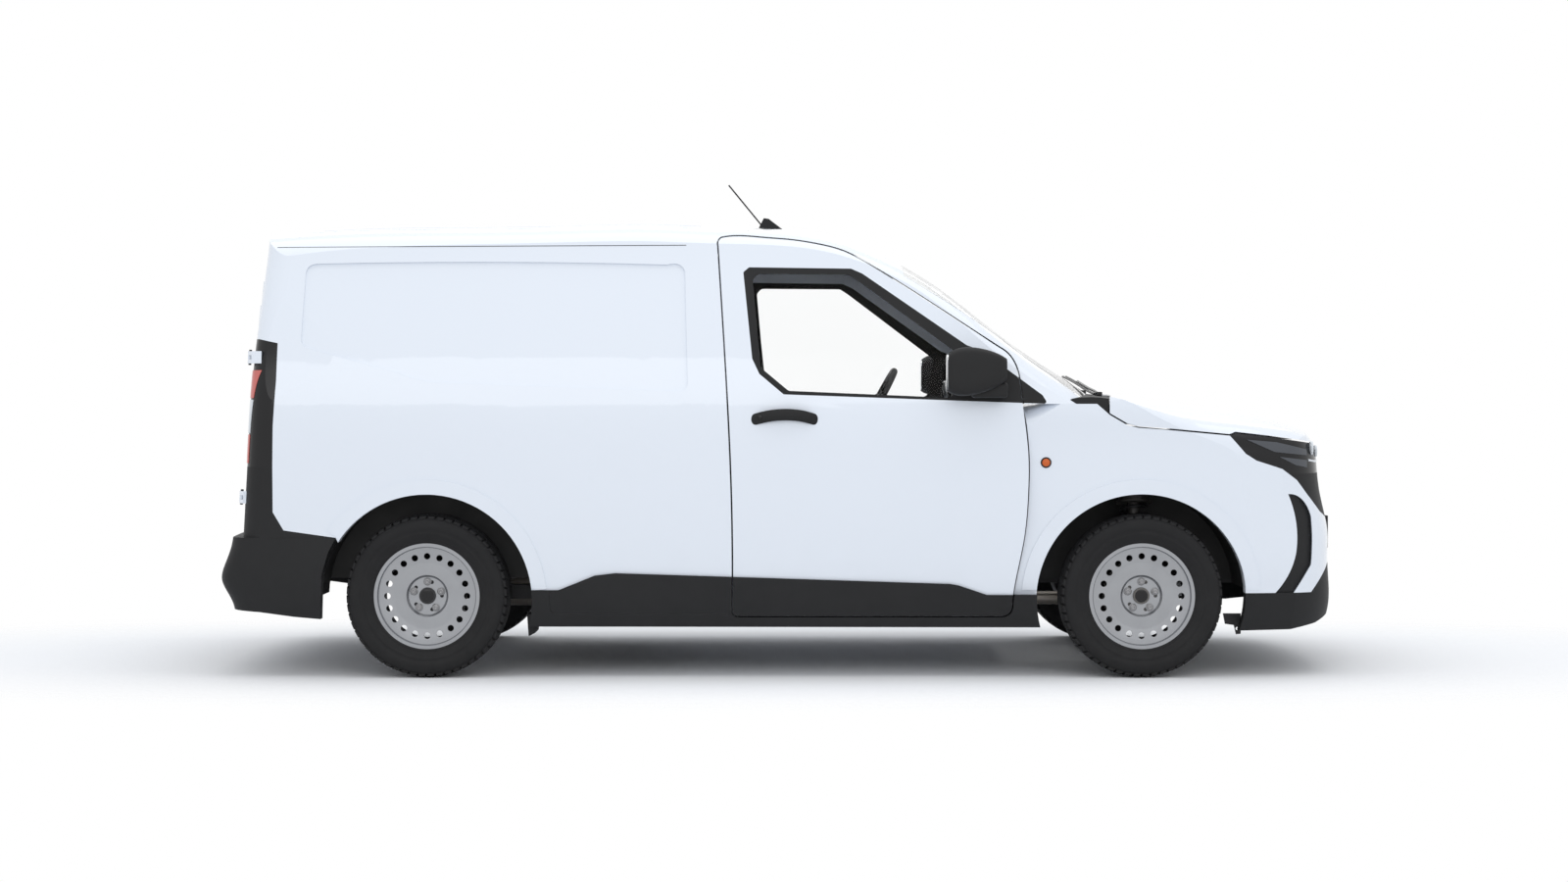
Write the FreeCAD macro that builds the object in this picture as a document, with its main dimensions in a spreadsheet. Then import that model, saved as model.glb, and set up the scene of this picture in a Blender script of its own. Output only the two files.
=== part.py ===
"""Small panel van: hollow steel body with hinged doors, bonnet, steered front wheels and a beam rear axle.

Frame: millimetres, +X to the nose, +Y to the left side, +Z up. The origin is on the ground under the middle
of the van's length and width. Lengths along the body are given as stations: a station from 0 to 1 runs from the
rear axle to the front axle, from 1 to 2 on to the nose, and from 0 to -1 back to the tail. Heights are shares
of the body's height, and widths are shares of its half width.
"""

import FreeCAD, Part
import math
import os

import Sketcher
from FreeCAD import Placement, Rotation, Vector

DRIVING_SIZES = {
    # Whole vehicle
    "wheelbase": 2692,
    "front_overhang": 819,
    "rear_overhang": 826,
    "body_height": 1745,
    "body_width": 1784,
    "track": 1550,
    "cut_overrun": 200,
    # Walls and gaps
    "side_wall": 56,
    "roof_wall": 42,
    "skin_flange": 8,
    "cladding_proud": 9,
    "shut_gap": 6,
    "door_step": 20,
    "seat_gap": 0.4,
    "glass_setback": 3,
    # Body form
    "sill_underside": 150,
    "roof_crown": 56,
    "cant_corner": 104,
    "bonnet_crown": 44,
    "bonnet_corner": 118,
    "front_plan_sag": 45,
    "front_corner_length": 330,
    "rear_plan_sag": 40,
    "rear_corner_length": 105,
    "front_taper": 46,
    "rear_taper": 24,
    # Load space and floor
    "floor_thickness": 24,
    "cab_floor_height": 330,
    "load_floor_height": 545,
    "bulkhead_thickness": 22,
    "wheelhouse_wall": 12,
    "sill_beam_width": 90,
    "sill_beam_height": 95,
    "liner_wall": 3,
    # Wheels and tyres
    "tyre_radius": 307.5,
    "tyre_width": 195,
    "tyre_bulge_radius": 262,
    "tread_width": 164,
    "bead_width": 152,
    "bead_radius": 190.5,
    "flange_radius": 207,
    "rim_wall": 4,
    "rim_well_radius": 166,
    "disc_ring_radius": 125,
    "vent_circle_radius": 150,
    "vent_radius": 12,
    "vent_count": 20,
    "hub_recess_radius": 79,
    "hub_face_radius": 71,
    "hub_bore_radius": 31.5,
    "wheel_offset": 48,
    "bolt_circle_radius": 54,
    "bolt_hole_radius": 7,
    "bolt_count": 5,
    "arch_gap": 88,
    "arch_drop": 12,
    # Running gear
    "hub_flange_radius": 66,
    "hub_flange_thickness": 12,
    "hub_spigot_length": 14,
    "brake_disc_radius": 140,
    "brake_disc_thickness": 22,
    "kingpin_angle": 12.4,
    "kingpin_offset": 80,
    "ball_joint_drop": 92,
    "strut_radius": 23,
    "strut_top_height": 790,
    "axle_tube_radius": 34,
    "trailing_arm_width": 60,
    "crossmember_height": 60,
    "lower_arm_thickness": 22,
    # Cab
    "steering_wheel_radius": 182,
    "steering_rim_radius": 15,
    "steering_rake": 28,
    "steering_wheel_x": 380,
    "steering_wheel_height": 1001,
    "column_radius": 34,
    "driver_offset": 370,
    "seat_width": 500,
    # Front and rear ends
    "bumper_wall": 40,
    "grille_bar_height": 19,
    "grille_rib_width": 14,
    "grille_rib_spacing": 230,
    "lamp_inner_half_width": 590,
    "plate_holder_depth": 20,
    "plate_centre_height": 520,
    "rear_door_meeting": -120,
    "hinge_strap_length": 100,
    "hinge_strap_height": 46,
    "hinge_strap_thickness": 6,
    "hinge_barrel_radius": 9,
    "hinge_pin_radius": 4,
    "hinge_pin_fit": 0.06,
    "hinge_pin_standoff": 16,
    "rear_hinge_low": 679,
    "rear_hinge_high": 1207,
    "rear_hinge_half_width": 787,
    "mirror_length": 222,
    "mirror_depth": 110,
    "mirror_height": 178,
    "mirror_round": 34,
    "dish_x": 4,
    "dish_height": 979,
    "dish_half_length": 125,
    "dish_half_height": 29,
    "dish_depth": 17,
    # Underbody
    "firewall_x": 925,
    "firewall_height": 975,
    "bulkhead_x": -430,
    "front_wheelhouse_inner": 462,
    "rear_wheelhouse_inner": 618,
    "wheelhouse_clearance": 12,
    "rail_inner": 380,
    "rail_outer": 450,
    "rail_underside": 330,
    "rail_height": 90,
    "rear_rail_inner": 480,
    "rear_rail_outer": 550,
    "rear_rail_height": 80,
    "crash_beam_half_width": 540,
    "crash_beam_depth": 70,
    "engine_length": 470,
    "engine_width": 620,
    "engine_height": 520,
    "radiator_depth": 48,
    "radiator_width": 640,
    "radiator_height": 440,
    "radiator_x": 1922,
    "drive_shaft_radius": 13,
    "boot_radius": 34,
    "boot_length": 60,
    "tank_length": 620,
    "tank_width": 560,
    "tank_height": 190,
    "exhaust_radius": 26,
    "silencer_radius": 90,
    "silencer_length": 420,
    "spring_radius": 52,
    "upper_spring_radius": 58,
    "spring_seat_radius": 66,
    "knuckle_radius": 22,
    "hub_barrel_radius": 42,
    "ball_radius": 15,
    "strut_tower_radius": 84,
    "strut_tower_wall": 8,
    # Mounts
    "grille_rib_set_back": 10,
    "mast_radius": 3.1,
    "fit_points": 15,
    "lashing_radius": 5,
    "lashing_spacing": 1100,
    "lashing_half_width": 432,
    "plate_width": 520,
    "plate_height": 111,
    "plate_hole_radius": 3,
    "plate_hole_spacing": 300,
}


class Sizes:
    """Driving dimensions, kept in a spreadsheet and read back from it."""

    def __init__(self, document):
        self.sheet = document.addObject("Spreadsheet::Sheet", "Sizes")
        for row, (name, value) in enumerate(DRIVING_SIZES.items(), start=1):
            self.sheet.set(f"A{row}", name)
            self.sheet.set(f"B{row}", str(value))
            self.sheet.setAlias(f"B{row}", name)
        document.recompute()

    def __getattr__(self, name):
        return float(getattr(self.sheet, name))

    def value(self, expression):
        return float(self.sheet.evalExpression(expression))


document = FreeCAD.newDocument("PanelVan")
size = Sizes(document)

half_width = size.body_width / 2
tail_x = -(size.wheelbase + size.front_overhang + size.rear_overhang) / 2
nose_x = -tail_x
front_axle_x = nose_x - size.front_overhang
rear_axle_x = tail_x + size.rear_overhang
axle_height = size.tyre_radius
arch_radius = size.tyre_radius + size.arch_gap
FRONT_AXLE = "(Sizes.wheelbase + Sizes.rear_overhang - Sizes.front_overhang) / 2"
REAR_AXLE = "(Sizes.rear_overhang - Sizes.wheelbase - Sizes.front_overhang) / 2"


def along(station):
    """X of a station: 0 rear axle, 1 front axle, 2 nose, -1 tail."""
    if station > 1:
        return front_axle_x + (station - 1) * size.front_overhang
    if station < 0:
        return rear_axle_x + station * size.rear_overhang
    return rear_axle_x + station * size.wheelbase


def up(share):
    return share * size.body_height


def across(share):
    return share * half_width


def smooth_value(table, at):
    """Value of a smooth curve through (place, value) pairs."""
    last = len(table) - 2
    index = max(0, min(last, sum(1 for place, _ in table[1:] if place <= at)))
    before = table[max(index - 1, 0)]
    start = table[index]
    end = table[index + 1]
    after = table[min(index + 2, len(table) - 1)]
    span = end[0] - start[0]
    share = (at - start[0]) / span
    slope_start = (end[1] - before[1]) / (end[0] - before[0]) * span
    slope_end = (after[1] - start[1]) / (after[0] - start[0]) * span
    square = share * share
    cube = square * share
    return (
        (2 * cube - 3 * square + 1) * start[1]
        + (cube - 2 * square + share) * slope_start
        + (3 * square - 2 * cube) * end[1]
        + (cube - square) * slope_end
    )


# Body envelope

side_shares = [
    (0.0, 0.900),
    (0.086, 0.930),
    (0.115, 0.947),
    (0.189, 0.978),
    (0.246, 0.991),
    (0.344, 0.993),
    (0.430, 0.997),
    (0.516, 1.0),
    (0.573, 0.997),
    (0.613, 0.984),
    (0.688, 0.949),
    (0.774, 0.904),
    (0.860, 0.857),
    (0.946, 0.809),
    (1.003, 0.777),
    (1.070, 0.740),
]
roof_shares = [
    (-1.10, 0.9700),
    (-0.78, 0.9805),
    (-0.53, 0.9880),
    (-0.03, 0.9950),
    (0.15, 0.9990),
    (0.31, 0.9995),
    (0.41, 0.9968),
    (0.50, 0.9912),
    (0.545, 0.9825),
    (0.592, 0.9638),
    (0.640, 0.9355),
    (0.688, 0.8985),
    (0.759, 0.8200),
    (0.833, 0.7395),
    (0.907, 0.6530),
    (0.981, 0.5560),
]
cabin_station_shares = [-1.1, -0.6, -0.05, 0.2, 0.37, 0.5, 0.56, 0.62, 0.69, 0.78, 0.88, 0.975]
bonnet_shares = [
    (0.80, 0.6320),
    (0.90, 0.6210),
    (0.982, 0.6090),
    (1.10, 0.5985),
    (1.28, 0.5895),
    (1.50, 0.5762),
    (1.66, 0.5640),
    (1.78, 0.5500),
    (1.90, 0.5290),
    (2.10, 0.4800),
]
hood_station_shares = [0.80, 0.90, 1.0, 1.2, 1.45, 1.7, 1.9, 2.1]
bonnet_crown_shares = [(0.80, 0.36), (0.95, 0.42), (1.10, 0.70), (1.30, 1.0), (2.10, 1.0)]
bonnet_corner_shares = [(0.80, 0.26), (0.95, 0.30), (1.10, 0.68), (1.30, 1.0), (2.10, 1.0)]
front_face_shares = [
    (0.04, 1.930),
    (0.12, 1.972),
    (0.16, 1.984),
    (0.24, 1.972),
    (0.335, 1.962),
    (0.40, 1.930),
    (0.46, 1.915),
    (0.493, 1.903),
    (0.52, 1.872),
    (0.55, 1.800),
    (0.60, 1.660),
    (0.70, 1.450),
]
rear_face_shares = [
    (0.04, -0.925),
    (0.17, -0.912),
    (0.30, -0.898),
    (0.45, -0.879),
    (0.62, -0.861),
    (0.80, -0.836),
    (0.95, -0.812),
    (1.08, -0.790),
]


def body_half_width(height, x, inset):
    """Half width of the body side at a height and a place along the body."""
    width = across(smooth_value(side_shares, height / size.body_height))
    taper_start = along(0.91)
    if x > taper_start:
        width -= size.front_taper * ((x - taper_start) / (along(1.55) - taper_start)) ** 2
    rear_start = along(0.2)
    if x < rear_start:
        width -= size.rear_taper * ((rear_start - x) / (rear_start - tail_x)) ** 2
    return width - inset


def section_wire(x, top, crown, corner, side_inset, drop):
    """Cross-section of the body at x: sides, rounded cant corners, a crowned top and a flat base."""
    top_z = top - drop
    crown_span = across(0.78)
    base = size.sill_underside - drop

    def top_height(y):
        return top_z - crown * (y / crown_span) ** 2

    edge_z = top_z - crown
    for _ in range(12):
        edge_y = body_half_width(edge_z, x, side_inset)
        edge_z = top_height(edge_y)
    radius = max(corner - side_inset * 0.6, corner * 0.3)
    side_top = edge_z - radius
    side_points = []
    side_steps = 7
    for step in range(side_steps + 1):
        z = base + (side_top - base) * step / side_steps
        side_points.append(Vector(x, body_half_width(z, x, side_inset), z))
    inner_y = edge_y - radius
    corner_end = Vector(x, inner_y, top_height(inner_y))
    side = Part.BSplineCurve()
    side.interpolate(side_points)
    bend = Part.BezierCurve()
    bend.setPoles([side_points[-1], Vector(x, edge_y, edge_z), corner_end])
    crown_curve = Part.BezierCurve()
    tangent_drop = 2 * crown * (inner_y / crown_span) ** 2
    middle = Vector(x, 0, corner_end.z + tangent_drop)
    mirrored_end = Vector(x, -inner_y, corner_end.z)
    crown_curve.setPoles([corner_end, middle, mirrored_end])
    edges = [side.toShape(), bend.toShape()]
    mirrored = [edge.mirror(Vector(0, 0, 0), Vector(0, 1, 0)) for edge in edges]
    base_line = Part.makeLine(
        Vector(x, -side_points[0].y, base), Vector(x, side_points[0].y, base)
    )
    return Part.Wire(edges + [crown_curve.toShape()] + mirrored[::-1] + [base_line])


def cabin_tube(side_inset, drop):
    wires = []
    for station in cabin_station_shares:
        top = up(smooth_value(roof_shares, station))
        wires.append(
            section_wire(along(station), top, size.roof_crown, size.cant_corner, side_inset, drop)
        )
    return Part.makeLoft(wires, True, False)


def hood_tube(side_inset, drop):
    wires = []
    for station in hood_station_shares:
        top = up(smooth_value(bonnet_shares, station))
        crown = size.bonnet_crown * smooth_value(bonnet_crown_shares, station)
        corner = size.bonnet_corner * smooth_value(bonnet_corner_shares, station)
        wires.append(section_wire(along(station), top, crown, corner, side_inset, drop))
    return Part.makeLoft(wires, True, False)


def plan_wire(z, face_x, sag, corner_length, inset, back_x):
    """Plan outline at height z: a bowed end face, rounded corners, straight sides and a flat back."""
    direction = 1 if face_x > back_x else -1
    end_x = face_x - direction * inset
    corner_x = end_x - direction * (sag + corner_length)
    side_y = body_half_width(z, corner_x, inset) + size.seat_gap
    start_y = side_y - corner_length * 0.8
    start_x = end_x - direction * sag
    bow = Part.Arc(Vector(start_x, -start_y, z), Vector(end_x, 0, z), Vector(start_x, start_y, z))
    slope = 2 * sag / start_y
    knee_left = Vector(start_x - direction * slope * (side_y - start_y) * 0.55, side_y, z)
    left = Part.BezierCurve()
    left.setPoles([Vector(start_x, start_y, z), knee_left, Vector(corner_x, side_y, z)])
    right = Part.BezierCurve()
    knee_right = Vector(knee_left.x, -side_y, z)
    right.setPoles([Vector(corner_x, -side_y, z), knee_right, Vector(start_x, -start_y, z)])
    wide_y = side_y + size.cut_overrun * 0.02
    return Part.Wire(
        [
            right.toShape(),
            bow.toShape(),
            left.toShape(),
            Part.makeLine(Vector(corner_x, side_y, z), Vector(back_x, wide_y, z)),
            Part.makeLine(Vector(back_x, wide_y, z), Vector(back_x, -wide_y, z)),
            Part.makeLine(Vector(back_x, -wide_y, z), Vector(corner_x, -side_y, z)),
        ]
    )


def end_envelope(face_shares, sag, corner_length, inset, back_x):
    wires = []
    for share, station in face_shares:
        wires.append(plan_wire(up(share), along(station), sag, corner_length, inset, back_x))
    return Part.makeLoft(wires, True, False)


def mirrored(shape):
    return shape.mirror(Vector(0, 0, 0), Vector(0, 1, 0))


def cylinder_across(x, z, radius, low_y, high_y):
    return Part.makeCylinder(radius, high_y - low_y, Vector(x, low_y, z), Vector(0, 1, 0))


reach = half_width + size.cut_overrun


class Envelope:
    """The body's outer form at one inset: cab and load space, and the nose."""

    def __init__(self, inset, drop, with_nose=False):
        rear = end_envelope(
            rear_face_shares, size.rear_plan_sag, size.rear_corner_length, inset, along(1.2)
        )
        self.tube = cabin_tube(inset, drop)
        self.cabin = self.tube.common(rear)
        if not with_nose:
            return
        hood = hood_tube(inset, drop)
        nose = end_envelope(
            front_face_shares, size.front_plan_sag, size.front_corner_length, inset, along(0.6)
        )
        self.nose = hood.common(nose)


outer = Envelope(0, 0, with_nose=True)
proud = Envelope(-size.cladding_proud, -size.cladding_proud)
flange = Envelope(size.skin_flange, size.skin_flange, with_nose=True)
inner = Envelope(size.side_wall, size.roof_wall, with_nose=True)
pane = Envelope(size.glass_setback, size.glass_setback)

cabin_shell = outer.cabin.cut(inner.cabin)
nose_shell = outer.nose.cut(inner.nose)
cabin_skin = outer.cabin.cut(flange.cabin)
proud_skin = proud.cabin.cut(flange.cabin)

# Outlines, in side view: each run of three or more points is a smooth curve


def outline_wire(runs, y):
    edges = []
    for run in runs:
        points = [Vector(along(station), y, up(share)) for station, share in run]
        if len(points) == 2:
            edges.append(Part.makeLine(points[0], points[1]))
        else:
            curve = Part.BSplineCurve()
            curve.interpolate(points)
            edges.append(curve.toShape())
    return Part.Wire(edges)


def polygon_runs(points):
    return [[start, end] for start, end in zip(points, points[1:] + points[:1])]


def offset_wire(wire, distance):
    """Outline moved outwards by a distance, with its free curves fitted again as splines."""
    edges = []
    for edge in wire.makeOffset2D(distance).OrderedEdges:
        if isinstance(edge.Curve, (Part.Line, Part.Circle)):
            edges.append(edge)
            continue
        curve = Part.BSplineCurve()
        curve.interpolate(edge.discretize(int(size.fit_points)))
        edges.append(curve.toShape())
    return Part.Wire(Part.__sortEdges__(edges))


def side_zone(runs, growth=0, corner=0, both=False):
    """Solid of a side-view outline over the right side, or over the whole width."""
    low_y = -reach
    depth = 2 * reach if both else reach - across(0.25)
    wire = outline_wire(runs, low_y)
    if corner:
        wire = offset_wire(offset_wire(wire, -corner), corner)
    if growth:
        wire = offset_wire(wire, growth)
    return Part.Face(wire).extrude(Vector(0, depth, 0))


def rear_zone(growth):
    """Solid of both rear doors' outline, seen from behind."""
    x = tail_x - size.cut_overrun
    left = []
    for share, width_share in rear_door_shares:
        y = width_share * body_half_width(up(share), along(-0.85), 0)
        left.append(Vector(x, y, up(share)))
    curve = Part.BSplineCurve()
    curve.interpolate(left)
    mirror_curve = Part.BSplineCurve()
    mirror_curve.interpolate([Vector(x, -point.y, point.z) for point in left])
    top = Part.makeLine(left[-1], Vector(x, -left[-1].y, left[-1].z))
    bottom = Part.makeLine(left[0], Vector(x, -left[0].y, left[0].z))
    wire = Part.Wire([curve.toShape(), top, mirror_curve.toShape(), bottom])
    if growth:
        wire = offset_wire(wire, growth)
    return Part.Face(wire).extrude(Vector(along(-0.62) - x, 0, 0))


def box(low_x, high_x, low_y, high_y, low_z, high_z):
    return Part.makeBox(
        high_x - low_x, high_y - low_y, high_z - low_z, Vector(low_x, low_y, low_z)
    )


door_shares = [
    [
        (0.411, 0.9535),
        (0.424, 0.9567),
        (0.470, 0.9535),
        (0.513, 0.9479),
        (0.544, 0.9401),
        (0.583, 0.9241),
        (0.620, 0.8937),
        (0.673, 0.8420),
        (0.726, 0.7883),
        (0.802, 0.7116),
    ],
    [
        (0.802, 0.7116),
        (0.820, 0.6840),
        (0.827, 0.6500),
        (0.832, 0.5933),
        (0.840, 0.4818),
        (0.840, 0.4046),
        (0.834, 0.2986),
        (0.824, 0.2206),
        (0.818, 0.1600),
    ],
    [(0.818, 0.1600), (0.8145, 0.1400), (0.804, 0.1335)],
    [(0.804, 0.1335), (0.436, 0.1335)],
    [(0.436, 0.1335), (0.430, 0.1370), (0.428, 0.1450)],
    [
        (0.428, 0.1450),
        (0.428, 0.3355),
        (0.426, 0.4503),
        (0.421, 0.6109),
        (0.415, 0.7571),
        (0.407, 0.9350),
    ],
    [(0.407, 0.9350), (0.4075, 0.9475), (0.411, 0.9535)],
]
window_frame_shares = [
    (0.442, 0.8775),
    (0.450, 0.8883),
    (0.594, 0.8853),
    (0.610, 0.8743),
    (0.755, 0.7180),
    (0.776, 0.7063),
    (0.823, 0.6523),
    (0.860, 0.6101),
    (0.8675, 0.5912),
    (0.499, 0.6115),
    (0.465, 0.6557),
    (0.455, 0.6882),
]
window_shares = [
    (0.4555, 0.8610),
    (0.4628, 0.8733),
    (0.5900, 0.8722),
    (0.6034, 0.8590),
    (0.7430, 0.6990),
    (0.7335, 0.6040),
    (0.5060, 0.6190),
    (0.4670, 0.6690),
    (0.4620, 0.7430),
]
roof_zone_shares = [
    (-1.2, 0.9296),
    (0.402, 0.9377),
    (0.402, 0.9710),
    (0.470, 0.9680),
    (0.515, 0.9622),
    (0.549, 0.9540),
    (0.590, 0.9375),
    (0.629, 0.9060),
    (0.668, 0.8700),
    (0.668, 1.2),
    (-1.2, 1.2),
]
windscreen_shares = [
    (0.668, 1.2),
    (0.668, 0.8700),
    (0.736, 0.8053),
    (0.778, 0.7625),
    (0.825, 0.7090),
    (0.855, 0.6735),
    (0.899, 0.6234),
    (0.922, 0.5912),
    (0.941, 0.5912),
    (0.941, 1.2),
]
below_pillar_shares = [(0.75, 0.5912), (1.10, 0.5912), (1.10, 0.0), (0.75, 0.0)]
cladding_shares = [
    (0.10, 0.110),
    (0.90, 0.108),
    (0.90, 0.1785),
    (0.783, 0.1793),
    (0.743, 0.2002),
    (0.731, 0.2033),
    (0.428, 0.2185),
    (0.264, 0.2265),
    (0.235, 0.2212),
    (0.184, 0.1894),
    (0.10, 0.1894),
]
below_side_shares = [
    (-1.3, 0.3029),
    (-0.411, 0.3029),
    (-0.30, 0.1894),
    (0.184, 0.1894),
    (0.235, 0.2212),
    (0.264, 0.2265),
    (0.428, 0.2185),
    (0.86, 0.200),
    (0.86, 0.0),
    (-1.3, 0.0),
]
lamp_shares = [
    (-1.3, 0.4554),
    (-0.697, 0.4554),
    (-0.695, 0.5423),
    (-0.684, 0.6397),
    (-0.684, 0.7223),
    (-0.775, 0.7314),
    (-1.3, 0.7314),
]
corner_trim_shares = [
    (-1.3, 0.3029),
    (-0.411, 0.3029),
    (-0.648, 0.3188),
    (-0.697, 0.3580),
    (-0.697, 0.4554),
    (-1.3, 0.4554),
]
rear_bumper_shares = [
    (-1.3, 0.3029),
    (-0.411, 0.3029),
    (-0.446, 0.2720),
    (-0.478, 0.2236),
    (-0.490, 0.1255),
    (-0.610, 0.1307),
    (-0.766, 0.1410),
    (-1.3, 0.1600),
]
rear_bumper_face_shares = [
    (0.04, -0.940),
    (0.128, -0.948),
    (0.175, -0.968),
    (0.210, -1.0),
    (0.246, -0.982),
    (0.286, -0.952),
    (0.330, -0.935),
]
rear_door_shares = [
    (0.3075, 0.890),
    (0.360, 0.905),
    (0.600, 0.905),
    (0.750, 0.900),
    (0.880, 0.885),
    (0.925, 0.860),
    (0.948, 0.800),
]
recess_shares = [
    [(-0.572, 0.870), (-0.561, 0.8880), (-0.520, 0.8959)],
    [(-0.520, 0.8959), (0.093, 0.9002), (0.335, 0.8940)],
    [(0.335, 0.8940), (0.355, 0.8905), (0.360, 0.8786)],
    [(0.360, 0.8786), (0.365, 0.6400)],
    [(0.365, 0.6400), (0.362, 0.6240), (0.348, 0.6185)],
    [(0.348, 0.6185), (0.022, 0.6364)],
    [(0.022, 0.6364), (-0.050, 0.6440), (-0.129, 0.6571)],
    [(-0.129, 0.6571), (-0.534, 0.7095)],
    [(-0.534, 0.7095), (-0.567, 0.7180), (-0.578, 0.7380)],
    [(-0.578, 0.7380), (-0.572, 0.870)],
]
fender_shares = [
    (0.76, 0.5912),
    (0.936, 0.5912),
    (0.954, 0.5671),
    (0.978, 0.5456),
    (0.993, 0.5397),
    (1.113, 0.5352),
    (1.405, 0.5224),
    (1.476, 0.4834),
    (1.263, 0.3693),
    (1.150, 0.2500),
    (0.900, 0.1785),
    (0.783, 0.1793),
    (0.760, 0.1900),
]
bonnet_zone_shares = [
    (0.936, 0.5912),
    (0.954, 0.5671),
    (0.978, 0.5456),
    (0.993, 0.5397),
    (1.113, 0.5352),
    (1.405, 0.5224),
    (1.435, 0.5275),
    (1.623, 0.5173),
    (1.817, 0.5045),
    (2.15, 0.4930),
    (2.15, 0.8),
    (0.936, 0.8),
]
lamp_and_grille_shares = [
    (1.405, 0.5224),
    (1.435, 0.5275),
    (1.623, 0.5173),
    (1.817, 0.5045),
    (2.15, 0.4930),
    (2.15, 0.3400),
    (1.886, 0.3438),
    (1.848, 0.3564),
    (1.776, 0.3948),
    (1.722, 0.4258),
    (1.648, 0.4504),
    (1.5257, 0.4688),
    (1.476, 0.4834),
]
bumper_shares = [
    (1.476, 0.4834),
    (1.5257, 0.4688),
    (1.648, 0.4504),
    (1.722, 0.4258),
    (1.776, 0.3948),
    (1.848, 0.3564),
    (1.886, 0.3438),
    (2.15, 0.3400),
    (2.15, 0.2418),
    (1.900, 0.2418),
    (1.797, 0.1818),
    (1.300, 0.1818),
    (1.200, 0.3028),
    (1.263, 0.3693),
]
lower_bumper_shares = [
    (1.300, 0.1818),
    (1.797, 0.1818),
    (1.900, 0.2418),
    (2.15, 0.2418),
    (2.15, 0.1480),
    (1.930, 0.1325),
    (1.830, 0.1123),
    (1.700, 0.1009),
    (1.300, 0.0980),
]
air_curtain_shares = [
    [(1.677, 0.3960), (1.732, 0.3896), (1.766, 0.3746), (1.794, 0.3468)],
    [(1.794, 0.3468), (1.799, 0.3050), (1.794, 0.2419)],
    [(1.794, 0.2419), (1.709, 0.1818)],
    [(1.709, 0.1818), (1.622, 0.1818)],
    [(1.622, 0.1818), (1.690, 0.2300), (1.717, 0.2700)],
    [(1.717, 0.2700), (1.719, 0.3250), (1.677, 0.3960)],
]
grille_bar_shares = [0.479, 0.456, 0.434, 0.409, 0.3845, 0.360]

door_zone = side_zone(door_shares)
door_gap_zone = side_zone(door_shares, growth=size.shut_gap)
door_core_zone = side_zone(door_shares, growth=-size.door_step)
window_frame_zone = side_zone(polygon_runs(window_frame_shares), corner=size.skin_flange)
window_zone = side_zone(polygon_runs(window_shares), corner=size.door_step)
cladding_zone = side_zone(polygon_runs(cladding_shares))
roof_zone = side_zone(polygon_runs(roof_zone_shares), both=True)
windscreen_zone = side_zone(polygon_runs(windscreen_shares), both=True)
lamp_zone = side_zone(polygon_runs(lamp_shares))
corner_trim_zone = side_zone(polygon_runs(corner_trim_shares))
recess_zone = side_zone(recess_shares)
rear_opening = rear_zone(0)
rear_gap_opening = rear_zone(size.shut_gap)
rear_core_opening = rear_zone(-size.door_step)

arch_z = axle_height - size.arch_drop


def arch_cylinder(x, growth=0, low_y=None, high_y=None):
    low = -reach if low_y is None else low_y
    high = -across(0.25) if high_y is None else high_y
    return cylinder_across(x, arch_z, arch_radius + growth, low, high)


parts = {}


def keep(label, shape):
    """Adds a sub-part made with Part's own functions."""
    piece = document.addObject("Part::Feature", label)
    piece.Shape = shape
    piece.Label = label
    parts[label] = piece
    return piece


# Body sides


def body_side():
    half = cabin_shell.common(
        box(tail_x - reach, along(1.0), -reach, -across(0.25), 0, 2 * size.body_height)
    )
    side = half.cut(
        [
            roof_zone,
            windscreen_zone,
            door_gap_zone,
            window_frame_zone,
            side_zone(polygon_runs(below_pillar_shares)),
            side_zone(polygon_runs(below_side_shares)),
            lamp_zone,
            corner_trim_zone,
            rear_gap_opening,
            arch_cylinder(rear_axle_x),
        ]
    )
    return side.cut(cabin_skin.common(recess_zone))


right_side = body_side()
keep("body_side_right", right_side)
keep("body_side_left", mirrored(right_side))

pillar_trim = cabin_shell.common(window_frame_zone).cut([door_gap_zone, windscreen_zone])
keep("pillar_trims", Part.makeCompound([pillar_trim, mirrored(pillar_trim)]))

roof = cabin_shell.common(roof_zone).cut(
    [door_gap_zone, mirrored(door_gap_zone), rear_gap_opening]
)
keep("roof_panel", roof)

keep("windscreen", pane.cabin.cut(flange.cabin).common(windscreen_zone))

sill_outer = body_half_width(size.cab_floor_height, 0, size.side_wall) - size.door_step
sill_trim = (
    proud.cabin.cut(inner.cabin)
    .common(cladding_zone)
    .common(box(tail_x, nose_x, -reach, -sill_outer, 0, size.body_height))
    .cut([door_gap_zone, arch_cylinder(rear_axle_x), arch_cylinder(front_axle_x)])
)
keep("sill_trims", Part.makeCompound([sill_trim, mirrored(sill_trim)]))

# Front doors


def front_door():
    slab = cabin_shell.common(door_zone)
    step = door_zone.cut(door_core_zone).common(flange.cabin)
    panel = slab.cut([step, window_zone])
    trim_area = cabin_skin.common(window_frame_zone)
    skirt_area = proud_skin.common(cladding_zone)
    panel = panel.cut([trim_area, skirt_area, handle_dish()])
    frame = trim_area.common(door_zone).cut(window_zone)
    skirt = skirt_area.common(door_zone)
    glass = pane.cabin.cut(flange.cabin).common(window_zone)
    return panel, frame, skirt, glass


mirror_section_shares = [
    (0.00, 0.09, 0.85, 0.92),
    (0.12, 0.01, 0.95, 1.00),
    (0.40, 0.00, 1.00, 0.98),
    (0.76, 0.13, 0.91, 0.86),
    (1.00, 0.33, 0.76, 0.62),
]


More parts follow.
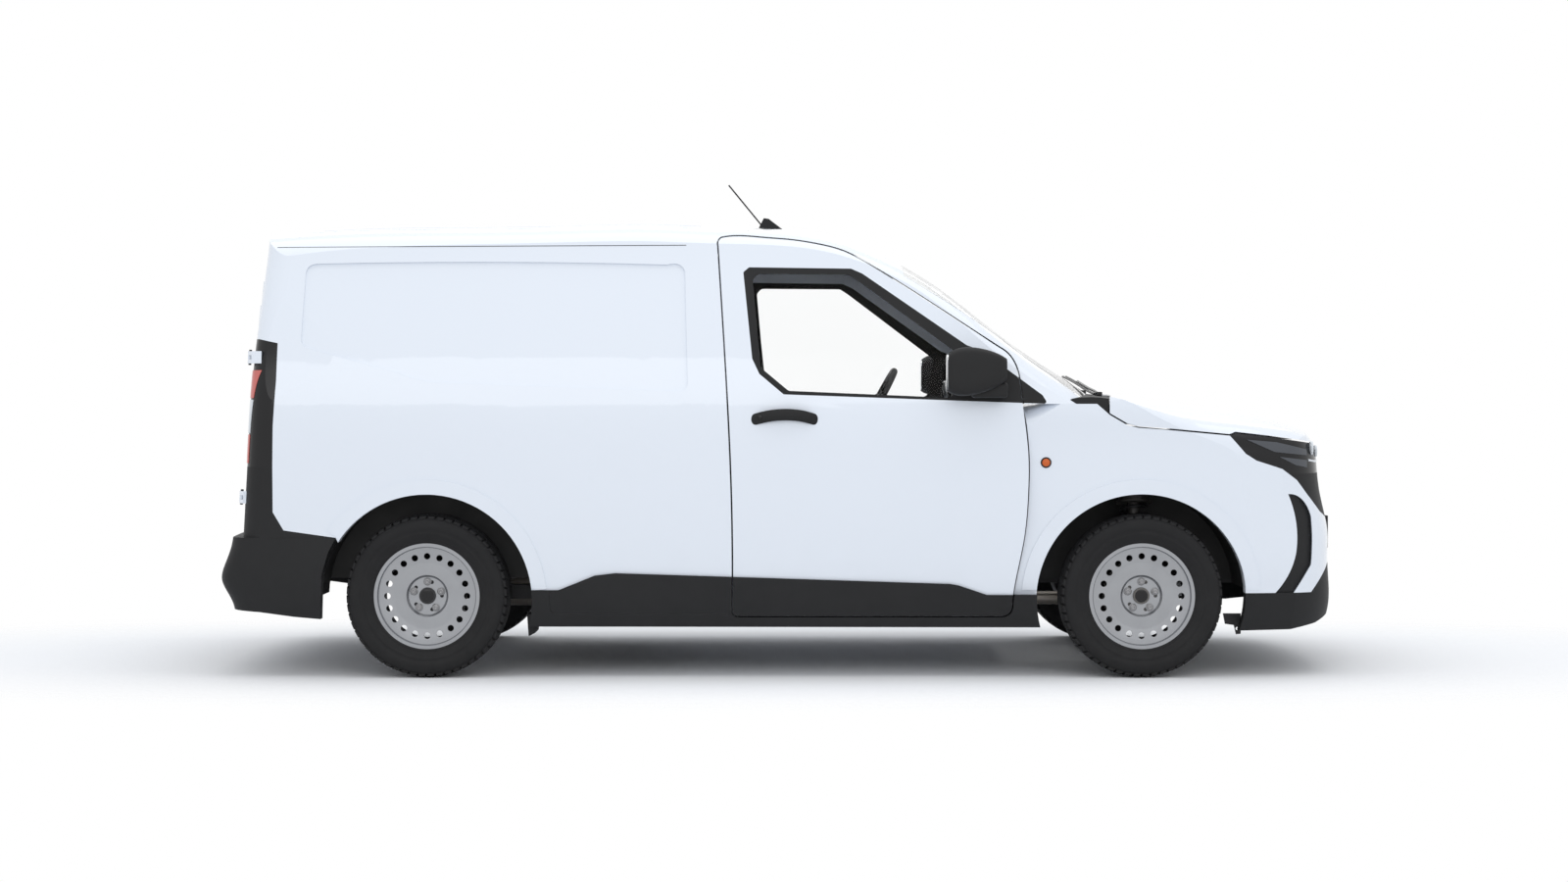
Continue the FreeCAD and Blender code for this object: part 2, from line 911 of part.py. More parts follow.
def mirror_section(x, low_z, high_z, outer_y, inner_y):
    """Closed outline of the mirror housing across the van: an oval drawn towards a rectangle."""
    middle_y = (outer_y + inner_y) / 2
    middle_z = (low_z + high_z) / 2
    points = []
    count = int(size.fit_points) + 1
    for index in range(count):
        turn = 2 * math.pi * index / count
        cosine = math.cos(turn)
        sine = math.sin(turn)
        wide = math.copysign(math.sqrt(abs(cosine)), cosine)
        high = math.copysign(math.sqrt(abs(sine)), sine)
        y = middle_y + wide * (inner_y - outer_y) / 2
        z = middle_z + high * (high_z - low_z) / 2
        points.append(Vector(x, y, z))
    curve = Part.BSplineCurve()
    curve.interpolate(points, PeriodicFlag=True)
    return Part.Wire(curve.toShape())


def door_mirror():
    """Lofted housing on a short arm that roots in the black triangle of the door."""
    low_x = along(0.725)
    low_z = up(0.610)
    side_y = -body_half_width(low_z, low_x, 0)
    outer_y = side_y - 3 * size.axle_tube_radius - size.mirror_round
    wires = []
    for share, low, high, width in mirror_section_shares:
        wires.append(
            mirror_section(
                low_x + share * size.mirror_length,
                low_z + low * size.mirror_height,
                low_z + high * size.mirror_height,
                outer_y + (1 - width) * size.mirror_depth,
                outer_y + size.mirror_depth,
            )
        )
    housing = Part.makeLoft(wires, True, False)
    arm_low_x = low_x + size.mirror_length * 0.42
    arm_high_x = arm_low_x + size.mirror_length * 0.60
    arm_high_z = low_z + size.mirror_round * 1.4
    root_y = -body_half_width(arm_high_z, arm_high_x, 0) + size.skin_flange * 3
    arm = box(
        arm_low_x,
        arm_high_x,
        outer_y + size.mirror_depth * 0.5,
        root_y,
        low_z - size.door_step * 0.5,
        arm_high_z,
    )
    arm = arm.makeFillet(size.skin_flange * 1.6, arm.Edges)
    return housing.fuse(arm.cut(flange.cabin))


def handle_dish():
    """Oval hollow behind the right door's pull handle."""
    ball = Part.makeSphere(1)
    stretch = FreeCAD.Matrix()
    stretch.scale(size.dish_half_length, size.dish_depth, size.dish_half_height)
    dish = ball.transformGeometry(stretch)
    side_y = -body_half_width(size.dish_height, size.dish_x, 0)
    return dish.translated(Vector(size.dish_x, side_y, size.dish_height))


door_panel, door_frame, door_skirt, door_pane = front_door()
keep("door_panel_right", door_panel)
keep("door_panel_left", mirrored(door_panel))
door_trim = Part.makeCompound([door_frame.fuse(door_mirror()), door_skirt])
keep("door_trim_right", door_trim)
keep("door_trim_left", mirrored(door_trim))
keep("door_glass_right", door_pane)
keep("door_glass_left", mirrored(door_pane))

# Rear doors

door_thickness_step = rear_opening.cut(rear_core_opening).common(flange.cabin)
rear_slab = cabin_shell.common(rear_opening).cut(door_thickness_step)
meeting = size.rear_door_meeting
half_gap = size.shut_gap / 2
tall = 2 * size.body_height
right_leaf = rear_slab.common(
    box(tail_x - reach, 0, -reach, meeting - half_gap, 0, tall)
)
left_leaf = rear_slab.common(box(tail_x - reach, 0, meeting + half_gap, reach, 0, tall))


def rear_face_x(y, z):
    """X of the bowed tail face at a point seen from behind."""
    bow_half_width = body_half_width(z, along(-0.8), 0) - size.rear_corner_length * 0.8
    centre_x = along(smooth_value(rear_face_shares, z / size.body_height))
    return centre_x + size.rear_plan_sag * (y / bow_half_width) ** 2


def rear_axis_point(z):
    """Point on the right rear door's hinge axis, just outside the tail face."""
    y = -size.rear_hinge_half_width
    low_x = rear_face_x(y, size.rear_hinge_low)
    high_x = rear_face_x(y, size.rear_hinge_high)
    share = (z - size.rear_hinge_low) / (size.rear_hinge_high - size.rear_hinge_low)
    return Vector(low_x + (high_x - low_x) * share - size.hinge_pin_standoff, y, z)


def hinge_plate(middle, outline, low_z, high_z):
    """Plan outline of (towards the van's middle, towards the nose) offsets, as a plate."""
    points = [Vector(middle.x + nose, middle.y + inward, low_z) for inward, nose in outline]
    face = Part.Face(Part.makePolygon(points + points[:1]))
    return face.extrude(Vector(0, 0, high_z - low_z))


def rear_hinge(z):
    """One exposed hinge: the door's strap and eye, and the body's bracket, eyes and pin."""
    middle = rear_axis_point(z)
    half = size.hinge_strap_height / 2
    third = size.hinge_strap_height / 6
    direction = rear_axis_point(z + half) - rear_axis_point(z - half)
    thick = size.hinge_strap_thickness
    length = size.hinge_strap_length
    bite = size.hinge_pin_standoff - size.shut_gap / 3
    root = length * 0.52
    strap_outline = [
        (0, -thick),
        (length, -thick * 1.5),
        (length, bite),
        (root, bite),
        (root, thick * 0.8),
        (0, thick * 0.8),
    ]
    bracket_outline = [
        (0, -thick),
        (-thick * 2, -thick),
        (-length * 0.4, thick * 2),
        (-length * 0.4, length * 0.5),
        (-thick, length * 0.5),
        (-thick, thick * 0.8),
        (0, thick * 0.8),
    ]

    def eye(radius, low, high):
        base = rear_axis_point(z + low)
        return Part.makeCylinder(radius, high - low, base, direction)

    barrel = size.hinge_barrel_radius
    pin = eye(size.hinge_pin_radius, -half, half)
    bore = eye(size.hinge_pin_radius + size.hinge_pin_fit, -half, half)
    gap = size.seat_gap * 2
    strap = hinge_plate(middle, strap_outline, z - third + gap, z + third - gap)
    strap = strap.fuse(eye(barrel, gap - third, third - gap)).cut(bore)
    lower = hinge_plate(middle, bracket_outline, z - half, z - third).fuse(eye(barrel, -half, -third))
    upper = hinge_plate(middle, bracket_outline, z + third, z + half).fuse(eye(barrel, third, half))
    spine = hinge_plate(middle, bracket_outline[2:5] + [(-thick * 2, thick)], z - half, z + half)
    spine = spine.cut(eye(barrel + size.shut_gap * 0.5, -half, half))
    return strap, lower.fuse([upper, spine, pin])


low_strap, low_bracket = rear_hinge(size.rear_hinge_low)
high_strap, high_bracket = rear_hinge(size.rear_hinge_high)
brackets = [low_bracket, high_bracket]
keep("rear_hinge_brackets", Part.makeCompound(brackets + [mirrored(item) for item in brackets]))
keep("rear_door_panel_right", right_leaf.fuse([low_strap, high_strap]))
keep("rear_door_panel_left", left_leaf.fuse([mirrored(low_strap), mirrored(high_strap)]))

tail_lamp = cabin_shell.common(lamp_zone).cut([rear_gap_opening] + brackets)
keep("tail_lamps", Part.makeCompound([tail_lamp, mirrored(tail_lamp)]))

rear_bumper_outer = proud.tube.common(
    end_envelope(
        rear_bumper_face_shares, size.rear_plan_sag, size.rear_corner_length, 0, along(0.2)
    )
)
rear_bumper_inner = inner.tube.common(
    end_envelope(
        rear_bumper_face_shares,
        size.rear_plan_sag,
        size.rear_corner_length,
        size.bumper_wall,
        along(0.2),
    )
)
rear_bumper = (
    rear_bumper_outer.cut(rear_bumper_inner)
    .common(side_zone(polygon_runs(rear_bumper_shares), both=True))
    .cut(arch_cylinder(rear_axle_x, 0, -reach, reach))
)
corner_trim = cabin_shell.common(corner_trim_zone).cut([rear_gap_opening] + brackets)
keep("rear_bumper", rear_bumper.fuse([corner_trim, mirrored(corner_trim)]))

# Front wings, bonnet and nose

front_wing = nose_shell.common(side_zone(polygon_runs(fender_shares))).cut(
    [door_gap_zone, arch_cylinder(front_axle_x)]
)
keep("fender_right", front_wing)
keep("fender_left", mirrored(front_wing))


def cowl_zone(growth):
    """Block behind the bonnet's bowed rear edge."""
    low_z = up(0.54)
    side_x = along(0.939) + growth
    centre_x = along(0.979) + growth
    bow = Part.Arc(
        Vector(side_x, -reach, low_z), Vector(centre_x, 0, low_z), Vector(side_x, reach, low_z)
    )
    back_x = along(0.85)
    wire = Part.Wire(
        [
            bow.toShape(),
            Part.makeLine(Vector(side_x, reach, low_z), Vector(back_x, reach, low_z)),
            Part.makeLine(Vector(back_x, reach, low_z), Vector(back_x, -reach, low_z)),
            Part.makeLine(Vector(back_x, -reach, low_z), Vector(side_x, -reach, low_z)),
        ]
    )
    return Part.Face(wire).extrude(Vector(0, 0, up(0.2)))


bonnet_zone = side_zone(polygon_runs(bonnet_zone_shares), growth=-size.shut_gap, both=True)
keep("bonnet", nose_shell.common(bonnet_zone).cut(cowl_zone(0)))

cowl = (
    flange.nose.cut(inner.nose)
    .common(cowl_zone(-size.shut_gap))
    .cut([outer.cabin, front_wing, mirrored(front_wing)])
)
keep("cowl_panel", cowl)

nose_zone = side_zone(polygon_runs(lamp_and_grille_shares), both=True)
dark_band = nose_shell.common(nose_zone)
lamp_low = up(0.440)
lamp_block = box(0, nose_x + reach, -reach, -size.lamp_inner_half_width, lamp_low, tall)
headlamp = dark_band.common(lamp_block)
keep("headlamps", Part.makeCompound([headlamp, mirrored(headlamp)]))



def face_x(z):
    """X of the nose face on the centre line at height z."""
    return along(smooth_value(front_face_shares, z / size.body_height))


def grille_bar(low_z):
    """Bowed bar across the nose between the two lamp blocks."""
    outer_x = face_x(low_z + size.grille_bar_height / 2)
    end_y = size.lamp_inner_half_width
    sag = size.front_plan_sag * (end_y / (half_width - size.front_corner_length)) ** 2
    depth = size.bumper_wall
    front = Part.Arc(
        Vector(outer_x - sag, -end_y, low_z),
        Vector(outer_x, 0, low_z),
        Vector(outer_x - sag, end_y, low_z),
    )
    back = Part.Arc(
        Vector(outer_x - sag - depth, end_y, low_z),
        Vector(outer_x - depth, 0, low_z),
        Vector(outer_x - sag - depth, -end_y, low_z),
    )
    wire = Part.Wire(
        [
            front.toShape(),
            Part.makeLine(front.EndPoint, back.StartPoint),
            back.toShape(),
            Part.makeLine(back.EndPoint, front.StartPoint),
        ]
    )
    return Part.Face(wire).extrude(Vector(0, 0, size.grille_bar_height))


grille_pieces = []
for share in grille_bar_shares:
    grille_pieces.append(grille_bar(up(share) - size.grille_bar_height / 2))
rib_low = up(grille_bar_shares[-1])
rib_high = up(grille_bar_shares[0])
for place in (-2, -1, 0, 1, 2):
    middle = place * size.grille_rib_spacing
    set_back = size.front_plan_sag * (middle / (half_width - size.front_corner_length)) ** 2
    outline = []
    for step in (0, 0.25, 0.5, 0.75, 1):
        z = rib_low + (rib_high - rib_low) * step
        outline.append(Vector(face_x(z) - set_back - size.grille_rib_set_back, 0, z))
    behind = [Vector(point.x - size.door_step, 0, point.z) for point in reversed(outline)]
    corners = outline + behind
    face = Part.Face(Part.makePolygon(corners + corners[:1]))
    face.translate(Vector(0, middle - size.grille_rib_width / 2, 0))
    grille_pieces.append(face.extrude(Vector(0, size.grille_rib_width, 0)))
lamp_surround = dark_band.common(
    box(0, nose_x + reach, -reach, -size.lamp_inner_half_width, 0, lamp_low)
)
grille_shape = grille_pieces[0].fuse(
    grille_pieces[1:] + [lamp_surround, mirrored(lamp_surround)]
)
keep("grille", grille_shape)

curtain_zone = side_zone(air_curtain_shares)
bumper_zone = side_zone(polygon_runs(bumper_shares), both=True)
wheel_cut = arch_cylinder(front_axle_x, 0, -reach, reach)
front_bumper = nose_shell.common(bumper_zone).cut(
    [wheel_cut, curtain_zone, mirrored(curtain_zone), grille_shape]
)
keep("front_bumper", front_bumper)
curtain = flange.nose.cut(inner.nose).common(curtain_zone)
lower_bumper = nose_shell.common(
    side_zone(polygon_runs(lower_bumper_shares), both=True)
).cut(wheel_cut)
keep("front_bumper_lower", lower_bumper.fuse([curtain, mirrored(curtain)]))

# Floor, wheelhouses, bulkhead and liners

cab_floor_low = size.cab_floor_height - size.floor_thickness
load_floor_low = size.load_floor_height - size.floor_thickness
front_wall_x = size.firewall_x
back_wall_x = front_wall_x + size.floor_thickness
step_x = size.bulkhead_x - size.bulkhead_thickness / 2
step_front_x = size.bulkhead_x + size.bulkhead_thickness / 2
load_room = inner.tube.common(
    end_envelope(
        rear_face_shares,
        size.rear_plan_sag,
        size.rear_corner_length,
        size.side_wall + size.skin_flange,
        along(1.2),
    )
)


def wheelhouse(x, inner_y, low_z):
    """Half-round shell over the right wheel, closed on its inner side."""
    radius = arch_radius + size.wheelhouse_clearance
    shell = cylinder_across(x, arch_z, radius + size.wheelhouse_wall, -reach, -inner_y)
    hollow = cylinder_across(x, arch_z, radius, -reach, -inner_y - size.wheelhouse_wall)
    upper = box(x - reach, x + reach, -reach, 0, low_z, tall)
    return shell.cut(hollow).common(upper)


def arch_liner(x, inner_y, low_z, room):
    """Thin plastic lining inside a wheelhouse."""
    radius = arch_radius + size.skin_flange
    outer_ring = cylinder_across(x, arch_z, radius + size.liner_wall, -reach, -inner_y)
    hollow = cylinder_across(x, arch_z, radius, -reach, -inner_y)
    upper = box(x - reach, x + reach, -reach, 0, low_z, tall)
    return outer_ring.cut(hollow).common(upper).common(room)


class Kingpin:
    """Inclined steering axis of the right front wheel."""

    def __init__(self):
        self.low_z = axle_height - size.ball_joint_drop
        self.low_y = -(size.track / 2 - size.kingpin_offset)
        lean = math.radians(size.kingpin_angle)
        self.direction = Vector(0, math.sin(lean), math.cos(lean))

    def at(self, z):
        return Vector(
            front_axle_x,
            self.low_y + (z - self.low_z) * self.direction.y / self.direction.z,
            z,
        )

    def barrel(self, radius, low_z, high_z):
        base = self.at(low_z)
        length = (high_z - low_z) / self.direction.z
        return Part.makeCylinder(radius, length, base, self.direction)


kingpin = Kingpin()
strut_top = size.strut_top_height
tower_wall = size.strut_tower_wall
tower_inner = size.strut_tower_radius - tower_wall
tower_low = arch_z + arch_radius
hub_face_y = size.track / 2 + size.wheel_offset

rear_house = wheelhouse(
    rear_axle_x, size.rear_wheelhouse_inner, axle_height + size.axle_tube_radius + size.door_step
)
front_house = wheelhouse(
    front_axle_x, size.front_wheelhouse_inner, size.cab_floor_height + size.ball_radius
).common(inner.nose)
tower = kingpin.barrel(size.strut_tower_radius, tower_low, strut_top + size.floor_thickness / 2)
tower_room = kingpin.barrel(tower_inner, tower_low - reach, strut_top + size.seat_gap)
hinge_x = along(0.842)
mid_wall = size.wheelhouse_clearance + size.wheelhouse_wall / 2
front_hollow = arch_cylinder(
    front_axle_x, mid_wall, -reach, -size.front_wheelhouse_inner - size.wheelhouse_wall / 2
)


def hinge_leaf(low_z):
    """Bracket reaching from the firewall to the right door's inner face."""
    room = inner.cabin.translated(Vector(0, size.seat_gap, 0))
    back_x = hinge_x - size.hinge_strap_height - size.skin_flange
    reach_y = -sill_outer + 2 * size.door_step
    leaf = box(back_x, back_wall_x, -reach, reach_y, low_z, low_z + 2 * size.ball_radius)
    return room.common(leaf).cut(front_wing)


def bonnet_post():
    """Upright from the front wheelhouse to the underside of the bonnet's rear corner."""
    low_x = along(0.944)
    room = inner.nose.translated(Vector(0, 0, -size.seat_gap))
    post_y = -across(0.82)
    return room.common(
        box(
            low_x,
            low_x + size.hinge_strap_height,
            post_y,
            post_y + size.ball_radius * 2,
            arch_z + arch_radius - size.door_step,
            tall,
        )
    ).cut([front_hollow, front_wing])


sill_back_x = rear_axle_x + arch_radius + 3 * size.wheelhouse_clearance
right_floor = [
    box(size.bulkhead_x, front_wall_x, -sill_outer, 0, cab_floor_low, size.cab_floor_height),
    box(step_x, step_front_x, -sill_outer, 0, cab_floor_low, size.load_floor_height),
    box(
        front_wall_x,
        back_wall_x,
        -sill_outer + size.door_step,
        0,
        cab_floor_low,
        size.firewall_height,
    ),
    box(
        sill_back_x,
        front_wall_x,
        -sill_outer,
        -sill_outer + size.sill_beam_width,
        size.cab_floor_height - size.sill_beam_height * 1.5,
        size.cab_floor_height,
    ),
    box(
        tail_x + size.sill_beam_width * 2,
        size.bulkhead_x,
        -size.rear_rail_outer,
        -size.rear_rail_inner,
        load_floor_low - size.rear_rail_height,
        load_floor_low,
    ),
    box(
        -size.seat_width * 0.66,
        size.seat_width * 0.28,
        -size.driver_offset - size.seat_width * 0.4,
        -size.driver_offset + size.seat_width * 0.4,
        size.cab_floor_height,
        size.cab_floor_height + size.sill_beam_height,
    ),
]
sill_flange = inner.cabin.common(
    box(
        sill_back_x,
        along(0.84),
        -reach,
        -sill_outer + size.shut_gap,
        size.cab_floor_height - size.sill_beam_height * 1.5,
        size.cab_floor_height - size.sill_beam_height,
    )
)
rear_hollow = arch_cylinder(
    rear_axle_x, mid_wall, -reach, -size.rear_wheelhouse_inner - size.wheelhouse_wall / 2
)
load_floor = (
    box(tail_x, size.bulkhead_x, -reach, reach, load_floor_low, size.load_floor_height)
    .cut([rear_hollow, mirrored(rear_hollow)])
    .fuse([rear_house, mirrored(rear_house)])
    .common(load_room)
)
right_floor = [item.cut([front_hollow, front_wing]) for item in right_floor]
half_floor = right_floor[0].fuse(
    right_floor[1:]
    + [sill_flange, front_house.cut(tower_room), tower.cut(tower_room)]
    + [
        hinge_leaf(size.cab_floor_height + size.sill_beam_width),
        hinge_leaf(up(0.48)),
        bonnet_post(),
    ]
)
lashing_holes = []
for x in (rear_axle_x - size.lashing_spacing * 0.4, rear_axle_x + size.lashing_spacing * 0.6):
    for side in (-1, 1):
        lashing_holes.append(
            Part.makeCylinder(
                size.lashing_radius,
                2 * size.floor_thickness,
                Vector(
                    x,
                    side * size.lashing_half_width,
                    load_floor_low - size.floor_thickness / 2,
                ),
            )
        )
floor_shape = half_floor.fuse([mirrored(half_floor), load_floor]).cut(lashing_holes)
keep("floor_pan", floor_shape)

keep(
    "bulkhead",
    inner.cabin.common(
        box(step_x, step_front_x, -reach, reach, size.load_floor_height, tall)
    ),
)

rear_liner = arch_liner(rear_axle_x, size.rear_wheelhouse_inner + size.door_step, axle_height, inner.cabin)
front_liner = arch_liner(
    front_axle_x, size.front_wheelhouse_inner + size.door_step, size.cab_floor_height, inner.nose
).cut(kingpin.barrel(size.strut_tower_radius + size.door_step, axle_height, strut_top))
keep(
    "arch_liners",
    Part.makeCompound([rear_liner, mirrored(rear_liner), front_liner, mirrored(front_liner)]),
)

# Front plate holder and antenna

holder_low = size.plate_centre_height - size.plate_height / 2 - size.skin_flange
holder_high = size.plate_centre_height + size.plate_height / 2 + size.skin_flange
holder = box(
    nose_x - 2 * size.door_step,
    nose_x,
    -size.plate_width / 2 - size.skin_flange,
    size.plate_width / 2 + size.skin_flange,
    holder_low,
    holder_high,
).cut(outer.nose)
holder_holes = []
for side in (-1, 1):
    holder_holes.append(
        Part.makeCylinder(
            size.plate_hole_radius,
            size.plate_holder_depth,
            Vector(
                nose_x - size.plate_holder_depth,
                side * size.plate_hole_spacing / 2,
                size.plate_centre_height,
            ),
            Vector(1, 0, 0),
        )
    )
keep("front_plate", holder.cut(holder_holes))

antenna_x = along(0.48)
roof_z = up(smooth_value(roof_shares, 0.48))
fin_outline = [
    Vector(antenna_x + size.seat_width * 0.1, 0, roof_z - size.roof_crown * 0.3),
    Vector(antenna_x - size.seat_width * 0.1, 0, roof_z - size.roof_crown * 0.2),
    Vector(antenna_x - size.seat_width * 0.1, 0, roof_z + size.roof_crown * 0.2),
    Vector(antenna_x - size.seat_width * 0.06, 0, roof_z + size.roof_crown * 0.9),
    Vector(antenna_x - size.seat_width * 0.02, 0, roof_z + size.roof_crown * 0.85),
    Vector(antenna_x + size.seat_width * 0.09, 0, roof_z + size.roof_crown * 0.1),
]
fin_face = Part.Face(Part.makePolygon(fin_outline + fin_outline[:1]))
fin_face.translate(Vector(0, -size.ball_radius, 0))
fin = fin_face.extrude(Vector(0, 2 * size.ball_radius, 0)).cut(outer.cabin)
mast_foot = Vector(antenna_x - size.seat_width * 0.07, 0, roof_z + size.roof_crown * 0.3)
mast_tip = Vector(along(0.4158), 0, up(1.099))
mast = Part.makeCylinder(
    size.mast_radius, (mast_tip - mast_foot).Length, mast_foot, mast_tip - mast_foot
)
keep("antenna", fin.fuse(mast))

# Sketch-based bodies


def outline_sketch(body, label, plane_role, corners):
    """Adds a closed outline to a body; each corner is a pair of size expressions."""
    sketch = body.newObject("Sketcher::SketchObject", label)
    planes = [item for item in body.Origin.OriginFeatures if item.Role == plane_role]
    sketch.AttachmentSupport = [(planes[0], "")]
    sketch.MapMode = "FlatFace"
    points = [Vector(size.value(first), size.value(second), 0) for first, second in corners]
    following = points[1:] + points[:1]
    lines = [
        sketch.addGeometry(Part.LineSegment(start, end), False)
        for start, end in zip(points, following)
    ]
    for line, after in zip(lines, lines[1:] + lines[:1]):
        sketch.addConstraint(Sketcher.Constraint("Coincident", line, 2, after, 1))
    for line, point, corner in zip(lines, points, corners):
        across_name = f"first{line}"
        up_name = f"second{line}"
        place = sketch.addConstraint(Sketcher.Constraint("DistanceX", -1, 1, line, 1, point.x))
        sketch.renameConstraint(place, across_name)
        place = sketch.addConstraint(Sketcher.Constraint("DistanceY", -1, 1, line, 1, point.y))
        sketch.renameConstraint(place, up_name)
        sketch.setExpression(f"Constraints.{across_name}", corner[0])
        sketch.setExpression(f"Constraints.{up_name}", corner[1])
    return sketch


def new_body(label, place, turn=0):
    body = document.addObject("PartDesign::Body", label)
    body.Label = label
    body.Placement = Placement(place, Rotation(Vector(0, 0, 1), turn))
    parts[label] = body
    return body


def hole_ring(body, label, circle_radius, hole_radius, count):
    """Cuts a ring of equal round holes through the body along its Y axis."""
    sketch = body.newObject("Sketcher::SketchObject", f"{label}_hole")
    planes = [item for item in body.Origin.OriginFeatures if item.Role == "XZ_Plane"]
    sketch.AttachmentSupport = [(planes[0], "")]
    sketch.MapMode = "FlatFace"
    radius = size.value(hole_radius)
    centre = Vector(size.value(circle_radius), 0, 0)
    circle = sketch.addGeometry(Part.Circle(centre, Vector(0, 0, 1), radius), False)
    index = sketch.addConstraint(Sketcher.Constraint("Radius", circle, radius))
    sketch.setExpression(f"Constraints[{index}]", hole_radius)
    index = sketch.addConstraint(Sketcher.Constraint("DistanceX", -1, 1, circle, 3, centre.x))
    sketch.setExpression(f"Constraints[{index}]", circle_radius)
    sketch.addConstraint(Sketcher.Constraint("PointOnObject", circle, 3, -1))
    pocket = body.newObject("PartDesign::Pocket", f"{label}_pocket")
    pocket.Profile = sketch
    pocket.Type = "ThroughAll"
    pocket.Midplane = True
    pattern = body.newObject("PartDesign::PolarPattern", f"{label}_ring")
    pattern.Originals = [pocket]
    pattern.Axis = (sketch, ["N_Axis"])
    pattern.Angle = 360
    pattern.Occurrences = count
    body.Tip = pattern
    document.recompute()


BEAD = "Sizes.bead_width / 2"
LIP = "(Sizes.bead_width / 2 + Sizes.rim_wall * 1.5)"
FACE = "Sizes.wheel_offset"
wheel_section = [
    ("Sizes.flange_radius", f"-{LIP}"),
    ("Sizes.flange_radius", f"-{BEAD}"),
    ("Sizes.bead_radius", f"-{BEAD}"),
    ("Sizes.bead_radius - Sizes.rim_wall / 2", f"-{BEAD} * 0.66"),
    ("Sizes.rim_well_radius", f"-{BEAD} * 0.38"),
    ("Sizes.rim_well_radius", f"{BEAD} * 0.08"),
    ("Sizes.bead_radius - Sizes.rim_wall / 2", f"{BEAD} * 0.32"),
    ("Sizes.bead_radius", f"{BEAD}"),
    ("Sizes.flange_radius", f"{BEAD}"),
    ("Sizes.flange_radius", f"{LIP}"),
    ("Sizes.bead_radius - Sizes.rim_wall", f"{LIP}"),
    ("Sizes.bead_radius - Sizes.rim_wall * 1.5", f"{BEAD} * 0.35"),
    ("Sizes.rim_well_radius - Sizes.rim_wall", f"{BEAD} * 0.11"),
    ("Sizes.rim_well_radius - Sizes.rim_wall", f"-{BEAD} * 0.41"),
    ("Sizes.bead_radius - Sizes.rim_wall * 2.5", f"-{BEAD} * 0.67"),
    ("Sizes.rim_well_radius - Sizes.rim_wall * 0.7", f"-{FACE} * 1.25"),
    ("Sizes.disc_ring_radius", f"-{FACE} * 1.2"),
    ("Sizes.hub_recess_radius + Sizes.rim_wall", f"-{FACE} * 1.2"),
    ("Sizes.hub_face_radius + Sizes.rim_wall", f"-{FACE}"),
    ("Sizes.hub_bore_radius", f"-{FACE}"),
    ("Sizes.hub_bore_radius", f"-{FACE} * 1.14"),
    ("Sizes.hub_face_radius", f"-{FACE} * 1.14"),
    ("Sizes.hub_recess_radius", f"-{FACE} * 1.34"),
    ("Sizes.disc_ring_radius", f"-{FACE} * 1.34"),
    ("Sizes.rim_well_radius", f"-{FACE} * 1.42"),
    ("Sizes.bead_radius - Sizes.rim_wall * 2", f"-{FACE} * 1.44"),
    ("Sizes.bead_radius - Sizes.rim_wall", f"-{LIP}"),
]
tyre_section = [
    ("Sizes.bead_radius + Sizes.seat_gap", f"-({BEAD} - Sizes.seat_gap)"),
    ("Sizes.flange_radius + Sizes.rim_wall / 2", f"-({BEAD} - Sizes.seat_gap)"),
    ("Sizes.tyre_bulge_radius", "-Sizes.tyre_width / 2"),
    ("Sizes.tyre_radius", "-Sizes.tread_width / 2"),
    ("Sizes.tyre_radius", "Sizes.tread_width / 2"),
    ("Sizes.tyre_bulge_radius", "Sizes.tyre_width / 2"),
    ("Sizes.flange_radius + Sizes.rim_wall / 2", f"{BEAD} - Sizes.seat_gap"),
    ("Sizes.bead_radius + Sizes.seat_gap", f"{BEAD} - Sizes.seat_gap"),
]


def revolved_body(label, section, place, turn):
    body = new_body(label, place, turn)
    sketch = outline_sketch(body, f"{label}_section", "XY_Plane", section)
    revolution = body.newObject("PartDesign::Revolution", f"{label}_turned")
    revolution.Profile = sketch
    revolution.ReferenceAxis = (sketch, ["V_Axis"])
    revolution.Angle = 360
    document.recompute()
    return body


wheel_centre_y = size.track / 2
for end_name, axle_x in (("front", front_axle_x), ("rear", rear_axle_x)):
    for side_name, side in (("right", -1), ("left", 1)):
        centre = Vector(axle_x, side * wheel_centre_y, axle_height)
        turn = 0 if side < 0 else 180
        name = f"{end_name}_{side_name}"
        wheel = revolved_body(f"wheel_{name}", wheel_section, centre, turn)
        hole_ring(
            wheel,
            f"wheel_{name}_vent",
            "Sizes.vent_circle_radius",
            "Sizes.vent_radius",
            int(size.vent_count),
        )
        hole_ring(
            wheel,
            f"wheel_{name}_bolt",
            "Sizes.bolt_circle_radius",
            "Sizes.bolt_hole_radius",
            int(size.bolt_count),
        )
        revolved_body(f"tyre_{name}", tyre_section, centre, turn)


def padded_body(label, section, width, place):
    """Body of one side-view outline, thickened evenly to both sides of its own plane."""
    body = new_body(label, place)
    sketch = outline_sketch(body, f"{label}_outline", "XZ_Plane", section)
    pad = body.newObject("PartDesign::Pad", f"{label}_pad")
    pad.Profile = sketch
    pad.Midplane = True
    pad.setExpression("Length", width)
    body.Tip = pad
    document.recompute()
    return body


# Part primitives, bound to the size sheet


def block(x_range, y_range, z_range):
    """Box between pairs of size expressions."""
    item = document.addObject("Part::Box", "Block")
    ranges = {"Length": x_range, "Width": y_range, "Height": z_range}
    for (name, (low, high)), letter in zip(ranges.items(), "xyz"):
        item.setExpression(name, f"({high}) - ({low})")
        item.setExpression(f"Placement.Base.{letter}", low)
    return item


def rod(radius, start, end):
    """Cylinder of a radius expression between two points."""
    item = document.addObject("Part::Cylinder", "Rod")
    item.setExpression("Radius", radius)
    item.Height = (end - start).Length
    item.Placement = Placement(start, Rotation(Vector(0, 0, 1), end - start))
    return item


def ball(radius, centre):
    item = document.addObject("Part::Sphere", "Ball")
    item.setExpression("Radius", radius)
    item.Placement = Placement(centre, Rotation())
    return item


def side_rod(radius, x, z, low_y, high_y):
    return rod(radius, Vector(x, low_y, z), Vector(x, high_y, z))


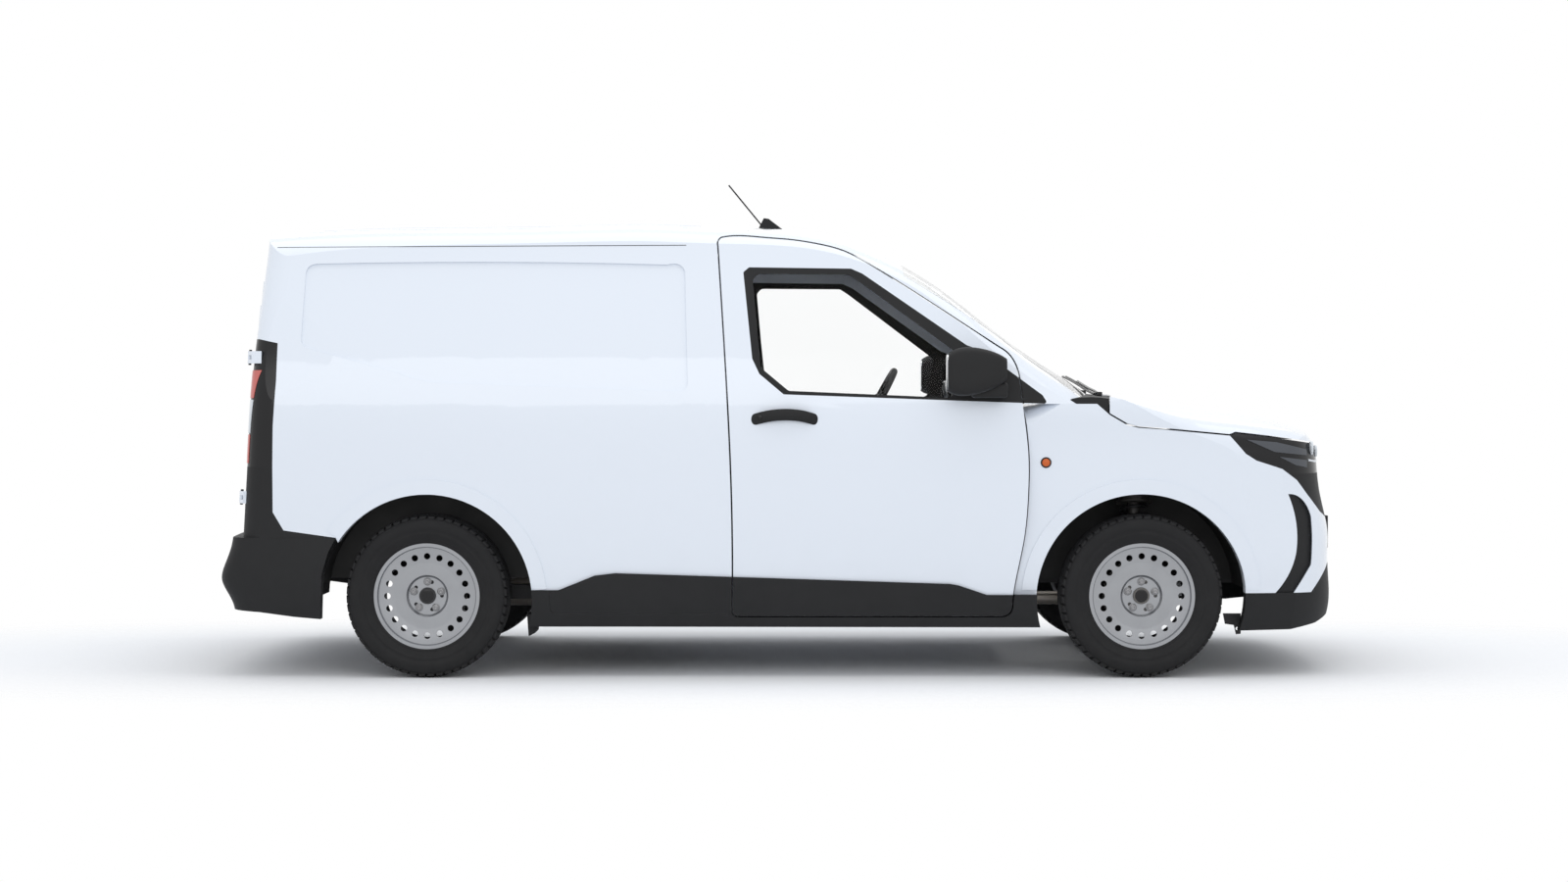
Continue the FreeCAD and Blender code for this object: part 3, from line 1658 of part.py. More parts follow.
def other_side(source):
    item = document.addObject("Part::Mirroring", "Mirrored")
    item.Source = source
    item.Normal = Vector(0, 1, 0)
    item.Base = Vector(0, 0, 0)
    return item


def fused(label, pieces):
    item = document.addObject("Part::MultiFuse", label)
    item.Shapes = pieces
    item.Label = label
    return item


def gathered(label, pieces):
    """Separate like pieces kept under one label."""
    item = document.addObject("Part::Compound", label)
    item.Links = pieces
    item.Label = label
    return item


def trimmed(label, item, cutter):
    result = document.addObject("Part::Cut", label)
    result.Base = item
    result.Tool = cutter
    return result


def piece(label, item):
    item.Label = label
    parts[label] = item
    return item


# Cab fittings

dash_section = [
    ("Sizes.firewall_x - Sizes.seat_gap", "Sizes.firewall_height * 0.64"),
    ("Sizes.firewall_x * 0.75", "Sizes.firewall_height * 0.66"),
    ("Sizes.firewall_x * 0.715", "Sizes.firewall_height * 0.86"),
    ("Sizes.firewall_x * 0.70", "Sizes.firewall_height * 0.97"),
    ("Sizes.firewall_x * 0.79", "Sizes.firewall_height * 1.03"),
    ("Sizes.firewall_x * 1.15", "Sizes.firewall_height * 1.015"),
    ("Sizes.firewall_x * 1.15", "Sizes.firewall_height + Sizes.seat_gap"),
    ("Sizes.firewall_x - Sizes.seat_gap", "Sizes.firewall_height + Sizes.seat_gap"),
]
seat_section = [
    ("Sizes.seat_width * 0.50", "Sizes.cab_floor_height * 1.30"),
    ("Sizes.seat_width * 0.53", "Sizes.cab_floor_height * 1.64"),
    ("Sizes.seat_width * 0.47", "Sizes.cab_floor_height * 1.74"),
    ("-Sizes.seat_width * 0.15", "Sizes.cab_floor_height * 1.70"),
    ("-Sizes.seat_width * 0.38", "Sizes.cab_floor_height * 3.39"),
    ("-Sizes.seat_width * 0.47", "Sizes.cab_floor_height * 3.97"),
    ("-Sizes.seat_width * 0.60", "Sizes.cab_floor_height * 3.94"),
    ("-Sizes.seat_width * 0.66", "Sizes.cab_floor_height * 3.36"),
    ("-Sizes.seat_width * 0.43", "Sizes.cab_floor_height * 1.45"),
    ("-Sizes.seat_width * 0.40", "Sizes.cab_floor_height + Sizes.sill_beam_height + Sizes.seat_gap"),
    ("Sizes.seat_width * 0.27", "Sizes.cab_floor_height + Sizes.sill_beam_height + Sizes.seat_gap"),
]


def plain_pad(label, section, width, place):
    pad = padded_body(label, section, width, place)
    del parts[label]
    return pad


rake = math.radians(size.steering_rake)
wheel_normal = Vector(-math.cos(rake), 0, math.sin(rake))
wheel_hub = Vector(size.steering_wheel_x, size.driver_offset, size.steering_wheel_height)
dash_pad = plain_pad("dash_body", dash_section, "Sizes.driver_offset * 4.04", Vector(0, 0, 0))
hub_depth = size.column_radius
column = rod(
    "Sizes.column_radius",
    wheel_hub - wheel_normal * (hub_depth + size.seat_gap),
    wheel_hub - wheel_normal * (size.steering_wheel_x + size.column_radius),
)
dash_block = fused("dash_block", [dash_pad, column])
wings = fused("wing_pair", [parts["fender_right"], parts["fender_left"]])
piece("dashboard", trimmed("dashboard", dash_block, wings))

driver_seat = plain_pad(
    "seat_body", seat_section, "Sizes.seat_width", Vector(0, size.driver_offset, 0)
)
piece("seats", gathered("seats", [driver_seat, other_side(driver_seat)]))

rim = document.addObject("Part::Torus", "SteeringRim")
rim.setExpression("Radius1", "Sizes.steering_wheel_radius")
rim.setExpression("Radius2", "Sizes.steering_rim_radius")
rim.Placement = Placement(wheel_hub, Rotation(Vector(0, 0, 1), wheel_normal))
wheel_side = Vector(0, 1, 0)
wheel_down = wheel_normal.cross(wheel_side)
if wheel_down.z > 0:
    wheel_down = wheel_down * -1
spokes = []
for direction in (wheel_side, wheel_side * -1, wheel_down):
    spokes.append(
        rod("Sizes.steering_rim_radius * 0.8", wheel_hub, wheel_hub + direction * size.steering_wheel_radius)
    )
boss = rod(
    "Sizes.column_radius * 1.6",
    wheel_hub - wheel_normal * hub_depth,
    wheel_hub + wheel_normal * size.steering_rim_radius,
)
piece("steering_wheel", fused("steering_wheel", [rim, boss] + spokes))

# Front knuckles

flange_inner = hub_face_y - size.seat_gap - size.hub_flange_thickness
spring_low = strut_top - size.strut_tower_radius * 1.7
cup_centre = kingpin.at(axle_height)
knuckle_pieces = [
    side_rod(
        "Sizes.hub_flange_radius", front_axle_x, axle_height, -(hub_face_y - size.seat_gap), -flange_inner
    ),
    side_rod(
        "Sizes.hub_bore_radius - Sizes.seat_gap",
        front_axle_x,
        axle_height,
        -(hub_face_y + size.hub_spigot_length),
        -flange_inner,
    ),
    side_rod(
        "Sizes.brake_disc_radius",
        front_axle_x,
        axle_height,
        -(flange_inner - size.hub_flange_thickness * 1.6),
        -(flange_inner - size.hub_flange_thickness * 1.6 - size.brake_disc_thickness),
    ),
    side_rod("Sizes.hub_barrel_radius", front_axle_x, axle_height, -flange_inner, cup_centre.y),
    ball("Sizes.boot_radius", cup_centre),
    rod("Sizes.knuckle_radius", kingpin.at(kingpin.low_z), kingpin.at(spring_low)),
    rod("Sizes.strut_radius * 0.6", kingpin.at(spring_low), kingpin.at(strut_top)),
    rod(
        "Sizes.spring_seat_radius",
        kingpin.at(spring_low),
        kingpin.at(spring_low + size.skin_flange),
    ),
    rod(
        "Sizes.upper_spring_radius",
        kingpin.at(spring_low + size.skin_flange),
        kingpin.at(strut_top - size.door_step),
    ),
    rod(
        "Sizes.spring_seat_radius",
        kingpin.at(strut_top - size.door_step),
        kingpin.at(strut_top - size.skin_flange),
    ),
]
knuckle = piece("knuckle_right", fused("knuckle_right", knuckle_pieces))
piece("knuckle_left", other_side(knuckle))

# Front subframe with rails, lower arms and crash beam


def arm_outline():
    """Lower arm in plan: wide at its two pivots, narrow at the ball joint."""
    tip_y = kingpin.low_y
    root_y = -size.rail_inner
    spread = size.strut_tower_radius * 1.7
    narrow = size.knuckle_radius
    corners = [
        Vector(front_axle_x - spread, root_y, 0),
        Vector(front_axle_x - narrow * 2, tip_y * 0.8, 0),
        Vector(front_axle_x - narrow, tip_y, 0),
        Vector(front_axle_x + narrow, tip_y, 0),
        Vector(front_axle_x + narrow * 2, tip_y * 0.8, 0),
        Vector(front_axle_x + spread * 0.4, root_y, 0),
    ]
    return Part.Face(Part.makePolygon(corners + corners[:1]))


arm_low = kingpin.low_z - size.lower_arm_thickness - size.door_step / 2
arm_face = arm_outline()
arm_face.translate(Vector(0, 0, arm_low))
arm = document.addObject("Part::Feature", "LowerArm")
arm.Shape = arm_face.extrude(Vector(0, 0, size.lower_arm_thickness))
cup = rod(
    "Sizes.knuckle_radius",
    kingpin.at(arm_low + size.seat_gap),
    kingpin.at(kingpin.low_z - size.seat_gap),
)
RAIL_LOW = "Sizes.rail_underside"
RAIL_HIGH = "Sizes.rail_underside + Sizes.rail_height"
rail = block(
    (
        "Sizes.firewall_x + Sizes.floor_thickness + Sizes.seat_gap",
        f"{FRONT_AXLE} + Sizes.front_overhang * 0.76",
    ),
    ("-Sizes.rail_outer", "-Sizes.rail_inner"),
    (RAIL_LOW, RAIL_HIGH),
)
hanger = block(
    (f"{FRONT_AXLE} - Sizes.crossmember_height * 2.4", f"{FRONT_AXLE} - Sizes.crossmember_height * 1.2"),
    ("-Sizes.rail_outer", "-Sizes.rail_inner"),
    (f"{RAIL_LOW} - Sizes.rail_height * 1.6", RAIL_LOW),
)
shaft = side_rod(
    "Sizes.drive_shaft_radius",
    front_axle_x,
    axle_height,
    cup_centre.y + size.boot_radius + size.seat_gap,
    -size.engine_width / 2 + size.door_step,
)
inner_boot = side_rod(
    "Sizes.boot_radius",
    front_axle_x,
    axle_height,
    -size.engine_width / 2 - size.door_step,
    -size.engine_width / 2 - size.seat_gap,
)
half_frame = fused("half_subframe", [arm, cup, rail, hanger])
crossmember = block(
    (f"{FRONT_AXLE} - Sizes.crossmember_height * 2.4", f"{FRONT_AXLE} + Sizes.crossmember_height * 0.6"),
    ("-Sizes.rail_outer", "Sizes.rail_outer"),
    (f"{RAIL_LOW} - Sizes.rail_height * 1.6", f"{RAIL_LOW} - Sizes.rail_height * 0.95"),
)
crash_beam = block(
    (
        f"{FRONT_AXLE} + Sizes.front_overhang * 0.76",
        f"{FRONT_AXLE} + Sizes.front_overhang * 0.76 + Sizes.crash_beam_depth",
    ),
    ("-Sizes.crash_beam_half_width", "Sizes.crash_beam_half_width"),
    (RAIL_LOW, RAIL_HIGH),
)
piece(
    "front_subframe",
    fused("front_subframe", [half_frame, other_side(half_frame), crossmember, crash_beam]),
)

# Engine and gearbox as one plain block, with drive shafts and radiator

ENGINE_FRONT = f"{FRONT_AXLE} + Sizes.engine_length * 0.68"
ENGINE_BACK = f"{FRONT_AXLE} - Sizes.engine_length * 0.32"
engine = block(
    (ENGINE_BACK, ENGINE_FRONT),
    ("-Sizes.engine_width / 2", "Sizes.engine_width / 2"),
    (
        "Sizes.tyre_radius - Sizes.boot_radius * 1.2",
        "Sizes.tyre_radius - Sizes.boot_radius * 1.2 + Sizes.engine_height",
    ),
)
engine_foot = block(
    (f"{FRONT_AXLE} + Sizes.boot_length", f"{FRONT_AXLE} + Sizes.boot_length * 2.5"),
    ("-Sizes.rail_outer * 0.98", "Sizes.rail_outer * 0.98"),
    (f"{RAIL_HIGH} + Sizes.seat_gap", f"{RAIL_HIGH} + Sizes.door_step"),
)
half_shaft = fused("half_shaft", [shaft, inner_boot])
piece(
    "engine_block",
    fused("engine_block", [engine, engine_foot, half_shaft, other_side(half_shaft)]),
)
radiator_core = block(
    ("Sizes.radiator_x", "Sizes.radiator_x + Sizes.radiator_depth"),
    ("-Sizes.radiator_width / 2", "Sizes.radiator_width / 2"),
    (
        f"{RAIL_LOW} - Sizes.rail_height * 0.5",
        f"{RAIL_LOW} - Sizes.rail_height * 0.5 + Sizes.radiator_height",
    ),
)
radiator_arm = block(
    ("Sizes.radiator_x", "Sizes.radiator_x + Sizes.radiator_depth"),
    ("-Sizes.rail_inner + Sizes.seat_gap", "Sizes.rail_inner - Sizes.seat_gap"),
    (RAIL_LOW, f"{RAIL_LOW} + Sizes.door_step"),
)
piece("radiator", fused("radiator", [radiator_core, radiator_arm]))

# Rear axle: trailing arms, twist beam and hubs

ARM_LOW = "Sizes.tyre_radius - Sizes.axle_tube_radius"
ARM_HIGH = "Sizes.tyre_radius + Sizes.axle_tube_radius * 0.6"
ARM_INNER = "Sizes.rear_rail_inner"
RAIL_FOOT = "Sizes.load_floor_height - Sizes.floor_thickness - Sizes.rear_rail_height - Sizes.seat_gap"
trailing_arm = block(
    (f"{REAR_AXLE} - Sizes.trailing_arm_width", f"{REAR_AXLE} + Sizes.trailing_arm_width * 7"),
    (f"-{ARM_INNER} - Sizes.trailing_arm_width", f"-{ARM_INNER}"),
    (ARM_LOW, ARM_HIGH),
)
pivot_post = block(
    (f"{REAR_AXLE} + Sizes.trailing_arm_width * 6", f"{REAR_AXLE} + Sizes.trailing_arm_width * 7"),
    (f"-{ARM_INNER} - Sizes.trailing_arm_width", f"-{ARM_INNER}"),
    (ARM_LOW, RAIL_FOOT),
)
coil_y = -size.rear_rail_inner - size.trailing_arm_width / 2
coil_x = rear_axle_x + size.trailing_arm_width * 1.2
rail_foot_z = load_floor_low - size.rear_rail_height - size.seat_gap
coil = rod("Sizes.spring_radius", Vector(coil_x, coil_y, axle_height), Vector(coil_x, coil_y, rail_foot_z))
stub_pieces = [
    side_rod("Sizes.axle_tube_radius", rear_axle_x, axle_height, -flange_inner, -size.rear_rail_inner),
    side_rod(
        "Sizes.hub_flange_radius", rear_axle_x, axle_height, -(hub_face_y - size.seat_gap), -flange_inner
    ),
    side_rod(
        "Sizes.hub_bore_radius - Sizes.seat_gap",
        rear_axle_x,
        axle_height,
        -(hub_face_y + size.hub_spigot_length),
        -flange_inner,
    ),
    side_rod(
        "Sizes.brake_disc_radius",
        rear_axle_x,
        axle_height,
        -(flange_inner - size.hub_flange_thickness),
        -(flange_inner - size.hub_flange_thickness - 2 * size.brake_disc_thickness),
    ),
]
half_axle = fused("half_axle", [trailing_arm, pivot_post, coil] + stub_pieces)
beam = side_rod(
    "Sizes.axle_tube_radius",
    rear_axle_x + size.trailing_arm_width * 3,
    axle_height,
    -size.rear_rail_inner - size.trailing_arm_width / 2,
    size.rear_rail_inner + size.trailing_arm_width / 2,
)
piece("rear_axle_beam", fused("rear_axle_beam", [half_axle, other_side(half_axle), beam]))

# Fuel tank and exhaust

TANK_TOP = "Sizes.load_floor_height - Sizes.floor_thickness - Sizes.seat_gap"
TANK_FRONT = "Sizes.bulkhead_x - Sizes.bulkhead_thickness"
tank = block(
    (f"{TANK_FRONT} - Sizes.tank_length", TANK_FRONT),
    ("-Sizes.tank_width * 0.3", "Sizes.tank_width * 0.7"),
    (f"{TANK_TOP} - Sizes.tank_height", TANK_TOP),
)
piece("fuel_tank", tank)

pipe_y = -(size.rail_inner - size.column_radius - size.door_step)
pipe_z = cab_floor_low - size.exhaust_radius * 1.7
silencer_front = size.bulkhead_x - size.silencer_length * 0.6
silencer_back = silencer_front - size.silencer_length
silencer_z = cab_floor_low + size.ball_radius
tail_z = axle_height + size.silencer_radius * 0.8
riser_x = front_axle_x - size.engine_length * 0.32 - size.exhaust_radius * 1.5
riser_top = axle_height + size.rail_height
exhaust_pieces = [
    rod(
        "Sizes.exhaust_radius",
        Vector(silencer_front - size.door_step, pipe_y, pipe_z),
        Vector(riser_x, pipe_y, pipe_z),
    ),
    ball("Sizes.exhaust_radius", Vector(riser_x, pipe_y, pipe_z)),
    rod("Sizes.exhaust_radius", Vector(riser_x, pipe_y, pipe_z), Vector(riser_x, pipe_y, riser_top)),
    ball("Sizes.exhaust_radius", Vector(riser_x, pipe_y, riser_top)),
    rod(
        "Sizes.exhaust_radius",
        Vector(riser_x, pipe_y, riser_top),
        Vector(riser_x, -size.engine_width / 2 + size.exhaust_radius, riser_top),
    ),
    ball("Sizes.exhaust_radius", Vector(riser_x, -size.engine_width / 2 + size.exhaust_radius, riser_top)),
    rod(
        "Sizes.exhaust_radius",
        Vector(riser_x, -size.engine_width / 2 + size.exhaust_radius, riser_top),
        Vector(
            front_axle_x - size.engine_length * 0.32 - size.seat_gap,
            -size.engine_width / 2 + size.exhaust_radius,
            riser_top,
        ),
    ),
    rod(
        "Sizes.silencer_radius",
        Vector(silencer_back, pipe_y, silencer_z),
        Vector(silencer_front, pipe_y, silencer_z),
    ),
    rod(
        "Sizes.exhaust_radius",
        Vector(tail_x + size.sill_beam_width, pipe_y, tail_z),
        Vector(silencer_back + size.door_step, pipe_y, tail_z),
    ),
]
for share in (0.2, 0.8):
    place = Vector(silencer_back + size.silencer_length * share, pipe_y, silencer_z)
    exhaust_pieces.append(
        rod(
            "Sizes.ball_radius * 0.6",
            place,
            Vector(place.x, pipe_y, load_floor_low - size.seat_gap),
        )
    )
piece("exhaust", fused("exhaust", exhaust_pieces))

document.recompute()

# Checks and export

problems = []
for item in document.Objects:
    if "Invalid" in item.State or "Error" in item.State:
        problems.append(f"{item.Name}: {item.State}")
os.makedirs("parts", exist_ok=True)
for label, item in parts.items():
    shape = item.Shape
    if shape.isNull() or not shape.isValid() or not shape.Solids:
        problems.append(f"{label}: no valid solid")
        continue
    shape.exportStep(f"parts/{label}.step")
if problems:
    raise RuntimeError("; ".join(problems))
print(f"{len(parts)} parts written")
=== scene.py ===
"""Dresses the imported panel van: a finish for every part, and the small pieces beside them."""

from __future__ import annotations

import logging
import math
from dataclasses import dataclass
from enum import Enum
from functools import cache
from typing import Callable, Iterable

import bmesh
import bpy
from mathutils import Matrix, Vector

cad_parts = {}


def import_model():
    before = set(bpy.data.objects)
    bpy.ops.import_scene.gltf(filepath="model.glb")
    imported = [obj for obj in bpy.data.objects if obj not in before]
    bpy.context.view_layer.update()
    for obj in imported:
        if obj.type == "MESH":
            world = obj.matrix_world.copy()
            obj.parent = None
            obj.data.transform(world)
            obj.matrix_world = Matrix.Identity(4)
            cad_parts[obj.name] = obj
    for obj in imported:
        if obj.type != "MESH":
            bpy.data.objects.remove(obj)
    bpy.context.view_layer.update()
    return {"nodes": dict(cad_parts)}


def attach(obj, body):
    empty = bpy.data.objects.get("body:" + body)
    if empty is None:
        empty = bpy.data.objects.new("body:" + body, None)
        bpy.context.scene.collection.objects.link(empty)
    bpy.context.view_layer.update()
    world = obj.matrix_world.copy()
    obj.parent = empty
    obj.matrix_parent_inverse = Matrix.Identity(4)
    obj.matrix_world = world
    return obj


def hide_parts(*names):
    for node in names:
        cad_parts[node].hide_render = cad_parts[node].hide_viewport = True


logging.basicConfig(level=logging.INFO, format="%(message)s")
log = logging.getLogger("panel_van")

Point = tuple[float, float, float]
Spot = tuple[float, float]
Colour = tuple[float, float, float]
Piece = bpy.types.Object
Material = bpy.types.Material
Tree = bpy.types.NodeTree
Node = bpy.types.Node
Socket = bpy.types.NodeSocket


class Side(Enum):
    """Side of the van, by the sign of its Y."""

    RIGHT = -1
    LEFT = 1

    @property
    def word(self) -> str:
        """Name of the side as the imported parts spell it."""
        return self.name.lower()


class Axle(Enum):
    """Axle of a road wheel, by its X."""

    FRONT = 1.3495
    REAR = -1.3425

    @property
    def word(self) -> str:
        """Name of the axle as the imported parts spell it."""
        return self.name.lower()


# Shader groups


class EffectGroup:
    """A shader node group under construction, fed with a place and some values."""

    def __init__(self, name: str, inputs: dict[str, float], outputs: Iterable[str]) -> None:
        """Starts a group with a vector input called Place.

        Args:
            name: Name of the group.
            inputs: Default value of each float input.
            outputs: Names of the float outputs.
        """
        self.tree = bpy.data.node_groups.new(name, "ShaderNodeTree")
        sockets = self.tree.interface
        sockets.new_socket("Place", in_out="INPUT", socket_type="NodeSocketVector")
        for label, value in inputs.items():
            socket = sockets.new_socket(label, in_out="INPUT", socket_type="NodeSocketFloat")
            socket.default_value = value
        for label in outputs:
            sockets.new_socket(label, in_out="OUTPUT", socket_type="NodeSocketFloat")
        self.given = self.tree.nodes.new("NodeGroupInput").outputs
        self.end = self.tree.nodes.new("NodeGroupOutput")

    def feed(self, node: Node, **sources: Socket) -> None:
        """Links sources to a node's inputs; an underscore stands for a space."""
        for label, source in sources.items():
            self.tree.links.new(source, node.inputs[label.replace("_", " ")])

    def node(self, kind: str, **sources: Socket) -> Node:
        """Adds a node.

        Args:
            kind: Its type, without the word ShaderNode.
            **sources: What feeds its inputs.

        Returns:
            The node.
        """
        node = self.tree.nodes.new(f"ShaderNode{kind}")
        self.feed(node, **sources)
        return node

    def join(self, operation: str, first: Socket, second: Socket) -> Socket:
        """Adds a Math node.

        Args:
            operation: What it does.
            first: Its first input.
            second: Its second input.

        Returns:
            Its output.
        """
        node = self.tree.nodes.new("ShaderNodeMath")
        node.operation = operation
        self.tree.links.new(first, node.inputs[0])
        self.tree.links.new(second, node.inputs[1])
        return node.outputs[0]


@cache
def grain_group() -> Tree:
    """Builds moulded grain, a fine cell pattern broken by soft noise, once for all materials.

    Returns:
        The group, with Height and Patch.
    """
    group = EffectGroup("moulded_grain", {"Scale": 900.0, "Patch Scale": 6.0}, ("Height", "Patch"))
    place, scale, patch_scale = (group.given[label] for label in ("Place", "Scale", "Patch Scale"))
    cells = group.node("TexVoronoi", Vector=place, Scale=scale)
    cells.feature = "SMOOTH_F1"
    noise = group.node("TexNoise", Vector=place, Scale=patch_scale)
    noise.inputs["Detail"].default_value = 3.0
    group.feed(group.end, Height=cells.outputs["Distance"], Patch=noise.outputs["Fac"])
    return group.tree


@cache
def film_group() -> Tree:
    """Builds road dust, thicker near the ground and broken by noise, once for all materials.

    Returns:
        The group, with Mask.
    """
    group = EffectGroup("road_film", {"Low": 0.0, "High": 0.6, "Scale": 14.0}, ("Mask",))
    place, low, high, scale = (group.given[label] for label in ("Place", "Low", "High", "Scale"))
    height = group.node("SeparateXYZ", Vector=place).outputs["Z"]
    fade = group.node("MapRange", Value=height, From_Min=low, From_Max=high)
    fade.inputs["To Min"].default_value = 1.0
    fade.inputs["To Max"].default_value = 0.0
    noise = group.node("TexNoise", Vector=place, Scale=scale)
    noise.inputs["Detail"].default_value = 6.0
    mask = group.join("MULTIPLY", fade.outputs["Result"], noise.outputs["Fac"])
    group.feed(group.end, Mask=mask)
    return group.tree


@cache
def weave_group() -> Tree:
    """Builds woven cloth, two crossed sets of threads, once for all materials.

    Returns:
        The group, with Height and Thread.
    """
    group = EffectGroup("cloth_weave", {"Scale": 260.0}, ("Height", "Thread"))
    threads = []
    for direction in ("X", "Z"):
        wave = group.node("TexWave", Vector=group.given["Place"], Scale=group.given["Scale"])
        wave.bands_direction = direction
        wave.inputs["Distortion"].default_value = 0.6
        threads.append(wave.outputs["Fac"])
    group.feed(group.end, Height=group.join("MAXIMUM", *threads), Thread=threads[0])
    return group.tree


class MaterialSheet:
    """One node material under construction."""

    def __init__(self, name: str) -> None:
        """Starts a material with a Principled shader and Object coordinates.

        Args:
            name: Name of the material.
        """
        self.material = bpy.data.materials.new(name)
        self.material.use_nodes = True
        self.nodes = self.material.node_tree.nodes
        self.links = self.material.node_tree.links
        self.shader = self.nodes["Principled BSDF"]
        self.place = self.nodes.new("ShaderNodeTexCoord").outputs["Object"]

    def set(self, **values: float | Colour) -> None:
        """Sets plain values on the shader's sockets.

        Args:
            **values: Values by socket; an underscore stands for a space.
        """
        for label, value in values.items():
            socket = self.shader.inputs[label.replace("_", " ")]
            if isinstance(value, tuple):
                value = (*value, 1.0)
            socket.default_value = value

    def effect(self, tree: Tree, **values: float) -> Node:
        """Places a shared group in the material with its own values.

        Args:
            tree: The group.
            **values: Values of its inputs; an underscore stands for a space.

        Returns:
            The group's node.
        """
        node = self.nodes.new("ShaderNodeGroup")
        node.node_tree = tree
        self.links.new(self.place, node.inputs["Place"])
        for label, value in values.items():
            node.inputs[label.replace("_", " ")].default_value = value
        return node

    def spread(self, mask: Socket, low: float, high: float, target: str) -> None:
        """Feeds a shader value that follows a mask.

        Args:
            mask: The mask.
            low: The value where the mask is 0.
            high: The value where the mask is 1.
            target: The shader's socket.
        """
        ramp = self.nodes.new("ShaderNodeMapRange")
        ramp.inputs["To Min"].default_value = low
        ramp.inputs["To Max"].default_value = high
        self.links.new(mask, ramp.inputs["Value"])
        self.links.new(ramp.outputs["Result"], self.shader.inputs[target])

    def tint(self, mask: Socket, first: Colour, second: Colour) -> None:
        """Feeds Base Color with a blend of two colours.

        Args:
            mask: The mask.
            first: The colour where the mask is 0.
            second: The colour where the mask is 1.
        """
        blend = self.nodes.new("ShaderNodeMix")
        blend.data_type = "RGBA"
        blend.inputs["A"].default_value = (*first, 1.0)
        blend.inputs["B"].default_value = (*second, 1.0)
        self.links.new(mask, blend.inputs["Factor"])
        self.links.new(blend.outputs["Result"], self.shader.inputs["Base Color"])

    def bump(self, height: Socket, strength: float, distance: float) -> None:
        """Feeds Normal with a bump.

        Args:
            height: The height.
            strength: Strength of the bump.
            distance: Its depth in metres.
        """
        node = self.nodes.new("ShaderNodeBump")
        node.inputs["Strength"].default_value = strength
        node.inputs["Distance"].default_value = distance
        self.links.new(height, node.inputs["Height"])
        self.links.new(node.outputs["Normal"], self.shader.inputs["Normal"])

    def maths(
        self, operation: str, source: Socket, other: float | Socket = 0.0
    ) -> Socket:
        """Adds a Math node.

        Args:
            operation: What it does.
            source: Its first input.
            other: Its second input, a value or a socket.

        Returns:
            Its output.
        """
        node = self.nodes.new("ShaderNodeMath")
        node.operation = operation
        self.links.new(source, node.inputs[0])
        if isinstance(other, Socket):
            self.links.new(other, node.inputs[1])
        else:
            node.inputs[1].default_value = other
        return node.outputs[0]

    def vector(
        self, operation: str, source: Socket, other: Point = (0.0, 0.0, 0.0)
    ) -> Socket:
        """Adds a Vector Math node.

        Args:
            operation: What it does.
            source: Its first input.
            other: Its second input.

        Returns:
            Its output.
        """
        node = self.nodes.new("ShaderNodeVectorMath")
        node.operation = operation
        self.links.new(source, node.inputs[0])
        node.inputs[1].default_value = other
        return node.outputs["Value" if operation == "LENGTH" else "Vector"]


# Finishes


@dataclass(frozen=True)
class PaintFinish:
    """Sprayed body paint under a clear coat."""

    name: str
    colour: Colour
    roughness: float = 0.38
    coat: float = 1.0

    def material(self) -> Material:
        """Builds the paint with a faint orange peel and a slight film near the ground.

        Returns:
            The material.
        """
        sheet = MaterialSheet(self.name)
        sheet.set(Metallic=0.0, Coat_Weight=self.coat, Coat_Roughness=0.04)
        film = sheet.effect(film_group(), Low=0.1, High=0.7, Scale=9.0)
        dull = tuple(channel * 0.93 for channel in self.colour)
        sheet.tint(film.outputs["Mask"], self.colour, dull)
        grain = sheet.effect(grain_group(), Scale=160.0, Patch_Scale=3.0)
        low, high = self.roughness - 0.04, self.roughness + 0.04
        sheet.spread(grain.outputs["Patch"], low, high, "Roughness")
        sheet.bump(grain.outputs["Height"], 0.02, 0.0004)
        return sheet.material


@dataclass(frozen=True)
class PlasticFinish:
    """Moulded plastic with a visible grain."""

    name: str
    colour: Colour
    roughness: float = 0.6
    grain_scale: float = 700.0
    grain_depth: float = 0.25

    def material(self) -> Material:
        """Builds the plastic from its grain and a light film of dust.

        Returns:
            The material.
        """
        sheet = MaterialSheet(self.name)
        sheet.set(Specular_IOR_Level=0.35)
        grain = sheet.effect(grain_group(), Scale=self.grain_scale, Patch_Scale=5.0)
        film = sheet.effect(film_group(), Low=0.0, High=0.9, Scale=18.0)
        dusty = tuple(channel * 1.4 + 0.002 for channel in self.colour)
        sheet.tint(film.outputs["Mask"], self.colour, dusty)
        low, high = self.roughness - 0.08, self.roughness + 0.1
        sheet.spread(grain.outputs["Patch"], low, high, "Roughness")
        sheet.bump(grain.outputs["Height"], self.grain_depth, 0.0006)
        return sheet.material


@dataclass(frozen=True)
class MetalFinish:
    """Bare or painted metal."""

    name: str
    colour: Colour
    roughness: float = 0.4
    metallic: float = 1.0
    unevenness: float = 0.12

    def material(self) -> Material:
        """Builds the metal with uneven gloss and a fine cast or rolled texture.

        Returns:
            The material.
        """
        sheet = MaterialSheet(self.name)
        sheet.set(Metallic=self.metallic)
        grain = sheet.effect(grain_group(), Scale=420.0, Patch_Scale=11.0)
        shade = tuple(channel * 0.82 for channel in self.colour)
        sheet.tint(grain.outputs["Patch"], self.colour, shade)
        low = max(self.roughness - self.unevenness, 0.05)
        sheet.spread(grain.outputs["Patch"], low, self.roughness + self.unevenness, "Roughness")
        sheet.bump(grain.outputs["Height"], 0.08, 0.0005)
        return sheet.material


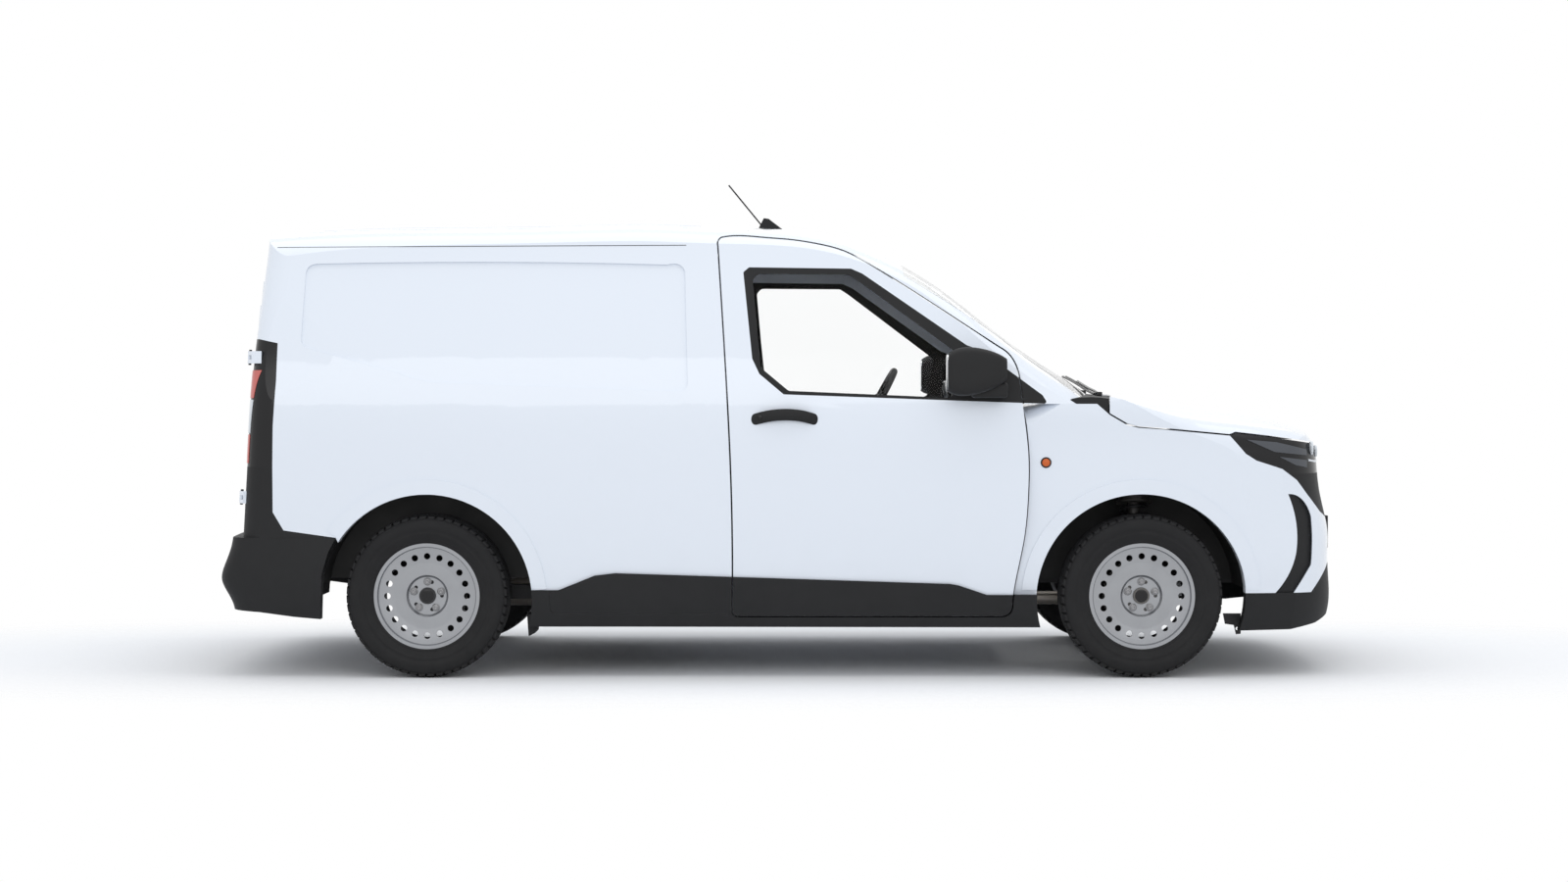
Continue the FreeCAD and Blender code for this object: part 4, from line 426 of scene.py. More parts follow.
@dataclass(frozen=True)
class FloorFinish:
    """Painted floor metal, dark with underseal inside the wheelhouses."""

    name: str
    colour: Colour
    seal: Colour = (0.005, 0.005, 0.0055)
    radius: float = 0.4135
    centre_z: float = 0.2955
    houses: tuple[Spot, Spot] = ((Axle.FRONT.value, 0.468), (Axle.REAR.value, 0.624))

    def house(self, sheet: MaterialSheet, x: float, inner: float) -> Socket:
        """Masks one axle's two wheelhouses.

        Args:
            sheet: The material under construction.
            x: X of the axle.
            inner: Distance of the inner walls from the middle plane.

        Returns:
            A value that is 1 inside the wheelhouses and 0 elsewhere.
        """
        shifted = sheet.vector("SUBTRACT", sheet.place, (x, 0.0, self.centre_z))
        flat = sheet.vector("MULTIPLY", shifted, (1.0, 0.0, 1.0))
        near = sheet.maths("LESS_THAN", sheet.vector("LENGTH", flat), self.radius)
        split = sheet.nodes.new("ShaderNodeSeparateXYZ")
        sheet.links.new(sheet.place, split.inputs[0])
        away = sheet.maths("ABSOLUTE", split.outputs["Y"])
        return sheet.maths("MULTIPLY", near, sheet.maths("GREATER_THAN", away, inner))

    def material(self) -> Material:
        """Builds the floor paint and its underseal.

        Returns:
            The material.
        """
        sheet = MaterialSheet(self.name)
        grain = sheet.effect(grain_group(), Scale=420.0, Patch_Scale=11.0)
        front, rear = (self.house(sheet, x, inner) for x, inner in self.houses)
        sheet.tint(sheet.maths("MAXIMUM", front, rear), self.colour, self.seal)
        sheet.spread(grain.outputs["Patch"], 0.45, 0.7, "Roughness")
        sheet.bump(grain.outputs["Height"], 0.08, 0.0005)
        return sheet.material


@dataclass(frozen=True)
class GlassFinish:
    """Clear or tinted glazing."""

    name: str
    colour: Colour = (0.985, 0.99, 0.99)
    roughness: float = 0.02

    def material(self) -> Material:
        """Builds thin glazing that keeps a plain transmission.

        Returns:
            The material.
        """
        sheet = MaterialSheet(self.name)
        sheet.set(Transmission_Weight=1.0, IOR=1.12, Metallic=0.0)
        film = sheet.effect(film_group(), Low=0.9, High=1.7, Scale=4.0)
        faint = tuple(channel * 0.97 for channel in self.colour)
        sheet.tint(film.outputs["Mask"], self.colour, faint)
        sheet.spread(film.outputs["Mask"], self.roughness, self.roughness + 0.02, "Roughness")
        return sheet.material


@dataclass(frozen=True)
class RubberFinish:
    """Tyre rubber."""

    name: str
    colour: Colour = (0.0085, 0.0085, 0.0095)

    def material(self) -> Material:
        """Builds the rubber with greyish dust low down and a dull sheen.

        Returns:
            The material.
        """
        sheet = MaterialSheet(self.name)
        sheet.set(Specular_IOR_Level=0.3)
        grain = sheet.effect(grain_group(), Scale=500.0, Patch_Scale=16.0)
        film = sheet.effect(film_group(), Low=-0.1, High=0.5, Scale=30.0)
        sheet.tint(film.outputs["Mask"], self.colour, (0.018, 0.0178, 0.0175))
        sheet.spread(grain.outputs["Patch"], 0.62, 0.8, "Roughness")
        sheet.bump(grain.outputs["Height"], 0.2, 0.0006)
        return sheet.material


@dataclass(frozen=True)
class ClothFinish:
    """Seat cloth."""

    name: str
    colour: Colour = (0.03, 0.031, 0.035)

    def material(self) -> Material:
        """Builds the cloth from crossed threads.

        Returns:
            The material.
        """
        sheet = MaterialSheet(self.name)
        sheet.set(Sheen_Weight=0.3, Roughness=0.9)
        weave = sheet.effect(weave_group(), Scale=240.0)
        pale = tuple(channel * 2.2 for channel in self.colour)
        sheet.tint(weave.outputs["Thread"], self.colour, pale)
        sheet.bump(weave.outputs["Height"], 0.4, 0.0008)
        return sheet.material


def both(*names: str) -> tuple[str, ...]:
    """Names of parts that come right and left."""
    return tuple(f"{name}_{side.word}" for name in names for side in Side)


class Finish(Enum):
    """Every finish on the van."""

    WHITE_PAINT = PaintFinish("white_paint", (0.79, 0.835, 0.905))
    DARK_TRIM = PlasticFinish("dark_trim_plastic", (0.0065, 0.0068, 0.0078))
    ARCH_BLACK = PlasticFinish("arch_liner_black", (0.004, 0.004, 0.0045), 0.9)
    GLOSS_BLACK = PlasticFinish("gloss_black", (0.006, 0.006, 0.007), 0.16, 300.0, 0.02)
    CLEAR_GLASS = GlassFinish("window_glazing")
    WHEEL_SILVER = MetalFinish("wheel_silver_paint", (0.36, 0.37, 0.39), 0.36, 0.9, 0.05)
    TYRE_RUBBER = RubberFinish("tyre_rubber")
    CHASSIS_BLACK = MetalFinish("chassis_coating", (0.02, 0.02, 0.022), 0.55, 0.2, 0.1)
    CAST_IRON = MetalFinish("cast_iron", (0.14, 0.135, 0.13), 0.6, 0.9, 0.15)
    ENGINE_ALLOY = MetalFinish("engine_alloy", (0.32, 0.33, 0.34), 0.5, 0.9, 0.15)
    FLOOR_PAINT = FloorFinish("floor_paint", (0.42, 0.44, 0.48))
    CAB_PLASTIC = PlasticFinish("cab_plastic", (0.03, 0.031, 0.034), 0.7, 500.0, 0.4)
    SEAT_CLOTH = ClothFinish("seat_cloth")
    GRIP_LEATHER = PlasticFinish("grip_leather", (0.018, 0.018, 0.019), 0.5, 350.0, 0.5)
    EXHAUST_STEEL = MetalFinish("exhaust_steel", (0.36, 0.33, 0.30), 0.42, 1.0, 0.15)
    BOLT_STEEL = MetalFinish("bolt_steel", (0.30, 0.30, 0.31), 0.35, 0.95, 0.1)
    AMBER_LENS = PlasticFinish("amber_lens", (0.62, 0.12, 0.02), 0.14, 200.0, 0.03)
    RED_LENS = PlasticFinish("red_lens", (0.62, 0.16, 0.14), 0.16, 200.0, 0.05)
    CLEAR_LENS = PlasticFinish("clear_lens", (0.72, 0.75, 0.78), 0.12, 200.0, 0.03)
    LENS_GREY = PlasticFinish("lens_grey", (0.075, 0.08, 0.09), 0.2, 300.0, 0.05)
    MIRROR_SILVER = MetalFinish("mirror_silver", (0.78, 0.80, 0.82), 0.08, 1.0, 0.02)
    PALE_PLASTIC = PlasticFinish("blank_plate", (0.62, 0.63, 0.64), 0.38, 300.0, 0.05)


NODE_FINISHES: dict[Finish, tuple[str, ...]] = {
    Finish.WHITE_PAINT: (
        *both("body_side"),
        "roof_panel",
        *both("fender"),
        "front_bumper",
        *both("door_panel"),
        *both("rear_door_panel"),
        "bonnet",
        "rear_hinge_brackets",
    ),
    Finish.DARK_TRIM: (
        "pillar_trims",
        "cowl_panel",
        "front_bumper_lower",
        "grille",
        "front_plate",
        "rear_bumper",
        "sill_trims",
        "antenna",
        *both("door_trim"),
        "fuel_tank",
    ),
    Finish.ARCH_BLACK: ("arch_liners",),
    Finish.CLEAR_GLASS: ("windscreen", *both("door_glass")),
    Finish.GLOSS_BLACK: ("headlamps", "tail_lamps"),
    Finish.FLOOR_PAINT: ("floor_pan", "bulkhead"),
    Finish.CAB_PLASTIC: ("dashboard",),
    Finish.SEAT_CLOTH: ("seats",),
    Finish.CHASSIS_BLACK: ("rear_axle_beam", "front_subframe"),
    Finish.ENGINE_ALLOY: ("engine_block", "radiator"),
    Finish.EXHAUST_STEEL: ("exhaust",),
    Finish.CAST_IRON: both("knuckle"),
    Finish.GRIP_LEATHER: ("steering_wheel",),
    Finish.WHEEL_SILVER: both("wheel_front", "wheel_rear"),
    Finish.TYRE_RUBBER: both("tyre_front", "tyre_rear"),
}


class FinishShop:
    """Makes each finish once and hands out its material."""

    def __init__(self) -> None:
        """Starts with nothing made."""
        self.made: dict[Finish, Material] = {}

    def get(self, finish: Finish) -> Material:
        """Builds a finish at its first use.

        Args:
            finish: The finish.

        Returns:
            Its material.
        """
        if finish not in self.made:
            self.made[finish] = finish.value.material()
        return self.made[finish]

    def dress(self, node: Piece, finish: Finish) -> None:
        """Gives a part or a piece its finish."""
        node.data.materials.clear()
        node.data.materials.append(self.get(finish))


# Modelling helpers

ORIGIN: Point = (0.0, 0.0, 0.0)
UNSCALED: Point = (1.0, 1.0, 1.0)
UPRIGHT: Point = (math.pi / 2, 0.0, 0.0)
LENGTHWAYS: Point = (0.0, math.pi / 2, 0.0)
FORWARD: Point = (1.0, 0.0, 0.0)
BACKWARD: Point = (-1.0, 0.0, 0.0)
UPWARD: Point = (0.0, 0.0, 1.0)
DOWNWARD: Point = (0.0, 0.0, -1.0)
MIRROR_Y = Matrix.Scale(-1.0, 4, (0.0, 1.0, 0.0))


class Bench:
    """Primitives and edit-mode operators, with every selection made in code."""

    @staticmethod
    def deselect() -> None:
        """Deselects every object."""
        bpy.ops.object.select_all(action="DESELECT")

    @staticmethod
    def activate(piece: Piece) -> None:
        """Makes a piece the only selected and the active object.

        Args:
            piece: The piece.
        """
        Bench.deselect()
        piece.select_set(True)
        bpy.context.view_layer.objects.active = piece

    @staticmethod
    def settle(piece: Piece) -> None:
        """Puts a piece's place, turn and scale into its mesh."""
        Bench.activate(piece)
        bpy.ops.object.transform_apply(location=True, rotation=True, scale=True)

    @staticmethod
    def placed(scale: Point, turn: Point = ORIGIN) -> Piece:
        """Scales and turns the new primitive about its own centre, in its mesh.

        Args:
            scale: Scale along X, Y and Z.
            turn: Turn about X, Y and Z.

        Returns:
            The primitive.
        """
        piece = bpy.context.active_object
        piece.scale = scale
        piece.rotation_euler = turn
        bpy.ops.object.transform_apply(location=True, rotation=True, scale=True)
        return piece

    @staticmethod
    def block(middle: Point, span: Point, turn: Point = ORIGIN) -> Piece:
        """Adds a box.

        Args:
            middle: Its middle.
            span: Its spans before its turn.
            turn: Its turn.

        Returns:
            The box.
        """
        Bench.deselect()
        bpy.ops.mesh.primitive_cube_add(size=1.0, location=middle)
        return Bench.placed(span, turn)

    @staticmethod
    def drum(
        middle: Point, radius: float, length: float, turn: Point = ORIGIN, sides: int = 32
    ) -> Piece:
        """Adds a cylinder.

        Args:
            middle: Its middle.
            radius: Its radius.
            length: Its length along Z, before its turn.
            turn: Its turn.
            sides: Number of its sides.

        Returns:
            The cylinder.
        """
        Bench.deselect()
        bpy.ops.mesh.primitive_cylinder_add(
            vertices=sides, radius=radius, depth=length, location=middle
        )
        return Bench.placed(UNSCALED, turn)

    @staticmethod
    def ring(
        middle: Point, major: float, minor: float, turn: Point = ORIGIN, sides: int = 48
    ) -> Piece:
        """Adds a torus.

        Args:
            middle: Its middle.
            major: Radius of the ring's middle line.
            minor: Radius of its section.
            turn: Its turn; its own axis is Z before that.
            sides: Number of its sides.

        Returns:
            The torus.
        """
        Bench.deselect()
        bpy.ops.mesh.primitive_torus_add(
            major_radius=major,
            minor_radius=minor,
            major_segments=sides,
            minor_segments=12,
            location=middle,
        )
        return Bench.placed(UNSCALED, turn)

    @staticmethod
    def dome(middle: Point, radii: Point, sides: int = 32) -> Piece:
        """Adds a ball stretched to three radii.

        Args:
            middle: Its middle.
            radii: Its radii along X, Y and Z.
            sides: Number of its sides.

        Returns:
            The stretched ball.
        """
        Bench.deselect()
        bpy.ops.mesh.primitive_uv_sphere_add(
            segments=sides, ring_count=sides // 2, radius=1.0, location=middle
        )
        return Bench.placed(radii)

    @staticmethod
    def grid(
        middle: Point, span: Spot, counts: tuple[int, int], turn: Point = ORIGIN
    ) -> Piece:
        """Adds a flat grid.

        Args:
            middle: Its middle.
            span: Its spans along X and Y, before its turn.
            counts: Number of its cells each way.
            turn: Its turn.

        Returns:
            The grid.
        """
        Bench.deselect()
        bpy.ops.mesh.primitive_grid_add(
            x_subdivisions=counts[0], y_subdivisions=counts[1], size=1.0, location=middle
        )
        return Bench.placed((*span, 1.0), turn)

    @staticmethod
    def select(
        piece: Piece, kind: str, chosen: Callable[[Vector, Vector], bool]
    ) -> None:
        """Selects a piece's faces, edges or corners in edit mode.

        Args:
            piece: The piece in edit mode.
            kind: FACE, EDGE or VERT.
            chosen: Says whether a middle and a normal, or an edge's run, are wanted.
        """
        bpy.ops.mesh.select_mode(type=kind)
        bpy.ops.mesh.select_all(action="DESELECT")
        mesh = bmesh.from_edit_mesh(piece.data)
        if kind == "FACE":
            for face in mesh.faces:
                face.select_set(chosen(face.calc_center_median(), face.normal))
        elif kind == "EDGE":
            for edge in mesh.edges:
                start, end = (corner.co for corner in edge.verts)
                edge.select_set(chosen((start + end) / 2, end - start))
        else:
            for corner in mesh.verts:
                corner.select_set(chosen(corner.co, corner.normal))
        mesh.select_flush_mode()
        bmesh.update_edit_mesh(piece.data)

    @staticmethod
    def facing(piece: Piece, way: Point) -> None:
        """Selects the faces that look one way, in edit mode."""
        Bench.select(piece, "FACE", lambda middle, normal: normal.dot(Vector(way)) > 0.9)

    @staticmethod
    def edit(piece: Piece) -> None:
        """Enters edit mode on a piece with all of it selected.

        Args:
            piece: The piece.
        """
        Bench.activate(piece)
        bpy.ops.object.mode_set(mode="EDIT")
        bpy.ops.mesh.select_all(action="SELECT")

    @staticmethod
    def done() -> None:
        """Leaves edit mode."""
        bpy.ops.object.mode_set(mode="OBJECT")

    @staticmethod
    def dish(piece: Piece, way: Point, rims: Iterable[Spot]) -> None:
        """Sinks or raises the face that looks one way, inside a rim.

        Args:
            piece: The piece.
            way: Direction in which the face looks.
            rims: Width of each rim, and how far the face inside it then moves that way.
        """
        Bench.edit(piece)
        Bench.facing(piece, way)
        for width, step in rims:
            bpy.ops.mesh.inset(thickness=width)
            move = tuple(Vector(way) * step)
            bpy.ops.mesh.extrude_region_move(TRANSFORM_OT_translate={"value": move})
        Bench.done()

    @staticmethod
    def taper(piece: Piece, way: Point, scale: Point) -> None:
        """Narrows a piece towards the face that looks one way.

        Args:
            piece: The piece.
            way: Direction in which the face looks.
            scale: Scale of the face along X, Y and Z.
        """
        Bench.edit(piece)
        Bench.facing(piece, way)
        bpy.ops.transform.resize(value=scale)
        Bench.done()

    @staticmethod
    def turned(piece: Piece, angle: float, axis: str) -> None:
        """Turns a piece's mesh about the origin.

        Args:
            piece: The piece.
            angle: The angle as the operator takes it, which turns the other way round.
            axis: X, Y or Z.
        """
        Bench.edit(piece)
        bpy.ops.transform.rotate(value=angle, orient_axis=axis, center_override=ORIGIN)
        Bench.done()

    @staticmethod
    def trim(piece: Piece, point: Point, normal: Point, fill: bool = True) -> None:
        """Cuts away what lies on one side of a plane.

        Args:
            piece: The piece.
            point: A point of the plane.
            normal: The plane's normal, on the side that goes.
            fill: Whether the cut is closed.
        """
        Bench.edit(piece)
        bpy.ops.mesh.bisect(plane_co=point, plane_no=normal, use_fill=fill, clear_outer=True)
        Bench.done()

    @staticmethod
    def modify(piece: Piece, kind: str, **settings: object) -> Piece:
        """Adds a modifier and applies it at once.

        Args:
            piece: The piece.
            kind: Type of the modifier.
            **settings: Its settings.

        Returns:
            The piece.
        """
        Bench.activate(piece)
        modifier = piece.modifiers.new(kind.lower(), kind)
        for label, value in settings.items():
            setattr(modifier, label, value)
        bpy.ops.object.modifier_apply(modifier=modifier.name)
        return piece

    @staticmethod
    def soften(piece: Piece, width: float, segments: int = 2) -> Piece:
        """Bevels every sharp edge of a piece.

        Args:
            piece: The piece.
            width: Width of the bevel.
            segments: Its segments.

        Returns:
            The piece.
        """
        return Bench.modify(
            piece, "BEVEL", width=width, segments=segments, limit_method="ANGLE", angle_limit=0.6
        )

    @staticmethod
    def copied(piece: Piece, matrix: Matrix) -> Piece:
        """Copies a piece with a mesh of its own and moves the copy's mesh.

        Args:
            piece: The piece.
            matrix: Where the copy goes; a mirror turns its faces right again.

        Returns:
            The copy.
        """
        twin = piece.copy()
        twin.data = piece.data.copy()
        bpy.context.scene.collection.objects.link(twin)
        twin.data.transform(matrix)
        if matrix.determinant() < 0:
            Bench.edit(twin)
            bpy.ops.mesh.flip_normals()
            Bench.done()
        return twin

    @staticmethod
    def joined(pieces: list[Piece]) -> Piece:
        """Joins pieces into the first.

        Args:
            pieces: One piece or more.

        Returns:
            The joined piece.
        """
        Bench.activate(pieces[0])
        for piece in pieces[1:]:
            piece.select_set(True)
        if len(pieces) > 1:
            bpy.ops.object.join()
        return bpy.context.active_object

    @staticmethod
    def wheel_of(piece: Piece, count: int, axis: str, hub: Point) -> list[Piece]:
        """Replaces a piece by copies of it, evenly round a hub.

        Args:
            piece: The piece, which is deleted.
            count: Number of copies.
            axis: Axis of the hub, X, Y or Z.
            hub: A point on the axis.

        Returns:
            The copies.
        """
        place = Matrix.Translation(hub)
        copies = []
        for index in range(count):
            turn = Matrix.Rotation(math.tau * index / count, 4, axis)
            copies.append(Bench.copied(piece, place @ turn @ place.inverted()))
        bpy.data.objects.remove(piece)
        return copies

    @staticmethod
    def drawn(points: list[Point]) -> Piece:
        """Draws a line from corner to corner and stays in edit mode, all selected.

        Args:
            points: Its corners.

        Returns:
            The line.
        """
        Bench.deselect()
        bpy.ops.mesh.primitive_plane_add(size=0.01, location=points[0])
        piece = Bench.placed(UNSCALED)
        Bench.edit(piece)
        bpy.ops.mesh.merge(type="CENTER")
        bpy.ops.mesh.select_mode(type="VERT")
        bpy.ops.mesh.select_all(action="SELECT")
        for before, after in zip(points, points[1:]):
            step = tuple(end - start for start, end in zip(before, after))
            bpy.ops.mesh.extrude_region_move(TRANSFORM_OT_translate={"value": step})
        bpy.ops.mesh.select_all(action="SELECT")
        return piece

    @staticmethod
    def spun(profile: Iterable[Spot], centre: Point, steps: int) -> Piece:
        """Turns a profile about an axis along Y.

        Args:
            profile: Its points, as radius and offset along Y.
            centre: The point of the axis from which the offsets are taken.
            steps: Steps of the full turn.

        Returns:
            The turned piece.
        """
        x, y, z = centre
        piece = Bench.drawn([(x, y + across, z + radius) for radius, across in profile])
        bpy.ops.mesh.spin(
            steps=steps, angle=math.tau, center=centre, axis=(0.0, 1.0, 0.0), use_auto_merge=True
        )
        bpy.ops.mesh.select_all(action="SELECT")
        bpy.ops.mesh.remove_doubles(threshold=0.00002)
        bpy.ops.mesh.normals_make_consistent(inside=False)
        Bench.done()
        return piece

    @staticmethod
    def slab(outline: Iterable[Spot], y: float, depth: float) -> Piece:
        """Draws a closed outline seen from the side and thickens it.

        Args:
            outline: Its corners, as X and Z.
            y: Y of the outline.
            depth: How far it is thickened along Y.

        Returns:
            The plate.
        """
        piece = Bench.drawn([(x, y, z) for x, z in outline])
        bpy.ops.mesh.edge_face_add()
        bpy.ops.mesh.extrude_region_move(TRANSFORM_OT_translate={"value": (0.0, depth, 0.0)})
        bpy.ops.mesh.select_all(action="SELECT")
        bpy.ops.mesh.normals_make_consistent(inside=False)
        Bench.done()
        return piece

    @staticmethod
    def tube(points: Iterable[Point], radius: float, sides: int = 4) -> Piece:
        """Runs a round bar through points, as a curve that is turned into a mesh.

        Args:
            points: Its points; two give a straight bar.
            radius: Its radius.
            sides: Resolution of its round section.

        Returns:
            The bar.
        """
        points = list(points)
        Bench.deselect()
        bpy.ops.curve.primitive_nurbs_path_add()
        bar = bpy.context.active_object
        curve = bar.data
        curve.splines.clear()
        spline = curve.splines.new("POLY" if len(points) == 2 else "NURBS")
        spline.points.add(len(points) - 1)
        for slot, point in zip(spline.points, points):
            slot.co = (*point, 1.0)
        if len(points) > 2:
            spline.use_endpoint_u = True
            spline.order_u = 3
        curve.dimensions = "3D"
        bar.location = ORIGIN
        curve.bevel_depth = radius
        curve.bevel_resolution = sides
        curve.use_fill_caps = True
        bpy.ops.object.convert(target="MESH")
        return bpy.context.active_object

    @staticmethod
    def side_sheet(side: Side, corners: list[Spot], cell: float) -> Piece:
        """Cuts an outline seen from the side out of a fine grid beside the van.

        Args:
            side: Side of the van on which it lies.
            corners: The outline's corners, as X and Z, without a hollow.
            cell: Size of a grid cell.

        Returns:
            The flat sheet.
        """
        low_x, high_x = (pick(x for x, _ in corners) for pick in (min, max))
        low_z, high_z = (pick(z for _, z in corners) for pick in (min, max))
        span = (high_x - low_x, high_z - low_z)
        piece = Bench.grid(
            ((low_x + high_x) / 2, side.value * 1.3, (low_z + high_z) / 2),
            span,
            tuple(max(2, round(length / cell)) for length in span),
            (-side.value * math.pi / 2, 0.0, 0.0),
        )
        centre_x = sum(x for x, _ in corners) / len(corners)
        centre_z = sum(z for _, z in corners) / len(corners)
        for (x0, z0), (x1, z1) in zip(corners, corners[1:] + corners[:1]):
            normal = Vector((z1 - z0, 0.0, x0 - x1)).normalized()
            if normal.dot(Vector((x0 - centre_x, 0.0, z0 - centre_z))) < 0:
                normal = -normal
            Bench.trim(piece, (x0, 0.0, z0), tuple(normal), fill=False)
        return piece

    @staticmethod
    def rear_sheet(side: Side, across: Spot, height: Spot, cell: float) -> Piece:
        """Adds a fine upright grid behind the van.

        Args:
            side: Side of the van on which it lies.
            across: Its inner and outer distance from the middle plane.
            height: Its low and high Z.
            cell: Size of a grid cell.

        Returns:
            The flat sheet.
        """
        span = (height[1] - height[0], across[1] - across[0])
        return Bench.grid(
            (-2.4, side.value * sum(across) / 2, sum(height) / 2),
            span,
            tuple(max(2, round(length / cell)) for length in span),
            (0.0, -math.pi / 2, 0.0),
        )


@dataclass(frozen=True)
class Moulding:
    """Sizes of a block with rounded edges and, where it has rims, one dished face."""

    middle: Point
    span: Point
    rounding: float
    segments: int = 3
    lean: float = 0.0
    way: Point = UPWARD
    rims: tuple[Spot, ...] = ()

    def build(self, anchor: Point = ORIGIN, out: float = 1.0) -> Piece:
        """Shapes the block.

        Args:
            anchor: The point from which its middle is taken.
            out: -1 where its Y is mirrored.

        Returns:
            The block.
        """
        x, y, z = self.middle
        place = (anchor[0] + x, anchor[1] + out * y, anchor[2] + z)
        block = Bench.block(place, self.span, (0.0, math.radians(self.lean), 0.0))
        if self.rims:
            Bench.dish(block, (self.way[0], out * self.way[1], self.way[2]), self.rims)
        return Bench.soften(block, self.rounding, self.segments)


class Fitter:
    """Finishes pieces and rides them on their bodies."""

    def __init__(self, nodes: dict[str, Piece], shop: FinishShop) -> None:
        """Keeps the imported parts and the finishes.

        Args:
            nodes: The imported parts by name.
            shop: The finishes.
        """
        self.nodes = nodes
        self.shop = shop
        self.count = 0

    def ride(
        self,
        piece: Piece,
        name: str,
        finish: Finish,
        angle: float = 40.0,
        body: str = "van_body",
    ) -> None:
        """Names, dresses and smooths a piece and attaches it to a body.

        Args:
            piece: The finished shape.
            name: Its name.
            finish: Its finish.
            angle: Smoothing angle in degrees.
            body: The body that carries it.
        """
        piece.name = name
        piece.data.name = name
        Bench.settle(piece)
        self.shop.dress(piece, finish)
        bpy.ops.object.shade_smooth_by_angle(angle=math.radians(angle))
        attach(piece, body)
        self.count += 1
        log.info("piece %s on %s: %d faces", name, body, len(piece.data.polygons))

    def met(self, names: Iterable[str], start: Point, way: Point) -> list[Vector]:
        """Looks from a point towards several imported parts.

        Args:
            names: The parts.
            start: The point.
            way: Direction of the look.

        Returns:
            The first point of each part that is met.
        """
        rays = (self.nodes[name].ray_cast(Vector(start), Vector(way)) for name in names)
        return [place for found, place, _, _ in rays if found]

    def reach(self, node: str, start: Point, way: Point) -> Vector:
        """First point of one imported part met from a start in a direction."""
        return self.met((node,), start, way)[0]

    def skin(self, names: Iterable[str], x: float, z: float, side: Side) -> float:
        """Outermost Y of several parts at a place seen from the side."""
        found = self.met(names, (x, side.value * 1.5, z), (0.0, -side.value, 0.0))
        return max((place.y for place in found), key=abs)

    def seam(self, names: Iterable[str], spots: Iterable[Spot], side: Side) -> Piece:
        """Lays a thin round bar, half sunk, along a side.

        Args:
            names: Parts of that side.
            spots: Points of the bar, as X and Z.
            side: The side.

        Returns:
            The bar.
        """
        points = [(x, self.skin(names, x, z, side), z) for x, z in spots]
        return Bench.tube(points, 0.0013, 2)

    def laid(
        self,
        sheet: Piece,
        form: Piece,
        axis: str,
        lift: float,
        thickness: float,
        bevel: float = 0.0,
    ) -> None:
        """Drops a flat sheet onto a form, thickens what met it and rounds its rim.

        Args:
            sheet: The flat sheet.
            form: The form.
            axis: Axis along which it drops.
            lift: Height of its middle over the form.
            thickness: Its thickness.
            bevel: Rounding of its rim.
        """
        way = "XYZ".index(axis)
        level = sheet.data.vertices[0].co[way]
        Bench.modify(
            sheet,
            "SHRINKWRAP",
            target=form,
            wrap_method="PROJECT",
            use_project_x=axis == "X",
            use_project_y=axis == "Y",
            use_project_z=axis == "Z",
            use_negative_direction=True,
            use_positive_direction=True,
            offset=lift,
        )
        Bench.edit(sheet)
        Bench.select(sheet, "VERT", lambda place, normal: abs(place[way] - level) < 0.0001)
        bpy.ops.mesh.delete(type="VERT")
        Bench.done()
        Bench.modify(sheet, "SOLIDIFY", thickness=thickness, offset=0.0)
        if bevel:
            Bench.soften(sheet, bevel)


# Wheels

AXLE_HEIGHT = 0.3075
WHEEL_Y = 0.775


def wheel_places() -> list[tuple[str, Side, Matrix]]:
    """Lists the road wheels.

    Returns:
        Name, side and place of each.
    """
    places = []
    for axle in Axle:
        for side in Side:
            place = Matrix.Translation((axle.value, side.value * WHEEL_Y, AXLE_HEIGHT))
            places.append((f"{axle.word}_{side.word}", side, place))
    return places


